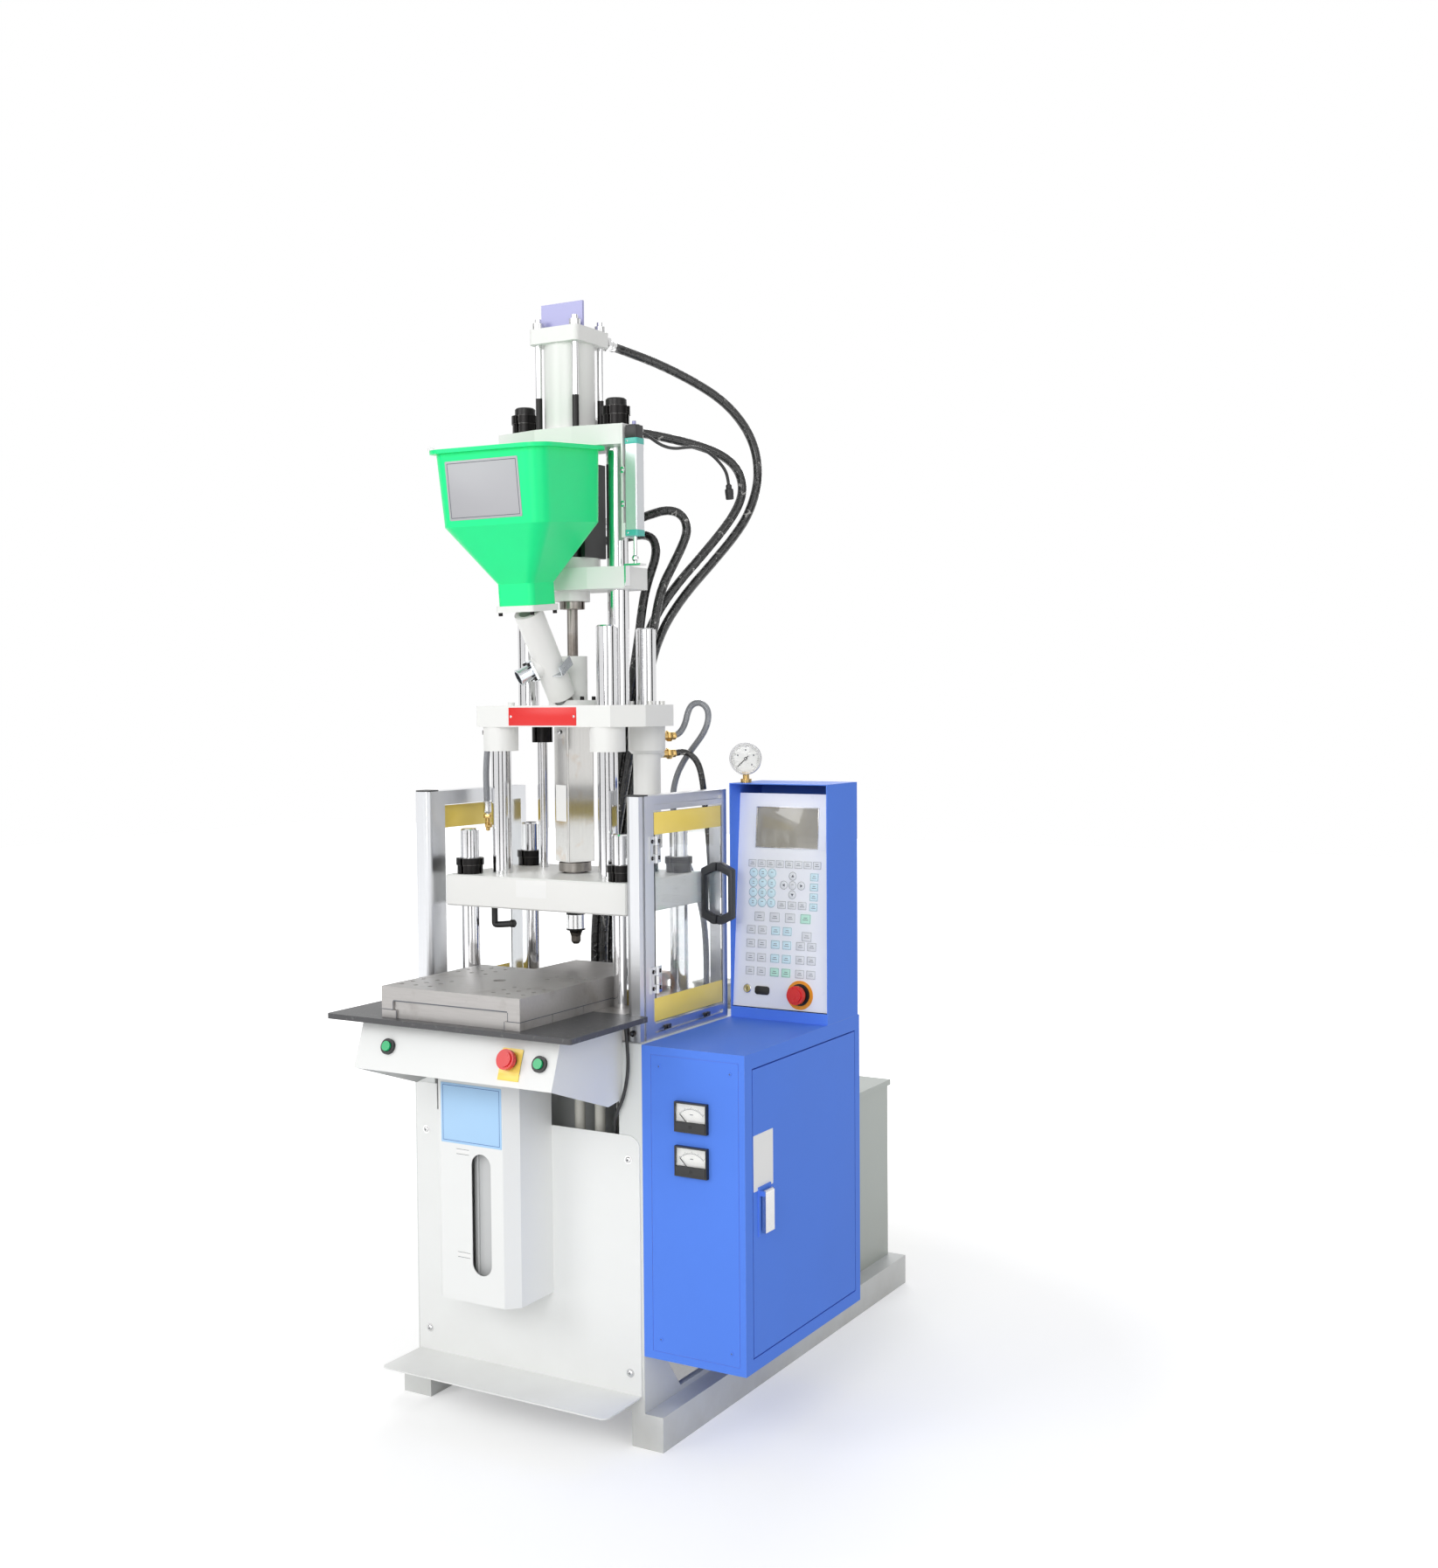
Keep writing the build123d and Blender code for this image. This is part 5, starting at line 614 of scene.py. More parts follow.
def ground(name, tint, roughness, stretch, strength=0.25, lines=0.06, stain=None, cover=0.4, **sockets):
    """Machined or drawn metal: fine lines along the work, with stains where it has them."""
    finish = Finish(name, tint, roughness, 1.0, **sockets)
    grain = finish.group("Ground lines", Scale=1.0, Stretch=stretch, Strength=strength, Roughness=roughness)
    finish.rough(grain.outputs["Roughness"])
    if stain:
        finish.group("Blotches", Stain=stain, Scale=14.0, Cover=cover, Softness=0.30)
    finish.bump(grain.outputs["Height"], lines, 0.0003)
    finishes[name] = finish.material
    return finish


def moulded(name, tint, roughness, grain=(1400.0, 0.12), tone=0.06, **sockets):
    """Moulded plastic: slight clouds and a fine moulded grain."""
    finish = Finish(name, tint, roughness, **sockets)
    cloud = finish.group("Cloudy tone", Scale=18.0, Tone=tone, Roughness=roughness, Spread=0.12)
    finish.rough(cloud.outputs["Roughness"])
    finish.bump(finish.group("Fine texture", Scale=grain[0]).outputs["Height"], grain[1], 0.0003)
    finishes[name] = finish.material
    return finish


BLACK = (0.018, 0.018, 0.019)
BRASS = (0.62, 0.42, 0.16)
CHROME = (0.72, 0.72, 0.73)
NITRIDED = (0.30, 0.28, 0.26)
STEEL = (0.66, 0.66, 0.66)
# Heights of the cabinet's rows of switches and of the cable ducts between them
switch_rows = (290.0, 430.0, 570.0, 690.0)
duct_rows = (355.0, 500.0, 630.0)


def plain_finishes(c):
    """Finishes that are the same all over a piece."""
    painted("white_paint", tuple(c.white), 0.36, (520.0, 0.10), chip=(0.45, 0.45, 0.44))
    painted("cover_paint", tuple(c.cover), 0.46, (1500.0, 0.16), dust=0.25)
    painted("body_paint", tuple(c.body), 0.42, (420.0, 0.12), dust=0.55, chip=(0.35, 0.34, 0.32))
    painted("tank_paint", tuple(c.tank), 0.42, (380.0, 0.14), 0.10, dust=0.5, chip=(0.30, 0.29, 0.27))
    painted("pump_paint", tuple(c.cream), 0.40, (420.0, 0.14), 0.08)
    painted("blue_paint", tuple(c.blue), 0.42, (700.0, 0.10), 0.10, chip=(0.30, 0.36, 0.60),
            Specular_IOR_Level=0.05)
    painted("black_paint", BLACK, 0.34, (600.0, 0.14), 0.3)
    plate = painted("dark_plate", (0.060, 0.060, 0.064), 0.40, (900.0, 0.20), 0.5, chip=(0.22, 0.22, 0.23))
    plate.group("Blotches", Stain=(0.13, 0.13, 0.135), Scale=90.0, Cover=0.42, Softness=0.12)
    machined = ground("machined_steel", (0.42, 0.405, 0.395), 0.40, (14.0, 160.0, 160.0), 0.35, 0.10,
                      (0.26, 0.235, 0.215), 0.46)
    machined.shader.inputs["Metallic"].default_value = 0.55
    ground("nitrided_steel", NITRIDED, 0.36, (30.0, 30.0, 700.0), 0.3, 0.08, (0.12, 0.09, 0.07), 0.5)
    sheet = ground("stainless_sheet", (0.66, 0.65, 0.63), 0.16, (260.0, 260.0, 5.0), 0.10, 0.03)
    sheet.group("Blotches", Stain=(0.58, 0.43, 0.30), Scale=26.0, Cover=0.42, Softness=0.35)
    ground("zinc_plate", (0.62, 0.65, 0.68), 0.24, (60.0, 60.0, 60.0), 0.25, 0.06, (0.70, 0.66, 0.50), 0.42)
    ground("hard_chrome", CHROME, 0.09, (14.0, 14.0, 900.0), 0.10, 0.02)
    ground("aluminium_profile", (0.64, 0.65, 0.67), 0.32, (700.0, 700.0, 4.0), 0.16, 0.04)
    nut = ground("black_oxide", (0.022, 0.021, 0.021), 0.34, (200.0, 200.0, 200.0), 0.25, 0.08)
    nut.group("Edge rub", Bare=(0.30, 0.29, 0.28), Width=0.0012, Amount=0.7)
    moulded("black_plastic", BLACK, 0.42)
    moulded("grip_plastic", (0.040, 0.042, 0.048), 0.46)
    moulded("green_plastic", (0.010, 0.46, 0.16), 0.22, (300.0, 0.03))
    moulded("red_plastic", (0.70, 0.022, 0.024), 0.28, (600.0, 0.06))
    moulded("keypad_film", (0.90, 0.92, 0.97), 0.30, (1200.0, 0.05), 0.05)
    moulded("white_plastic", (0.78, 0.78, 0.78), 0.34, (900.0, 0.06))
    moulded("key_white", (0.80, 0.82, 0.85), 0.30, (900.0, 0.04))
    moulded("key_blue", tuple(c.key_blue), 0.30, (900.0, 0.04))
    moulded("key_green", tuple(c.key_green), 0.30, (900.0, 0.04))
    moulded("key_mark", (0.10, 0.11, 0.13), 0.40)
    moulded("hopper_green", tuple(c.hopper), 0.36, (160.0, 0.05), 0.07, Specular_IOR_Level=0.30,
            Subsurface_Weight=0.18, Subsurface_Scale=0.006, Subsurface_Radius=(0.4, 1.0, 0.5))
    moulded("teal_plastic", tuple(c.teal), 0.34)
    moulded("rubber_black", (0.014, 0.014, 0.014), 0.5, (500.0, 0.2))
    moulded("yellow_film", tuple(c.yellow), 0.30, (900.0, 0.05))
    moulded("orange_film", tuple(c.orange), 0.30, (900.0, 0.05))
    moulded("paper_label", (0.88, 0.88, 0.87), 0.45, (1500.0, 0.05), 0.03)
    moulded("label_line", (0.05, 0.13, 0.42), 0.45)
    moulded("dial_white", (0.82, 0.82, 0.80), 0.40, (1200.0, 0.03), 0.02)
    painted("red_plate", tuple(c.red), 0.30, (700.0, 0.06), 0.05)
    painted("slot_grey", (0.62, 0.63, 0.63), 0.45, (900.0, 0.10), 0.06)
    painted("pale_blue_plate", tuple(c.pale_blue), 0.34, (900.0, 0.05), 0.05)
    painted("lavender_plate", tuple(c.lavender), 0.26, (700.0, 0.05), 0.08)
    painted("plain_plate", (0.40, 0.40, 0.42), 0.48, (900.0, 0.06), 0.06, metallic=0.25)
    ground("dark_steel", (0.40, 0.40, 0.41), 0.20, (90.0, 90.0, 90.0), 0.15, 0.04)
    ground("bright_steel", STEEL, 0.22, (90.0, 90.0, 90.0), 0.15, 0.04)
    ground("brass", BRASS, 0.26, (80.0, 80.0, 80.0), 0.2, 0.05, (0.36, 0.24, 0.10), 0.4)
    glass = moulded("clear_sheet", (0.97, 0.985, 0.985), 0.03, (40.0, 0.004), 0.01, IOR=1.49)
    glass.shader.inputs["Transmission Weight"].default_value = 1.0
    lens = moulded("clear_lens", (1.0, 1.0, 1.0), 0.02, (60.0, 0.003), 0.01, IOR=1.30)
    lens.shader.inputs["Transmission Weight"].default_value = 1.0
    moulded("screen_glass", (0.34, 0.32, 0.27), 0.09, (30.0, 0.01), 0.35, Coat_Weight=0.5,
            Coat_Roughness=0.03)
    hose = moulded("hose_rubber", (0.016, 0.016, 0.016), 0.20, (700.0, 0.1), 0.15, Coat_Weight=0.3,
                   Coat_Roughness=0.08)
    film = hose.group("Film wrinkle and painted glint", Scale=46.0)
    # The paler colour on the film's crests is a painted highlight
    hose.zone(film.outputs["Painted glint"], (0.46, 0.45, 0.43))
    hose.bump(film.outputs["Height"], 0.55, 0.0014)
    moulded("cable_sheath", (0.020, 0.020, 0.021), 0.38, (900.0, 0.1))
    clear = moulded("clear_hose", (0.24, 0.25, 0.27), 0.22, (300.0, 0.2), 0.4, Coat_Weight=0.6,
                    Coat_Roughness=0.1)
    clear.bump(clear.group("Film wrinkle and painted glint", Scale=90.0).outputs["Height"], 0.35, 0.0010)


def zoned_finishes(c):
    """Finishes of nodes that hold parts of several materials."""
    barrel = painted("cylinder_paint", tuple(c.white), 0.36, (520.0, 0.10))
    tie, rod_r, nut_r, head_low_z, head_top_z = 47, 9, 15, 2261.5, 2294.5
    for x, y in corners(tie, tie):
        rod = barrel.region((x - rod_r, y - rod_r, 2081), (x + rod_r, y + rod_r, head_low_z))
        barrel.zone(rod, STEEL, 1.0, 0.16)
        nut = barrel.region((x - nut_r, y - nut_r, head_top_z), (x + nut_r, y + nut_r, 2330))
        barrel.zone(nut, STEEL, 1.0, 0.3)
    barrel.zone(barrel.region((-60, -31, head_top_z), (60, -17, 2352)), tuple(c.lavender), 0.0, 0.28)
    for low, high in (((10, 63, 2255), (70, 100, 2300)), ((0, 54.5, 2085), (45, 100, 2125))):
        barrel.zone(barrel.region(low, high), STEEL, 1.0, 0.3)
    carriage = painted("carriage_paint", tuple(c.white), 0.36, (520.0, 0.10))
    carriage.zone(carriage.region((100, 40, 1498.2), (176, 112, 1512)), (0.72, 0.72, 0.70), 0.6, 0.4)
    carriage.zone(carriage.region((155, 105, 1380), (172, 126, 1442)), BRASS, 1.0, 0.3)
    panel = painted("panel_paint", (0.66, 0.66, 0.62), 0.40, (700.0, 0.10), 0.06)
    sheet_x, switch_half, duct_half = 334.3, 36, 16
    for z in switch_rows:
        row = panel.region((sheet_x, -150, z - switch_half), (410, 300, z + switch_half))
        panel.zone(row, (0.045, 0.045, 0.050), 0.0, 0.42)
    for z in duct_rows:
        duct = panel.region((sheet_x, -152, z - duct_half), (380, 300, z + duct_half))
        panel.zone(duct, (0.40, 0.42, 0.45), 0.0, 0.5)
    cases = moulded("instrument_case", (0.016, 0.016, 0.017), 0.36)
    cases.zone(cases.region((260, 150, 1336), (360, 250, 1440)), (0.70, 0.70, 0.70), 1.0, 0.12)
    cases.zone(cases.region((290, 180, 1320), (334, 224, 1350)), BRASS, 1.0, 0.26)
    ends = moulded("transducer_case", (0.66, 0.68, 0.70), 0.32)
    ends.shader.inputs["Metallic"].default_value = 0.45
    ends.zone(ends.region((160, -60, 2049.5), (210, 20, 2090)), BLACK, 0.0, 0.4)
    drawn = ends.group("Fine texture", Scale=1.0, Stretch=(900.0, 900.0, 2.0))
    ends.bump(drawn.outputs["Height"], 0.25, 0.0006)
    rods = ground("rod_chrome", CHROME, 0.09, (14.0, 14.0, 900.0), 0.10, 0.02)
    rods.zone(rods.region((-160, -60, 2082.5), (160, 60, 2150)), (0.024, 0.023, 0.023), 0.7, 0.36)
    nozzle = ground("nozzle_steel", NITRIDED, 0.36, (30.0, 30.0, 700.0), 0.3, 0.08, (0.12, 0.09, 0.07), 0.5)
    for low, high, tint, rough in ((975, 1006, (0.10, 0.09, 0.08), 0.45),
                                   (1006, 1016, (0.02, 0.02, 0.02), 0.4), (1016, 1046, STEEL, 0.14),
                                   (1046, 1060, (0.02, 0.02, 0.02), 0.4)):
        nozzle.zone(nozzle.region((-40, -40, low), (40, 40, high)), tint, 1.0, rough)
    return {"barrel": nozzle.material, "injection_rods": rods.material,
            "injection_cylinder": barrel.material, "carriage_plate": carriage.material,
            "instrument_cases": cases.material, "mounting_panel": panel.material,
            "transducer": ends.material}


class MACHINE_OT_finishes(bpy.types.Operator):
    """Builds the finishes and gives them to the machine's solids"""
    bl_idname = "machine.finishes"
    bl_label = "Finishes"

    def execute(self, context):
        build_groups()
        plain_finishes(context.scene.machine_colours)
        finishes.update(zoned_finishes(context.scene.machine_colours))
        finishes["latch_lever"] = finishes["bright_steel"]
        finishes["cooling_hose"] = finishes["clear_hose"]
        finishes["seat_hose_high"] = finishes["clear_hose"]
        for name, part in nodes.items():
            finish = finishes.get(name) or finishes[slot_of[name]]
            for holder in part.material_slots:
                holder.material = finish
        return {"FINISHED"}


# Hose routes in millimetres from the injection axis, the port's tip first
routes = {
    "hose_upper": ("carriage", 20.0, "object", [
        (40, 76.5, 2277), (40, 112.5, 2277), (58, 151, 2268), (86, 188, 2255), (122, 232, 2234),
        (163, 280, 2205), (200, 316, 2172), (230, 340, 2130), (249, 355, 2087), (259, 361, 2039),
        (260, 357, 1985), (247, 337, 1921), (227, 311, 1874), (194, 267, 1812), (162, 226, 1757),
        (132, 196, 1702), (106, 184, 1650), (82, 186, 1590), (56, 192, 1500), (30, 198, 1395),
        (10, 202, 1280), (-12, 204, 1160), (-36, 204, 1050), (-47, 205, 950), (-49, 205, 850),
        (-47, 205, 740), (-49, 205, 640)]),
    "hose_lower": ("carriage", 20.0, "object", [
        (22, 68, 2104), (22, 104, 2104), (36, 138, 2102), (62, 168, 2098), (98, 200, 2091),
        (136, 236, 2081), (172, 268, 2069), (203, 296, 2053), (226, 317, 2029), (237, 327, 1998),
        (238, 326, 1964), (229, 313, 1929), (212, 291, 1890), (178, 246, 1826), (144, 204, 1768),
        (112, 178, 1712), (84, 168, 1655), (60, 170, 1595), (32, 186, 1500), (6, 197, 1395),
        (-14, 202, 1280), (-37, 205, 1160), (-60, 204, 1050), (-71, 205, 950), (-73, 205, 850),
        (-71, 205, 740), (-73, 205, 640)]),
    "motor_hose_outer": ("crosshead", 20.0, "object", [
        (22, 80, 1893), (22, 110, 1893), (40, 136, 1897), (68, 154, 1905), (100, 164, 1916),
        (130, 173, 1924), (154, 185, 1920), (168, 195, 1903), (171, 198, 1877), (163, 190, 1846),
        (150, 170, 1802), (138, 150, 1762), (131, 138, 1720), (116, 142, 1660), (92, 152, 1590),
        (62, 166, 1500), (32, 174, 1395), (6, 178, 1280), (-20, 180, 1160), (-43, 181, 1050),
        (-50, 180, 950), (-49, 181, 850), (-50, 181, 740), (-49, 181, 640)]),
    "motor_hose_inner": ("crosshead", 20.0, "object", [
        (-22, 80, 1860), (-22, 110, 1860), (-8, 136, 1861), (14, 154, 1864), (42, 163, 1869),
        (72, 166, 1873), (96, 167, 1868), (110, 165, 1850), (114, 158, 1822), (110, 144, 1788),
        (105, 128, 1748), (101, 120, 1706), (88, 127, 1650), (66, 140, 1580), (36, 158, 1490),
        (6, 172, 1390), (-18, 178, 1280), (-44, 180, 1160), (-67, 181, 1050), (-74, 180, 950),
        (-73, 181, 850), (-74, 181, 740), (-73, 181, 640)]),
    "transducer_cable": ("carriage", 7.0, "connector", [
        (181, -11, 2066), (181, 1, 2066), (188, 22, 2058), (194, 56, 2045), (201, 96, 2042),
        (207, 142, 2051), (209, 188, 2056), (219, 222, 2045), (233, 246, 2022), (240, 258, 2000),
        (241, 260, 1976)]),
    "seat_hose_high": ("carriage", 14.0, "object", [
        (164.5, 121.9, 1430), (173.5, 137.49, 1430), (181, 150, 1440), (187, 158, 1460), (189, 163, 1480),
        (196, 166, 1496), (212, 169, 1503), (228, 172, 1496), (235, 175, 1480), (231, 178, 1456),
        (215, 181, 1430), (190, 185, 1404), (162, 189, 1374), (139, 192, 1336), (127, 196, 1288),
        (130, 202, 1235), (148, 208, 1165), (176, 211, 1095), (197, 209, 1020), (204, 206, 935),
        (202, 205, 840), (204, 205, 740), (202, 205, 640)]),
    "seat_hose_low": ("carriage", 14.0, "object", [
        (164.5, 121.9, 1392), (173.5, 137.49, 1392), (184, 147, 1396), (201, 158, 1389), (214, 167, 1368),
        (219, 174, 1332), (221, 180, 1280), (224, 186, 1190), (226, 194, 1090), (224, 202, 980),
        (226, 206, 860), (224, 205, 750), (226, 205, 640)]),
    "cooling_hose": ("carriage", 14.0, "fitting", [
        (-214, -23, 1440), (-214, -23, 1422), (-218, -23, 1385), (-220, -24, 1345), (-219, -23, 1300),
        (-218, -23, 1262)]),
    "console_cable": ("base", 7.0, "object", [
        (258, -202, 866), (258, -202, 854), (263, -204, 820), (265, -204, 782), (261, -204, 745),
        (251, -204, 708), (237, -204, 682), (227, -199, 660), (223, -187, 634), (221, -180, 596),
        (223, -174, 550)]),
}


def smooth_line(name, points, thick, finish):
    """A NURBS line with those control points and a round section."""
    data = bpy.data.curves.new(name, "CURVE")
    data.dimensions = "3D"
    data.resolution_u = 8
    data.bevel_depth = 1.0
    data.bevel_resolution = 5
    data.use_fill_caps = True
    line = data.splines.new("NURBS")
    line.points.add(len(points) - 1)
    for held, place in zip(line.points, points):
        held.co = (*place, 1.0)
        held.radius = thick / 2
    line.order_u = 3
    line.use_endpoint_u = True
    data.materials.append(finish)
    made = bpy.data.objects.new(name, data)
    bpy.context.scene.collection.objects.link(made)
    return made


def run_of(line):
    """Points along a line's own curve."""
    thick = line.data.bevel_depth
    line.data.bevel_depth = 0.0
    mesh = bpy.data.meshes.new_from_object(line)
    line.data.bevel_depth = thick
    points = [v.co.copy() for v in mesh.vertices]
    bpy.data.meshes.remove(mesh)
    return points


class MACHINE_OT_hoses(bpy.types.Operator):
    """Hydraulic hoses, cables and their crimped ends"""
    bl_idname = "machine.hoses"
    bl_label = "Hoses and cables"

    def execute(self, context):
        ferrule = context.scene.machine_sizes.ferrule / MM
        steel, brass, thickest_cable = finishes["bright_steel"], finishes["brass"], 10
        for name, (body, thick, far_end, points) in routes.items():
            finish = finishes.get(name) or finishes[slot_of[name]]
            places = [spot(*p) for p in points]
            line = smooth_line(name + "_run", places, thick * MM, finish)
            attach(line, body)
            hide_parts(name)
            trail = run_of(line)
            way = places[1] - places[0]
            r = thick / 2
            if thick > thickest_cable:
                end = Form(name + "_end")
                start = along(places[0], way)
                metal = brass if name.startswith("seat") else steel
                reach = min(ferrule, way.length / MM - 1)
                neck, crimp, groove = r * 1.05, r * 1.22, r * 1.16
                end.hexagon(start, thick * 1.5, -5, 7, metal, 0.3)
                end.turned(start, [(neck, 6), (crimp, 8), (crimp, reach * 0.4), (groove, reach * 0.45),
                                   (crimp, reach * 0.5), (crimp, reach * 0.9), (neck, reach), (r, reach)],
                           metal, 28)
                end.ride(body, "zinc_plate")
            if name == "transducer_cable":
                plug = Form("cable_connector")
                low = along(places[-1], places[-1] - places[-2])
                plug.turned(low, [(3.6, -6), (6.6, -3), (6.6, 4), (9.5, 6), (9.5, 17), (9.0, 18.5),
                                  (9.0, 26), (8.0, 28), (6.0, 28), (5.6, 20), (0, 20)],
                            finishes["black_plastic"], 28)
                plug.ride(body, "black_plastic")
            if name == "cooling_hose":
                tail = Form("cooling_hose_fitting")
                low = along(places[-1], places[-1] - places[-2])
                tail.turned(low, [(7.6, -26), (8.8, -25), (8.8, -3), (7.8, -1), (5.0, 0), (5.0, 6)],
                            steel, 28)
                tail.hexagon(low, 15, 3, 12, brass)
                tail.turned(low, [(5.2, 12), (5.2, 22), (6.6, 23), (6.6, 31), (5.0, 33), (5.0, 38),
                                  (3.0, 40), (0, 40)], brass, 28)
                tail.turned(along(spot(*points[-1]) - Vector((0, 0, 27)) * MM, (1, -0.4, 0)),
                            [(3.4, 0), (3.4, 9), (5.0, 10), (5.0, 15), (0, 16)], brass, 20)
                tail.ride(body, "zinc_plate")
        return {"FINISHED"}


def seen_rays(tree):
    """One for the camera's rays, reflections and what clear sheet lets through, zero for other light."""
    ray = node(tree, "LightPath")
    direct = maths(tree, "MAXIMUM", ray.outputs["Is Camera Ray"], ray.outputs["Is Glossy Ray"])
    return maths(tree, "MAXIMUM", direct, ray.outputs["Is Transmission Ray"])


class MACHINE_OT_stage(bpy.types.Operator):
    """Floor, world, lights, dark flags for reflections and the camera"""
    bl_idname = "machine.stage"
    bl_label = "Stage"

    def execute(self, context):
        scene = context.scene
        sizes = scene.machine_sizes
        scene.view_settings.view_transform = "Standard"
        floor = bpy.data.meshes.new("studio_floor")
        half, quad = 14, [(0, 1, 2, 3)]
        floor.from_pydata([(-half, -half, 0), (half, -half, 0), (half, half, 0), (-half, half, 0)], [], quad)
        ground_plane = bpy.data.objects.new("studio_floor", floor)
        scene.collection.objects.link(ground_plane)
        paint = bpy.data.materials.new("studio_floor")
        paint.use_nodes = True
        tree = paint.node_tree
        shader = tree.nodes["Principled BSDF"]
        shader.inputs["Base Color"].default_value = (*scene.machine_colours.floor, 1.0)
        shader.inputs["Roughness"].default_value = 0.9
        shader.inputs["Emission Color"].default_value = (1.0, 1.0, 1.0, 1.0)
        reach = node(tree, "VectorMath", operation="LENGTH")
        tree.links.new(node(tree, "TexCoord").outputs["Object"], reach.inputs[0])
        glow = node(tree, "MapRange", From_Min=1.0, From_Max=3.2, To_Min=0.30, To_Max=1.0)
        tree.links.new(reach.outputs["Value"], glow.inputs["Value"])
        shine = maths(tree, "MULTIPLY", seen_rays(tree), glow.outputs[0])
        tree.links.new(shine, shader.inputs["Emission Strength"])
        floor.materials.append(paint)

        world = bpy.data.worlds.new("studio_world")
        scene.world = world
        world.use_nodes = True
        tree = world.node_tree
        back = tree.nodes["Background"]
        lit, seen_more = 0.52, 0.48
        brighter = maths(tree, "MULTIPLY", seen_rays(tree), seen_more)
        tree.links.new(maths(tree, "ADD", brighter, lit), back.inputs["Strength"])
        back.inputs["Color"].default_value = (1.0, 1.0, 1.0, 1.0)

        lamps = (("key_light", (-2.6, -4.8, 3.4), (0, -0.1, 1.2), 2.6, 78.0),
                 ("front_light", (1.3, -5.2, 2.6), (0.2, 0, 1.1), 2.2, 74.0),
                 ("fill_light", (4.4, -2.6, 2.6), (0, 0, 1.2), 2.4, 28.0),
                 ("back_light", (-1.5, 3.8, 3.4), (0, 0, 1.3), 2.4, 60.0))
        for name, place, aim, wide, power in lamps:
            lamp = bpy.data.lights.new(name, "AREA")
            lamp.shape = "SQUARE"
            lamp.size = wide
            lamp.energy = power
            holder = bpy.data.objects.new(name, lamp)
            holder.location = place
            holder.rotation_euler = (Vector(aim) - Vector(place)).to_track_quat("-Z", "Y").to_euler()
            scene.collection.objects.link(holder)

        dark = bpy.data.materials.new("studio_flag")
        dark.use_nodes = True
        shader = dark.node_tree.nodes["Principled BSDF"]
        shader.inputs["Base Color"].default_value = (0.02, 0.02, 0.022, 1.0)
        shader.inputs["Roughness"].default_value = 1.0
        flags = (("flag_left", -4.6, -2.2, 1.5), ("flag_front", 0.4, -5.6, 1.0),
                 ("flag_right", 4.9, -4.6, 1.3), ("flag_far", 5.2, 1.2, 1.6),
                 ("flag_back", -3.0, 4.6, 1.4))
        for name, x, y, wide in flags:
            sheet = bpy.data.meshes.new(name)
            side = Vector((-y, x, 0)).normalized() * wide / 2
            foot = Vector((x, y, 0.05))
            top = Vector((0, 0, 4.0))
            sheet.from_pydata([foot - side, foot + side, foot + side + top, foot - side + top], [], quad)
            sheet.materials.append(dark)
            flag = bpy.data.objects.new(name, sheet)
            scene.collection.objects.link(flag)
            flag.visible_camera = False
            flag.visible_diffuse = False
            flag.visible_shadow = False
            flag.visible_transmission = False

        eye = bpy.data.cameras.new("camera")
        eye.lens = sizes.lens
        eye.sensor_width = 36.0
        eye.clip_end = 60.0
        turn, pitch, roll = sizes.turn, sizes.pitch, sizes.roll
        ahead = Vector((-math.sin(turn) * math.cos(pitch), math.cos(turn) * math.cos(pitch),
                        -math.sin(pitch)))
        level = Vector((math.cos(turn), math.sin(turn), 0))
        down = ahead.cross(level)
        across = level * math.cos(roll) + down * math.sin(roll)
        above = level * math.sin(roll) - down * math.cos(roll)
        stand = Matrix((across, above, -ahead)).transposed().to_4x4()
        stand.translation = Vector(sizes.camera)
        holder = bpy.data.objects.new("camera", eye)
        holder.matrix_world = stand
        scene.collection.objects.link(holder)
        scene.camera = holder
        return {"FINISHED"}


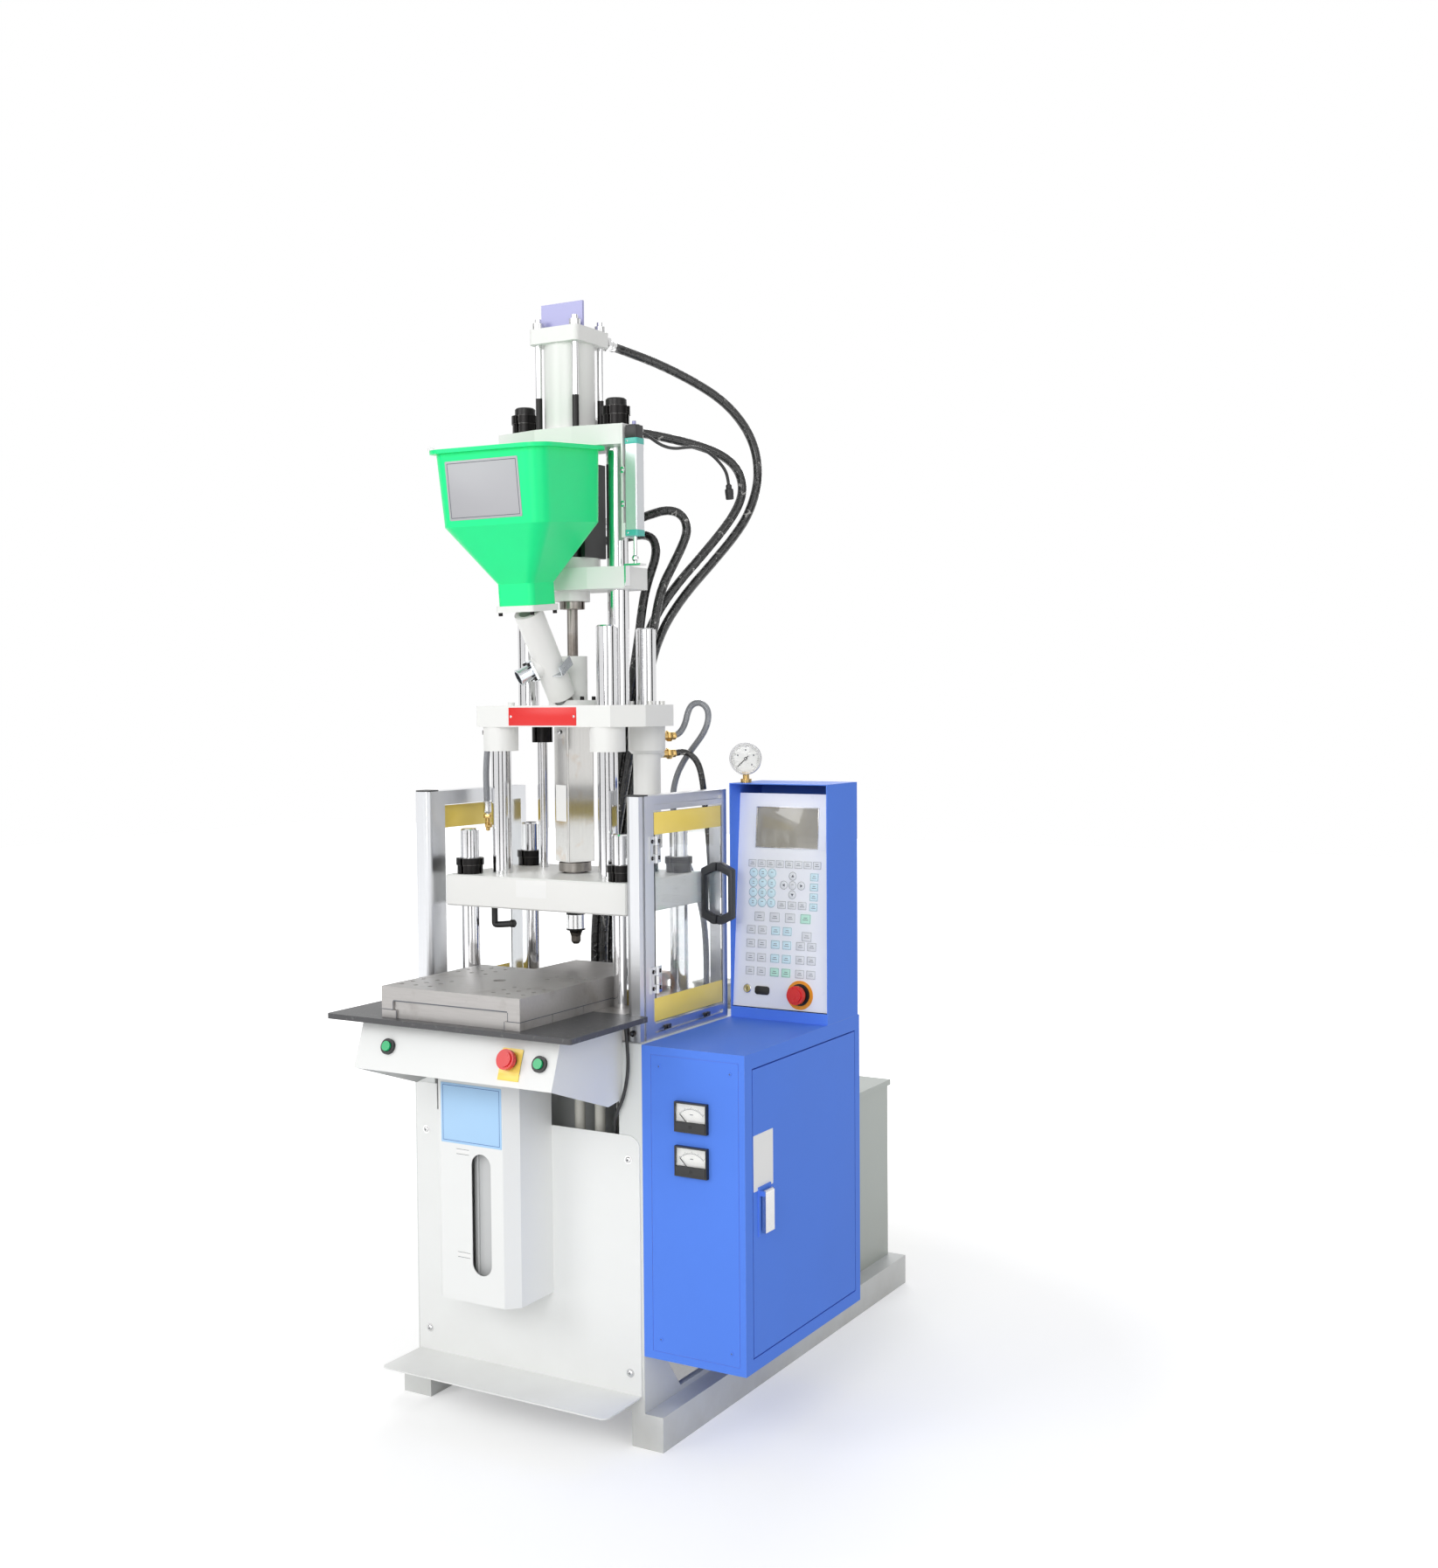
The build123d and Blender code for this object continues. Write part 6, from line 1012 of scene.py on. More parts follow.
class MACHINE_OT_hopper_trim(bpy.types.Operator):
    """Bare plate and wire eye on the hopper, screws under its flange, trim of the drain spout"""
    bl_idname = "machine.hopper_trim"
    bl_label = "Hopper trim"

    def execute(self, context):
        plate = context.scene.machine_sizes.plate / MM
        lean, turn = math.radians(5.0), math.radians(4.0)
        top_wide, low_wide, top_rise, low_rise = 259.0, 246.0, 311.0, 164.0
        draft = math.atan2(top_wide - low_wide, 2 * (top_rise - low_rise))
        neck = facing(spot(0, -162, 1706), (1, 0, 0), (0, math.cos(lean), math.sin(lean)))
        wall = shifted(neck, turn=turn)
        sheet_rise, wall_half, sheet_middle = 236.0, 126.2, -6.0
        out = wall @ Matrix.Translation(Vector((sheet_middle, -wall_half, sheet_rise)) * MM)
        face = out @ Matrix.Rotation(math.pi / 2 + draft, 4, "X")
        width, height, inset, line = 172.0, 118.0, 5.0, 1.2
        sign = Form("hopper_plate")
        sign.sheet(face, rounded(width, height, 3.0), -0.4, plate, finishes["plain_plate"], 0.3)
        sign.border(face, width, height, inset, line, plate, plate + 0.25, finishes["key_mark"])
        sign.ride("carriage", "stainless_sheet")

        rim_rise, rim_reach = 319.0, 135.0
        eye = Form("hopper_eye")
        rim = wall @ Matrix.Translation(Vector((-118.0, -rim_reach, rim_rise)) * MM)
        foot, wire, high = 6.0, 1.3, 6.6
        for side in (-foot, foot):
            eye.turned(shifted(rim, side), [(wire, -1.0), (wire, 7.0), (0, 7.6)],
                       finishes["bright_steel"], 12)
        bar = shifted(rim, -foot, 0, high) @ Matrix.Rotation(math.pi / 2, 4, "Y")
        eye.turned(bar, [(0, 0), (wire, 0), (wire, 2 * foot), (0, 2 * foot)], finishes["bright_steel"], 12)
        eye.ride("carriage", "zinc_plate")

        bolts = Form("hopper_flange_screws")
        flange_half, flange = 40.0, 13.0
        for x, y in corners(flange_half, flange_half):
            low = shifted(neck, x, y, -flange) @ Matrix.Rotation(math.pi, 4, "X")
            bolts.socket_screw(low, 9.0, 7.0, finishes["black_oxide"], finishes["rubber_black"])
        bolts.ride("carriage", "black_oxide")

        spout = Form("drain_spout_trim")
        chute_low, chute_top, share = Vector((0, -44, 1520)), Vector((0, -160, 1692)), 0.4
        way = Vector((-0.55, -0.70, -0.45)).normalized()
        level = Vector((way.y, -way.x, 0)).normalized()
        boss, plate_thick, tube_r, tube, corner = 38.0, 5.0, 16.5, 30.0, 16.5
        middle = chute_low.lerp(chute_top, share) + way * (boss + plate_thick)
        seat = facing(spot(*middle), level, way.cross(level))
        for x, y in corners(corner, corner):
            spout.socket_screw(shifted(seat, x, y), 8.0, 5.0, finishes["black_oxide"], finishes["key_mark"])
        bead, bore = tube_r + 1.2, tube_r - 1.6
        spout.turned(seat, [(tube_r, tube - 4), (bead, tube - 3.4), (bead, tube - 0.4),
                            (tube_r, tube + 0.3), (bore, tube + 0.3), (bore, tube - 4)],
                     finishes["zinc_plate"], 40, loop=True)
        spout.ride("carriage", "zinc_plate")
        return {"FINISHED"}


class MACHINE_OT_plates(bpy.types.Operator):
    """Bare plates and labels on the carriage, covers, platen, barrel and cabinet"""
    bl_idname = "machine.plates"
    bl_label = "Plates and labels"

    def execute(self, context):
        sizes = context.scene.machine_sizes
        plate, film = sizes.plate / MM, sizes.film / MM
        red = Form("name_plate")
        width, height, screw_in, line_in = 174.0, 38.0, 6.0, 4.0
        face = front(0, -115, 1475)
        red.slab(face, width, height, 0, plate, finishes["red_plate"], 0.4)
        for side in (-1, 1):
            red.pan_screw(shifted(face, side * (width / 2 - screw_in), 0, plate), 6.0,
                          finishes["bright_steel"], finishes["key_mark"])
            red.slab(face, width - 2 * line_in, 0.8, plate, plate + 0.3, finishes["red_plate"], 0.1,
                     (0, side * (height / 2 - line_in)))
        red.ride("carriage", "stainless_sheet")

        guide = Form("guide_plate")
        face = front(-31.5, -332, 671.5)
        width, height, inset, line = 153.0, 123.0, 5.0, 1.0
        guide.slab(face, width, height, 0, plate, finishes["pale_blue_plate"], 0.3)
        guide.border(face, width, height, inset, line, plate, plate + 0.2, finishes["label_line"])
        guide.ride("base", "stainless_sheet")

        rail = Form("slot_rail_cover")
        face = front(-8.5, -312, 469.5)
        rail.slab(face, 62.0, 274.0, 0, 1.5, finishes["slot_grey"], 0.3)
        rail.slab(face, 4.0, 274.0, 1.5, 6.0, finishes["slot_grey"], 0.4, (-20.0, 0))
        rail.ride("base", "cover_paint")

        tags = Form("slot_tags")
        for z in (594, 382):
            face = front(-54, -332, z)
            tags.slab(face, 34.0, 12.0, 0, film, finishes["paper_label"], 0.1)
            for side in (-1, 1):
                tags.slab(face, 32.0, 0.8, film, film + 0.15, finishes["key_mark"], 0, (0, side * 5.0))
        tags.ride("base", "cover_paint")

        for name, place, width, height, body in (
                ("platen_label", front(-5, -155, 1114.5), 78.0, 36.0, "clamp"),
                ("cabinet_label", right_side(526, -122, 601.5), 80.0, 111.0, "cabinet_door")):
            label = Form(name)
            label.sheet(place, rounded(width, height, 2.0, 3), 0, film, finishes["paper_label"])
            label.ride(body, "white_paint")

        turn = math.radians(-28.0)
        side = Vector((math.cos(turn), math.sin(turn), 0))
        out = Vector((math.sin(turn), -math.cos(turn), 0))
        cover_half = 32.0
        label = Form("barrel_label")
        x, y = (out * cover_half).to_tuple()[:2]
        face = facing(spot(x, y, 1288), side, (0, 0, 1))
        label.sheet(face, rounded(48.0, 78.0, 1.5, 3), 0, film, finishes["paper_label"])
        face = facing(spot(x, y, 1441), side, (0, 0, 1))
        label.sheet(face, rounded(18.0, 7.0, 3.4, 4), 0, 0.3, finishes["rubber_black"])
        label.pan_screw(shifted(face, -5.0, 0, 0.3), 11.0, finishes["bright_steel"], finishes["key_mark"])
        label.ride("carriage", "stainless_sheet")
        return {"FINISHED"}


class MACHINE_OT_keypad(bpy.types.Operator):
    """Display, keys, lock and switch ring of the control box"""
    bl_idname = "machine.keypad"
    bl_label = "Keypad"

    def execute(self, context):
        rise = context.scene.machine_sizes.key_rise / MM
        middle_x, low_y, low_z, high_y, high_z = 408.5, 172.0, 845.0, 210.0, 1305.0
        board = facing(spot(middle_x, low_y, low_z), (1, 0, 0), (0, high_y - low_y, high_z - low_z))
        slope = math.hypot(high_y - low_y, high_z - low_z) / (high_z - low_z)
        left_x, right_x, screen_low_z, screen_high_z = 343.0, 500.0, 1189.0, 1275.0
        glass_left_x, glass_right_x, lift = 337.0, 486.0, 1.2
        screen = Form("display")
        low, high = (screen_low_z - low_z) * slope, (screen_high_z - low_z) * slope
        wide, tall = right_x - left_x, high - low
        face = shifted(board, (left_x + right_x) / 2 - middle_x, (low + high) / 2)
        film = rounded(wide + 18.0, tall + 8.0, 5.0)
        screen.sheet(shifted(face, -4.0), film, 0, lift - 0.4, finishes["keypad_film"], 0.3)
        face = shifted(board, (glass_left_x + glass_right_x) / 2 - middle_x, (low + high) / 2, lift)
        wide, bezel = glass_right_x - glass_left_x, 2.2
        screen.slab(face, wide, tall, -1.0, 0.2, finishes["screen_glass"], 0.2)
        for way in (-1, 1):
            screen.slab(face, wide + bezel, bezel, -0.5, 0.7, finishes["dark_steel"], 0.3,
                        (0, way * tall / 2))
            screen.slab(face, bezel, tall, -0.5, 0.7, finishes["dark_steel"], 0.3, (way * wide / 2, 0))
        screen.ride("base", "black_plastic")

        keys = Form("keys")
        white, cyan = finishes["key_white"], finishes["key_blue"]
        green, mark = finishes["key_green"], finishes["key_mark"]
        draw_in, aside, print_top = 0.893, -2.1, rise + 0.12

        def square(u, v, width, height, finish, marks=2):
            """A key with rounded corners, its printed frame and marks."""
            place = shifted(board, draw_in * u + aside, v)
            keys.sheet(place, rounded(width, height, 2.2, 3), 0, rise, finish, 0.25)
            for way in (-1, 1):
                keys.slab(place, width - 1.6, 0.5, rise, print_top, mark, 0, (0, way * (height / 2 - 1.4)))
                keys.slab(place, 0.5, height - 2.4, rise, print_top, mark, 0, (way * (width / 2 - 1.2), 0))
            for i in range(marks):
                wide = width * (0.5 if i else 0.34)
                keys.slab(place, wide, 1.1, rise, print_top, mark, 0, (0, 2.0 - 4.0 * i))

        def disc(u, v, radius, finish, marks=1):
            """A round key, its printed ring and marks."""
            place = shifted(board, draw_in * u + aside, v)
            keys.turned(place, [(radius, 0), (radius, rise * 0.7), (radius * 0.95, rise), (0, rise)],
                        finish, 28)
            keys.ring(place, rounded(2 * radius - 1.0, 2 * radius - 1.0, radius - 0.5, 6), radius - 1.1,
                      rise, print_top, mark)
            for i in range(marks):
                keys.slab(place, radius * 0.5, 1.1, rise, print_top, mark, 0, (0, 2.0 - 4.0 * i))

        for i in range(8):
            square(-85.8 + 25.0 * i, 310.0, 20.0, 17.0, white)
        row_pitch = 21.2
        for row in range(4):
            for column in range(3):
                disc(-81.5 + 25.1 * column, 289.6 - row_pitch * row, 10.6, cyan, 1 + (row + column) % 2)
            square(82.9, 285.0 - row_pitch * row, 20.0, 17.5, cyan)
        cross, arrow_r = (25.2, 265.4), 9.6
        for turn in range(4):
            place = shifted(board, draw_in * cross[0] + aside, cross[1], turn=turn * math.pi / 2)
            reach = 19.8 if turn % 2 == 0 else 21.0
            tip = place @ Matrix.Translation(Vector((0, reach, 0)) * MM)
            keys.turned(tip, [(arrow_r, 0), (arrow_r, rise * 0.7), (9.1, rise), (0, rise)], white, 28)
            keys.ring(tip, rounded(18.2, 18.2, 9.1, 6), 8.5, rise, print_top, mark)
            keys.sheet(tip, [(-3.4, -2.2), (3.4, -2.2), (0, 3.6)], rise, print_top, mark)
        disc(*cross, arrow_r, white)
        for i in range(3):
            square(-2.4 + 27.7 * i, 222.9, 21.0, 17.5, white)
        for i in range(4):
            square(-61.6 + 41.5 * i, 195.5, 25.0, 21.0, green if i == 3 else white)
        for row in range(4):
            v = 166.6 - 29.6 * row
            for column, u in enumerate((-83.2, -52.3, -16.3, 15.0, 52.0, 82.0)):
                if row == 0 and column > 3:
                    continue
                finish = white if column not in (2, 3) else (green if row == 3 else cyan)
                square(u, v, 22.0, 19.0, finish)
        square(67.7, 158.0, 24.0, 21.0, white)
        keys.ride("base", "keypad_film")

        trim = Form("keypad_trim")
        lock = shifted(board, -81.0, 39.0)
        trim.turned(lock, [(9.5, 0), (9.5, 2.4), (8.4, 3.4), (6.2, 3.4), (6.0, 2.2), (0, 2.2)],
                    finishes["bright_steel"], 28)
        # The keyway is a dark slot of painted shade
        trim.slab(lock, 1.4, 8.0, 2.2, 2.35, finishes["rubber_black"], 0)
        trim.sheet(shifted(board, -44.6, 37.0), rounded(35.0, 18.0, 6.0), 0, 3.0,
                   finishes["rubber_black"], 0.6)
        stop_z = 878.0
        stop = shifted(board, 46.5, (stop_z - low_z) * slope)
        trim.ring(stop, rounded(62.0, 62.0, 31.0, 9), 14.6, 0, 1.2, finishes["orange_film"])
        trim.ride("base", "keypad_film")
        return {"FINISHED"}


class MACHINE_OT_meters(bpy.types.Operator):
    """Dials, masks and covers of the two panel meters"""
    bl_idname = "machine.meters"
    bl_label = "Panel meters"

    def execute(self, context):
        middle_x, front_y, half_x, half_z, room, wall = 408.0, -204.0, 37.0, 30.0, 6.0, 3.0
        for name, z in (("upper", 688.0), ("lower", 600.0)):
            face = front(middle_x, front_y, z)
            width, height = 2 * (half_x - wall), 2 * (half_z - wall)
            dial = Form("meter_dial_" + name)
            mask_top, dial_low, dial_top, mark_top = -9.0, -room + 0.1, -room + 0.5, -room + 0.62
            window = height / 2 - mask_top - 0.4
            window_middle = (0, (height / 2 + mask_top) / 2)
            dial.slab(face, width - 0.6, window, dial_low, dial_top, finishes["dial_white"], 0.1,
                      window_middle)
            pin = shifted(face, 0, -20.0)
            sweep, arc, ticks, mark = math.radians(88), 36.0, 21, finishes["key_mark"]
            for i in range(ticks):
                turn = sweep * (0.5 - i / (ticks - 1))
                tall = 4.6 if i % 5 == 0 else 2.6
                tick = shifted(pin, turn=turn)
                dial.slab(tick, 0.6, tall, dial_top, mark_top, mark, 0, (0, arc + tall / 2))
                dial.slab(tick, sweep * arc / (ticks - 1), 0.5, dial_top, mark_top, mark, 0, (0, arc))
            dial.slab(pin, 7.0, 1.6, dial_top, mark_top, mark, 0, (0, 26.0))
            dial.ride("base", "white_paint")

            mask = Form("meter_mask_" + name)
            low, proud, black = -height / 2, 1.2, finishes["black_plastic"]
            middle = (low + mask_top) / 2
            mask.sheet(shifted(face, 0, middle), rounded(width - 0.4, mask_top - low - 0.3, 2.0, 3), -3.2,
                       proud, black, 0.5)
            mask.pan_screw(shifted(face, 0, middle, proud), 7.0, black, finishes["rubber_black"])
            for side in (-1, 1):
                mask.slab(face, 2.4, height - 1.0, -0.2, 0.8, black, 0.3, (side * (half_x - 1.6), 0))
            mask.ride("base", "black_plastic")

            pane = Form("meter_pane_" + name)
            pane.slab(face, width - 0.6, window, -1.6, -0.4, finishes["clear_lens"], 0.2, window_middle)
            pane.ride("base", "clear_sheet")
        return {"FINISHED"}


class MACHINE_OT_gauge(bpy.types.Operator):
    """Dial, lens and bezel of the pressure gauge"""
    bl_idname = "machine.gauge"
    bl_label = "Pressure gauge"

    def execute(self, context):
        turn, radius, room, rim, deep = math.radians(25.0), 34.0, 9.0, 3.0, 28.0
        side, out = (math.cos(turn), math.sin(turn), 0), Vector((math.sin(turn), -math.cos(turn), 0))
        face = facing(spot(312, 202, 1380) + out * deep / 2 * MM, side, (0, 0, 1))
        dial = Form("gauge_dial")
        dial_r, dial_top, mark_top = radius - rim - 0.3, -room + 0.6, -room + 0.75
        mark = finishes["key_mark"]
        dial.turned(face, [(dial_r, -room + 0.1), (dial_r, dial_top), (0, dial_top)],
                    finishes["dial_white"], 48)
        steps, figures, first, sweep, tick_r, figure_r = 41, 5, 135, 270, 28.0, 18.5
        for i in range(steps):
            way = math.radians(first - sweep * i / (steps - 1))
            tall = 5.0 if i % 10 == 0 else (3.6 if i % 5 == 0 else 2.4)
            dial.slab(shifted(face, turn=way), 0.7 if i % 5 == 0 else 0.45, tall, dial_top, mark_top,
                      mark, 0, (0, tick_r - tall / 2))
        for i in range(figures):
            way = math.radians(first - sweep * i / (figures - 1))
            place = shifted(face, math.sin(-way) * figure_r, math.cos(way) * figure_r)
            dial.slab(place, 3.2, 3.6, dial_top, mark_top, mark, 0)
        dial.ride("base", "white_paint")
        bezel = Form("gauge_bezel")
        outer, inner = radius + 1.0, radius - rim + 0.2
        bezel.turned(face, [(radius + 0.1, -7.0), (outer, -6.2), (outer, -0.6), (radius, 1.0),
                            (radius - rim + 0.6, 1.0), (inner, 0.2), (inner, -0.2), (radius - 0.4, -0.3),
                            (radius - 0.1, -7.0)], finishes["dark_steel"], 56, loop=True)
        bezel.ride("base", "zinc_plate")
        lens = Form("gauge_lens")
        lens_r = radius - rim - 0.2
        lens.turned(face, [(0, -1.8), (lens_r, -1.8), (lens_r, -0.6), (radius * 0.5, 0.3), (0, 0.6)],
                    finishes["clear_lens"], 48)
        lens.ride("base", "clear_sheet")
        return {"FINISHED"}


class MACHINE_OT_fasteners(bpy.types.Operator):
    """Screws of the front cover, the feed throat's flange and the cabinet's front"""
    bl_idname = "machine.fasteners"
    bl_label = "Fasteners"

    def execute(self, context):
        head = context.scene.machine_sizes.screw / MM
        steel, dark, oxide = finishes["bright_steel"], finishes["key_mark"], finishes["black_oxide"]
        cover = Form("cover_screws")
        for x, z in ((-259, 588), (259, 586), (-257, 154), (259, 151)):
            cover.turned(front(x, -198, z), [(head * 0.75, 0), (head * 0.75, 0.8), (0, 0.8)], steel, 28)
            cover.pan_screw(front(x, -198.8, z), head, steel, dark)
        cover.ride("base", "zinc_plate")
        feed = Form("feed_flange_screws")
        reach, top_z = 44.0, 1509.0
        for i in range(6):
            turn = math.radians(30 + 60 * i)
            place = upward(reach * math.cos(turn), reach * math.sin(turn), top_z)
            feed.socket_screw(place, 9.0, 8.0, oxide, dark)
        feed.ride("carriage", "black_oxide")
        inset = Form("cabinet_front_screws")
        for x in (332.0, 494.0):
            for z in (232.0, 782.0):
                inset.pan_screw(front(x, -195, z), 8.0, finishes["blue_paint"], dark)
        inset.ride("base", "blue_paint")
        return {"FINISHED"}


class MACHINE_OT_guards(bpy.types.Operator):
    """Strips, caps, clips, hinges and handles of the side guards"""
    bl_idname = "machine.guards"
    bl_label = "Side guards"

    def execute(self, context):
        film = context.scene.machine_sizes.film / MM
        yellow, black, steel = finishes["yellow_film"], finishes["black_plastic"], finishes["bright_steel"]
        oxide, dark = finishes["black_oxide"], finishes["key_mark"]
        outer_x, inner_x, axle_x = 284.0, 279.0, 288.5
        door = Form("door_strips")
        for low_y, high_y, low_z, high_z in ((-130, 138, 1236, 1281), (-134, 140, 857, 904)):
            place = right_side(outer_x, (low_y + high_y) / 2, (low_z + high_z) / 2)
            door.slab(place, high_y - low_y, high_z - low_z, 0.02, film, yellow, 0.1)
        door.ride("guard_door", "clear_sheet")
        left = Form("left_strips")
        for low_z, high_z in ((1232, 1281), (857, 904)):
            place = right_side(-279, 0, (low_z + high_z) / 2)
            left.slab(place, 262.0, high_z - low_z, 0.02, film, yellow, 0.1)
        left.ride("base", "clear_sheet")
        caps = Form("guard_caps")
        foot_z, top_z, middle_y, middle_x, side = 822.0, 1315.0, -169.0, 267.0, 34.5
        for way in (-1, 1):
            caps.slab(upward(way * middle_x, middle_y, top_z), side, side, 0, 3.0, black, 0.8)
        caps.ride("base", "black_plastic")
        clips, clip_z, clip_high = Form("guard_clips"), 840, 4.0
        for y in (-87, 71):
            clips.slab(right_side(outer_x, y, clip_z), 24.0, 9.0, 0, clip_high, black, 0.8)
            clips.socket_screw(right_side(outer_x + clip_high, y - 4, clip_z), 6.0, 3.0, oxide, dark)
        for way in (-1, 1):
            clips.socket_screw(front(way * middle_x, -187, foot_z + 18), 12.0, 5.0, oxide, dark)
        hinge_y, leaf_z, leaf_face, screw_rise = -129.0, (1206.0, 942.0), 286.5, 17.0
        for z in leaf_z:
            for rise in (-screw_rise, screw_rise):
                clips.pan_screw(right_side(leaf_face, hinge_y - 11.5, z + rise), 9.0, oxide, steel)
        clips.ride("base", "black_plastic")

        fittings = Form("door_fittings")
        leaf, leaf_low, leaf_high, tall, knuckle_r = 2.5, -122.5, -108.0, 54.0, 4.0
        for z in leaf_z:
            wing = right_side(outer_x, (leaf_low + leaf_high) / 2, z)
            fittings.slab(wing, leaf_high - leaf_low, tall, 0, leaf, steel, 0.6)
            fittings.slab(right_side(outer_x, hinge_y + 6.0, z), 11.0, tall / 3 - 0.6, 0.2, leaf, steel, 0.3)
            barrel = [(knuckle_r - 0.4, -8.7), (knuckle_r, -8.3), (knuckle_r, 8.3), (knuckle_r - 0.4, 8.7)]
            fittings.turned(upward(axle_x, hinge_y, z), barrel, steel, 24)
            for rise in (-screw_rise, screw_rise):
                fittings.pan_screw(right_side(leaf_face, hinge_y + 14.0, z + rise), 9.0, oxide, steel)
        half, reach, grip, foot, thick, handle_y, handle_z = 66.5, 38.0, 11.0, 19.0, 9.0, 128, 1092.5
        under, low = reach - grip, half - foot
        bow = [(0, -half), (10, -half), (reach, -half + 14), (reach, half - 14), (10, half), (0, half),
               (0, low), (8, low), (under, low - 9), (under, 9 - low), (8, -low), (0, -low)]
        for x, way in ((outer_x, 1), (inner_x, -1)):
            place = facing(spot(x, handle_y, handle_z), (way, 0, 0), (0, 0, 1))
            fittings.sheet(place, bow, -thick, thick, finishes["grip_plastic"], 2.6)
            for side in (-1, 1):
                bolt_z = handle_z + side * (half - 9)
                bolt = facing(spot(x + way * 10, handle_y, bolt_z), (0, way, 0), (0, 0, 1))
                fittings.turned(bolt, [(3.2, 0.0), (3.2, 0.5), (2.2, 0.7), (0, 0.3)],
                                finishes["rubber_black"], 16)
        fittings.ride("guard_door", "black_plastic")
        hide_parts("guard_door_fittings")
        return {"FINISHED"}


class MACHINE_OT_power_trim(bpy.types.Operator):
    """Fins, fan hood and boxes of the pump motor, valves, breather and level glass of the tank"""
    bl_idname = "machine.power_trim"
    bl_label = "Power pack trim"

    def execute(self, context):
        cream, black, steel = finishes["pump_paint"], finishes["black_plastic"], finishes["bright_steel"]
        oxide, dark = finishes["black_oxide"], finishes["key_mark"]
        motor_y, motor_z, motor_r, left_x, right_x, pump_r = 640.0, 665.0, 95.0, -150.0, 140.0, 55.0
        motor = Form("motor_fins")
        fins, fin_high, fin_thick, fin_half = 40, 9.0, 3.0, 118.0
        middle = spot((left_x + right_x) / 2, motor_y, motor_z)
        for i in range(fins):
            turn = 2 * math.pi * i / fins
            out = Vector((0, math.cos(turn), math.sin(turn)))
            if out.z < -0.6:
                continue
            place = facing(middle + out * motor_r * MM, (1, 0, 0), out.cross(Vector((1, 0, 0))))
            motor.slab(place, 2 * fin_half, fin_thick, -1.0, fin_high, cream, 0.5)
        hood = along(spot(left_x, motor_y, motor_z), (-1, 0, 0))
        hood_r = motor_r + 6
        motor.turned(hood, [(motor_r + 4, -26), (hood_r, -25), (hood_r, 20), (motor_r, 30),
                            (motor_r * 0.6, 34), (0, 35)], cream, 48)
        # The dark rings on the fan hood are painted shade in its vent slots
        for i in range(4):
            radius, wide = 26.0 + 15.0 * i, 5
            slit = [(radius, 0), (radius + wide, 0), (radius + wide, 1.2), (radius, 1.6)]
            motor.turned(shifted(hood, z=31.4 if i == 3 else 33.0), slit, dark, 40, loop=True)
        flange = along(spot(right_x, motor_y, motor_z), (1, 0, 0))
        motor.turned(flange, [(motor_r + 4, -16), (motor_r + 4, 6), (motor_r, 9), (pump_r + 16, 10),
                              (pump_r + 14, 20), (pump_r, 20)], cream, 48)
        nut_r = 84
        for i in range(4):
            turn = math.radians(45 + 90 * i)
            seat = shifted(flange, nut_r * math.cos(turn), nut_r * math.sin(turn))
            motor.hexagon(seat, 16.0, 8, 17, steel)
        box, lid_low, lid_high = upward(-20, motor_y, motor_z + motor_r), 44, 50
        motor.slab(box, 96.0, 78.0, -6, lid_low, cream, 3.0)
        motor.slab(box, 102.0, 84.0, lid_low, lid_high, cream, 1.5)
        for x, y in corners(44, 35):
            motor.pan_screw(shifted(box, x, y, lid_high), 7.0, steel, dark)
        motor.ride("base", "pump_paint")

        valves = Form("valve_stack")
        valve_y, valve_z, foot, high = 425.0, 690.0, 14, 62
        for x in (-78, 0, 78):
            top = upward(x, valve_y, valve_z)
            valves.slab(top, 62.0, 82.0, -0.5, foot, oxide, 1.0)
            valves.slab(top, 48.0, 70.0, foot, high, finishes["zinc_plate"], 2.0)
            coil = along(spot(x, valve_y + 35, valve_z + 38), (0, 1, 0))
            valves.sheet(coil, rounded(44.0, 44.0, 6.0), -0.5, 42, black, 1.2)
            valves.turned(coil, [(12, 41), (12, 50), (10, 54), (0, 54)], steel, 24)
            valves.slab(upward(x, valve_y + 56, valve_z + 60), 28.0, 30.0, -1, 22, dark, 2.0)
            for dx, dy in corners(18, 28):
                valves.socket_screw(shifted(top, dx, dy, high), 8.0, 6.0, oxide, dark)
        valves.ride("base", "zinc_plate")

        tank = Form("tank_trim")
        lid_x, lid_low_y, lid_high_y, lid_z, rear_y = 190.0, 378.0, 834.0, 558.0, 975.0
        for x in (-lid_x, 0, lid_x):
            for y in (lid_low_y, lid_high_y):
                if x or y == lid_high_y:
                    tank.hexagon(upward(x, y, lid_z), 16.0, 0, 9, steel)
        cap, cap_r = upward(-150, 790, lid_z), 28.5
        tank.turned(cap, [(33, 0), (33, 5), (24, 6), (24, 14), (31, 16), (31, 36), (27, 41), (0, 42)],
                    steel, 36)
        for i in range(6):
            turn = i * math.pi / 3
            tank.pan_screw(shifted(cap, cap_r * math.cos(turn), cap_r * math.sin(turn), 5), 5.0, steel, dark)
        glass = facing(spot(150, rear_y, 380), (-1, 0, 0), (0, 0, 1))
        tank.slab(glass, 34.0, 150.0, 0, 5, finishes["zinc_plate"], 1.0)
        tank.slab(glass, 16.0, 96.0, 5, 9, finishes["dial_white"], 0.6)
        tank.slab(glass, 3.0, 92.0, 9, 9.4, finishes["red_plastic"], 0.1, (4, 0))
        for side in (-1, 1):
            tank.hexagon(shifted(glass, 0, side * 62), 15.0, 5, 11, steel)
        drain = facing(spot(-120, rear_y, 120), (-1, 0, 0), (0, 0, 1))
        tank.turned(drain, [(21, 0), (21, 5), (14, 6)], finishes["tank_paint"], 32)
        tank.hexagon(drain, 24.0, 5, 12, steel)
        tank.ride("base", "zinc_plate")
        return {"FINISHED"}


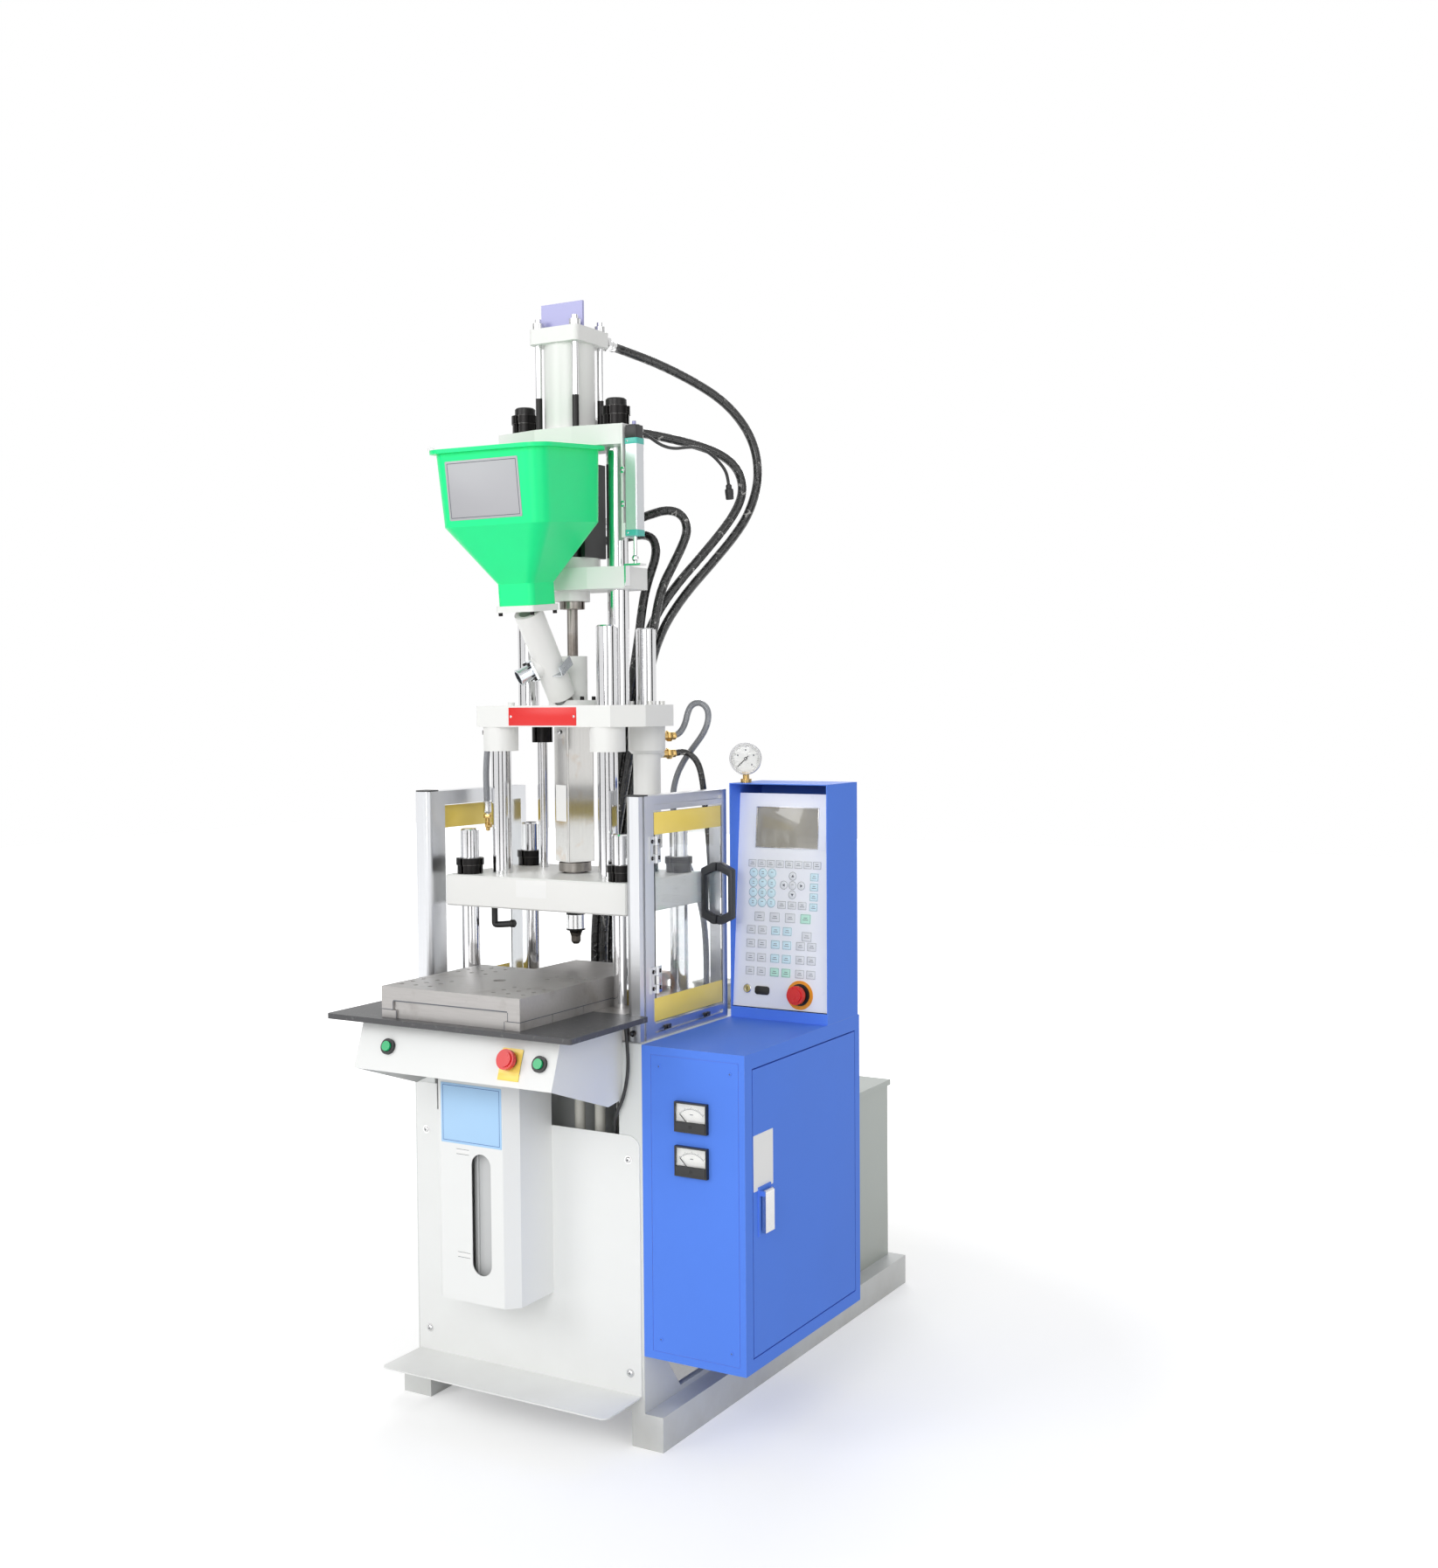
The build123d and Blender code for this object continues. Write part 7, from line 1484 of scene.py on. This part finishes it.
class MACHINE_OT_switchgear(bpy.types.Operator):
    """Terminals, labels and levers of the switchgear behind the cabinet's door"""
    bl_idname = "machine.switchgear"
    bl_label = "Switchgear"

    def execute(self, context):
        steel, dark, label = finishes["bright_steel"], finishes["key_mark"], finishes["paper_label"]
        levers = [finishes[n] for n in ("label_line", "teal_plastic", "red_plastic", "white_plastic")]
        gear = Form("switchgear_trim")
        face_x, first_y, pitch_y, columns = 404.0, -85.0, 110.0, 4
        screws, screw_pitch, block_z = 4, 19.0, 27.0
        for row, z in enumerate(switch_rows):
            for column in range(columns):
                face = right_side(face_x, first_y + pitch_y * column, z)
                gear.slab(face, 62.0, 17.0, 0, 0.6, label, 0.2, (0, 3.0))
                gear.slab(face, 12.0, 12.0, 0.4, 7.0, levers[(row + column) % 4], 1.2, (16.0, -10.0))
                for side in (-1, 1):
                    gear.slab(face, 78.0, 11.0, 0, 2.0, dark, 0.6, (0, side * block_z))
                    for i in range(screws):
                        seat = shifted(face, screw_pitch * (i - (screws - 1) / 2), side * block_z, 2.0)
                        gear.pan_screw(seat, 8.0, steel, dark)
        # The dark strips on the cable ducts are painted shade in their slots
        duct_x, middle_y, slits, slit_pitch = 374.0, 65.0, 26, 16.0
        for z in duct_rows:
            for i in range(slits):
                face = right_side(duct_x, middle_y + slit_pitch * (i - slits / 2 + 0.5), z)
                gear.slab(face, 4.0, 20.0, 0, 0.2, dark, 0)
        gear.ride("base", "black_plastic")
        return {"FINISHED"}


class MACHINE_OT_transducer(bpy.types.Operator):
    """End caps, plug and clips of the position transducer"""
    bl_idname = "machine.transducer"
    bl_label = "Transducer trim"

    def execute(self, context):
        left_x, front_y, side, low_z, top_z = 166.0, -44.0, 30.0, 1849.0, 2050.0
        x, y, cap, over = left_x + side / 2, front_y + side / 2, 12.0, 1.2
        steel, dark = finishes["bright_steel"], finishes["key_mark"]
        caps = Form("transducer_caps")
        for z in (low_z, top_z - cap):
            outline = rounded(side + over, side + over, 4.2)
            caps.sheet(upward(x, y, z), outline, -0.3, cap, finishes["teal_plastic"], 0.4)
            caps.pan_screw(front(x - 8.0, front_y - over / 2, z + cap / 2), 4.5, steel, dark)
        caps.ride("carriage", "black_plastic")
        plug = Form("transducer_plug")
        plug.sheet(upward(x, y, top_z), rounded(28.0, 28.0, 3.0), 0.2, 27.0, finishes["black_plastic"], 1.2)
        plug.turned(upward(x, y, top_z), [(4.2, 28.0), (4.2, 35.5), (3.2, 36.2), (0, 36.2)],
                    finishes["lavender_plate"], 20)
        plug.ride("carriage", "black_plastic")
        clips, thick = Form("transducer_clips"), 2.2
        for z in (1915.0, 1985.0):
            place = front(left_x - 4.0, front_y - 0.2, z)
            clips.slab(place, 9.0, 13.0, 0, thick, steel, 0.4)
            clips.socket_screw(shifted(place, -0.6, 0, thick), 5.0, 3.0, steel, dark)
        clips.ride("carriage", "zinc_plate")
        return {"FINISHED"}


class MACHINE_OT_platen_trim(bpy.types.Operator):
    """Bent arm under the platen and its tip"""
    bl_idname = "machine.platen_trim"
    bl_label = "Platen trim"

    def execute(self, context):
        x, y, top_z, low_z, tip_x, thick = -158.0, -80.0, 1060.0, 1026.0, -112.0, 14.0
        points = [(x, y, top_z + 4), (x, y, low_z + 8), (x, y, low_z - 2), (x + 12, y, low_z - 2),
                  (tip_x, y, low_z + 2)]
        arm = smooth_line("platen_arm", [spot(*p) for p in points], thick * MM, finishes["black_plastic"])
        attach(arm, "clamp")
        tip = Form("platen_arm_tip")
        cap = [(7.1, 0), (8.4, 1.5), (8.4, 9.0), (6.2, 11.0), (0, 11.0)]
        tip.turned(along(spot(tip_x - 3, y, low_z + 2), (1, 0, 0.08)), cap, finishes["rubber_black"], 24)
        tip.ride("clamp", "black_plastic")
        return {"FINISHED"}


class MACHINE_OT_table_trim(bpy.types.Operator):
    """Dark strips of painted shade along the joints between the slide table, its gib strips and the rail block"""
    bl_idname = "machine.table_trim"
    bl_label = "Slide table trim"

    def execute(self, context):
        dark, proud = finishes["key_mark"], 0.15
        half_x, rail_x, web_x = 171.0, 141.0, 133.0
        front_y, rear_y, low_z, step_z, rail_z = -436.0, -114.0, 877.4, 893.0, 911.2
        thin, wide = 1.5, 2.2
        lines = Form("table_joint_shade")
        # The wider strip along the rail's top is painted shadow under the table's lip
        lines.slab(front(0, front_y, rail_z + wide / 2), 2 * rail_x, wide, 0, proud, dark, 0)
        # The thin strips are painted shade in the joints
        for side in (-1, 1):
            face = front(side * (rail_x + thin / 2 + 0.3), front_y, (step_z + rail_z) / 2)
            lines.slab(face, thin, rail_z - step_z - 0.4, 0, proud, dark, 0)
            face = front(side * (web_x + thin / 2 + 0.3), front_y, (low_z + step_z) / 2)
            lines.slab(face, thin, step_z - low_z - 0.4, 0, proud, dark, 0)
            joint_z = step_z + thin / 2 + 0.2
            face = front(side * (half_x + rail_x) / 2, front_y, joint_z)
            lines.slab(face, half_x - rail_x - 0.8, thin, 0, proud, dark, 0)
            face = facing(spot(side * half_x, (front_y + rear_y) / 2, joint_z), (0, side, 0), (0, 0, 1))
            lines.slab(face, rear_y - front_y - 0.4, thin, 0, proud, dark, 0)
        lines.ride("slide_table", slot_of["slide_table"])
        return {"FINISHED"}


class MACHINE_OT_console_trim(bpy.types.Operator):
    """Yellow plate under the console's stop button, rings round the start buttons"""
    bl_idname = "machine.console_trim"
    bl_label = "Console trim"

    def execute(self, context):
        top_y, top_z, low_y, low_z, row_z = -405.0, 866.0, -440.0, 768.0, 815.0
        lean = math.atan2(top_y - low_y, top_z - low_z)
        row_y = low_y + (row_z - low_z) * math.tan(lean)
        up = (0, math.sin(lean), math.cos(lean))
        trim = Form("console_trim")
        stop = facing(spot(141, row_y, row_z), (1, 0, 0), up)
        trim.ring(stop, rounded(49.0, 49.0, 3.0, 9), 14.6, 2.05, 3.0, finishes["yellow_film"])
        trim.slab(stop, 49.0, 14.0, 0, 2.8, finishes["yellow_film"], 0.4, (0, -31.0))
        for x in (-165, 209):
            place = facing(spot(x, row_y, row_z), (1, 0, 0), up)
            trim.ring(place, rounded(31.0, 31.0, 15.5, 9), 11.2, 0.05, 2.0, finishes["black_plastic"])
        trim.ride("base", "black_plastic")
        return {"FINISHED"}


class MACHINE_PT_panel(bpy.types.Panel):
    """Lists the machine's pieces in the sidebar"""
    bl_idname = "MACHINE_PT_panel"
    bl_label = "Moulding machine"
    bl_space_type = "VIEW_3D"
    bl_region_type = "UI"
    bl_category = "Machine"

    def draw(self, context):
        for maker in makers:
            self.layout.operator(maker.bl_idname)


makers = (MACHINE_OT_stage, MACHINE_OT_finishes, MACHINE_OT_hoses, MACHINE_OT_hopper_trim,
          MACHINE_OT_plates, MACHINE_OT_keypad, MACHINE_OT_meters, MACHINE_OT_gauge, MACHINE_OT_fasteners,
          MACHINE_OT_guards, MACHINE_OT_power_trim, MACHINE_OT_switchgear, MACHINE_OT_transducer,
          MACHINE_OT_platen_trim, MACHINE_OT_table_trim, MACHINE_OT_console_trim)
classes = (MachineColours, MachineSizes, MACHINE_PT_panel) + makers


def register():
    """Makes the panel, the operators and the settings known."""
    for made in classes:
        bpy.utils.register_class(made)
    bpy.types.Scene.machine_colours = bpy.props.PointerProperty(type=MachineColours)
    bpy.types.Scene.machine_sizes = bpy.props.PointerProperty(type=MachineSizes)


def unregister():
    """Takes them away again."""
    del bpy.types.Scene.machine_sizes
    del bpy.types.Scene.machine_colours
    for made in reversed(classes):
        bpy.utils.unregister_class(made)


def main():
    """Builds every piece."""
    register()
    for maker in makers:
        group, name = maker.bl_idname.split(".")
        getattr(getattr(bpy.ops, group), name)()


if __name__ == "__main__":
    main()
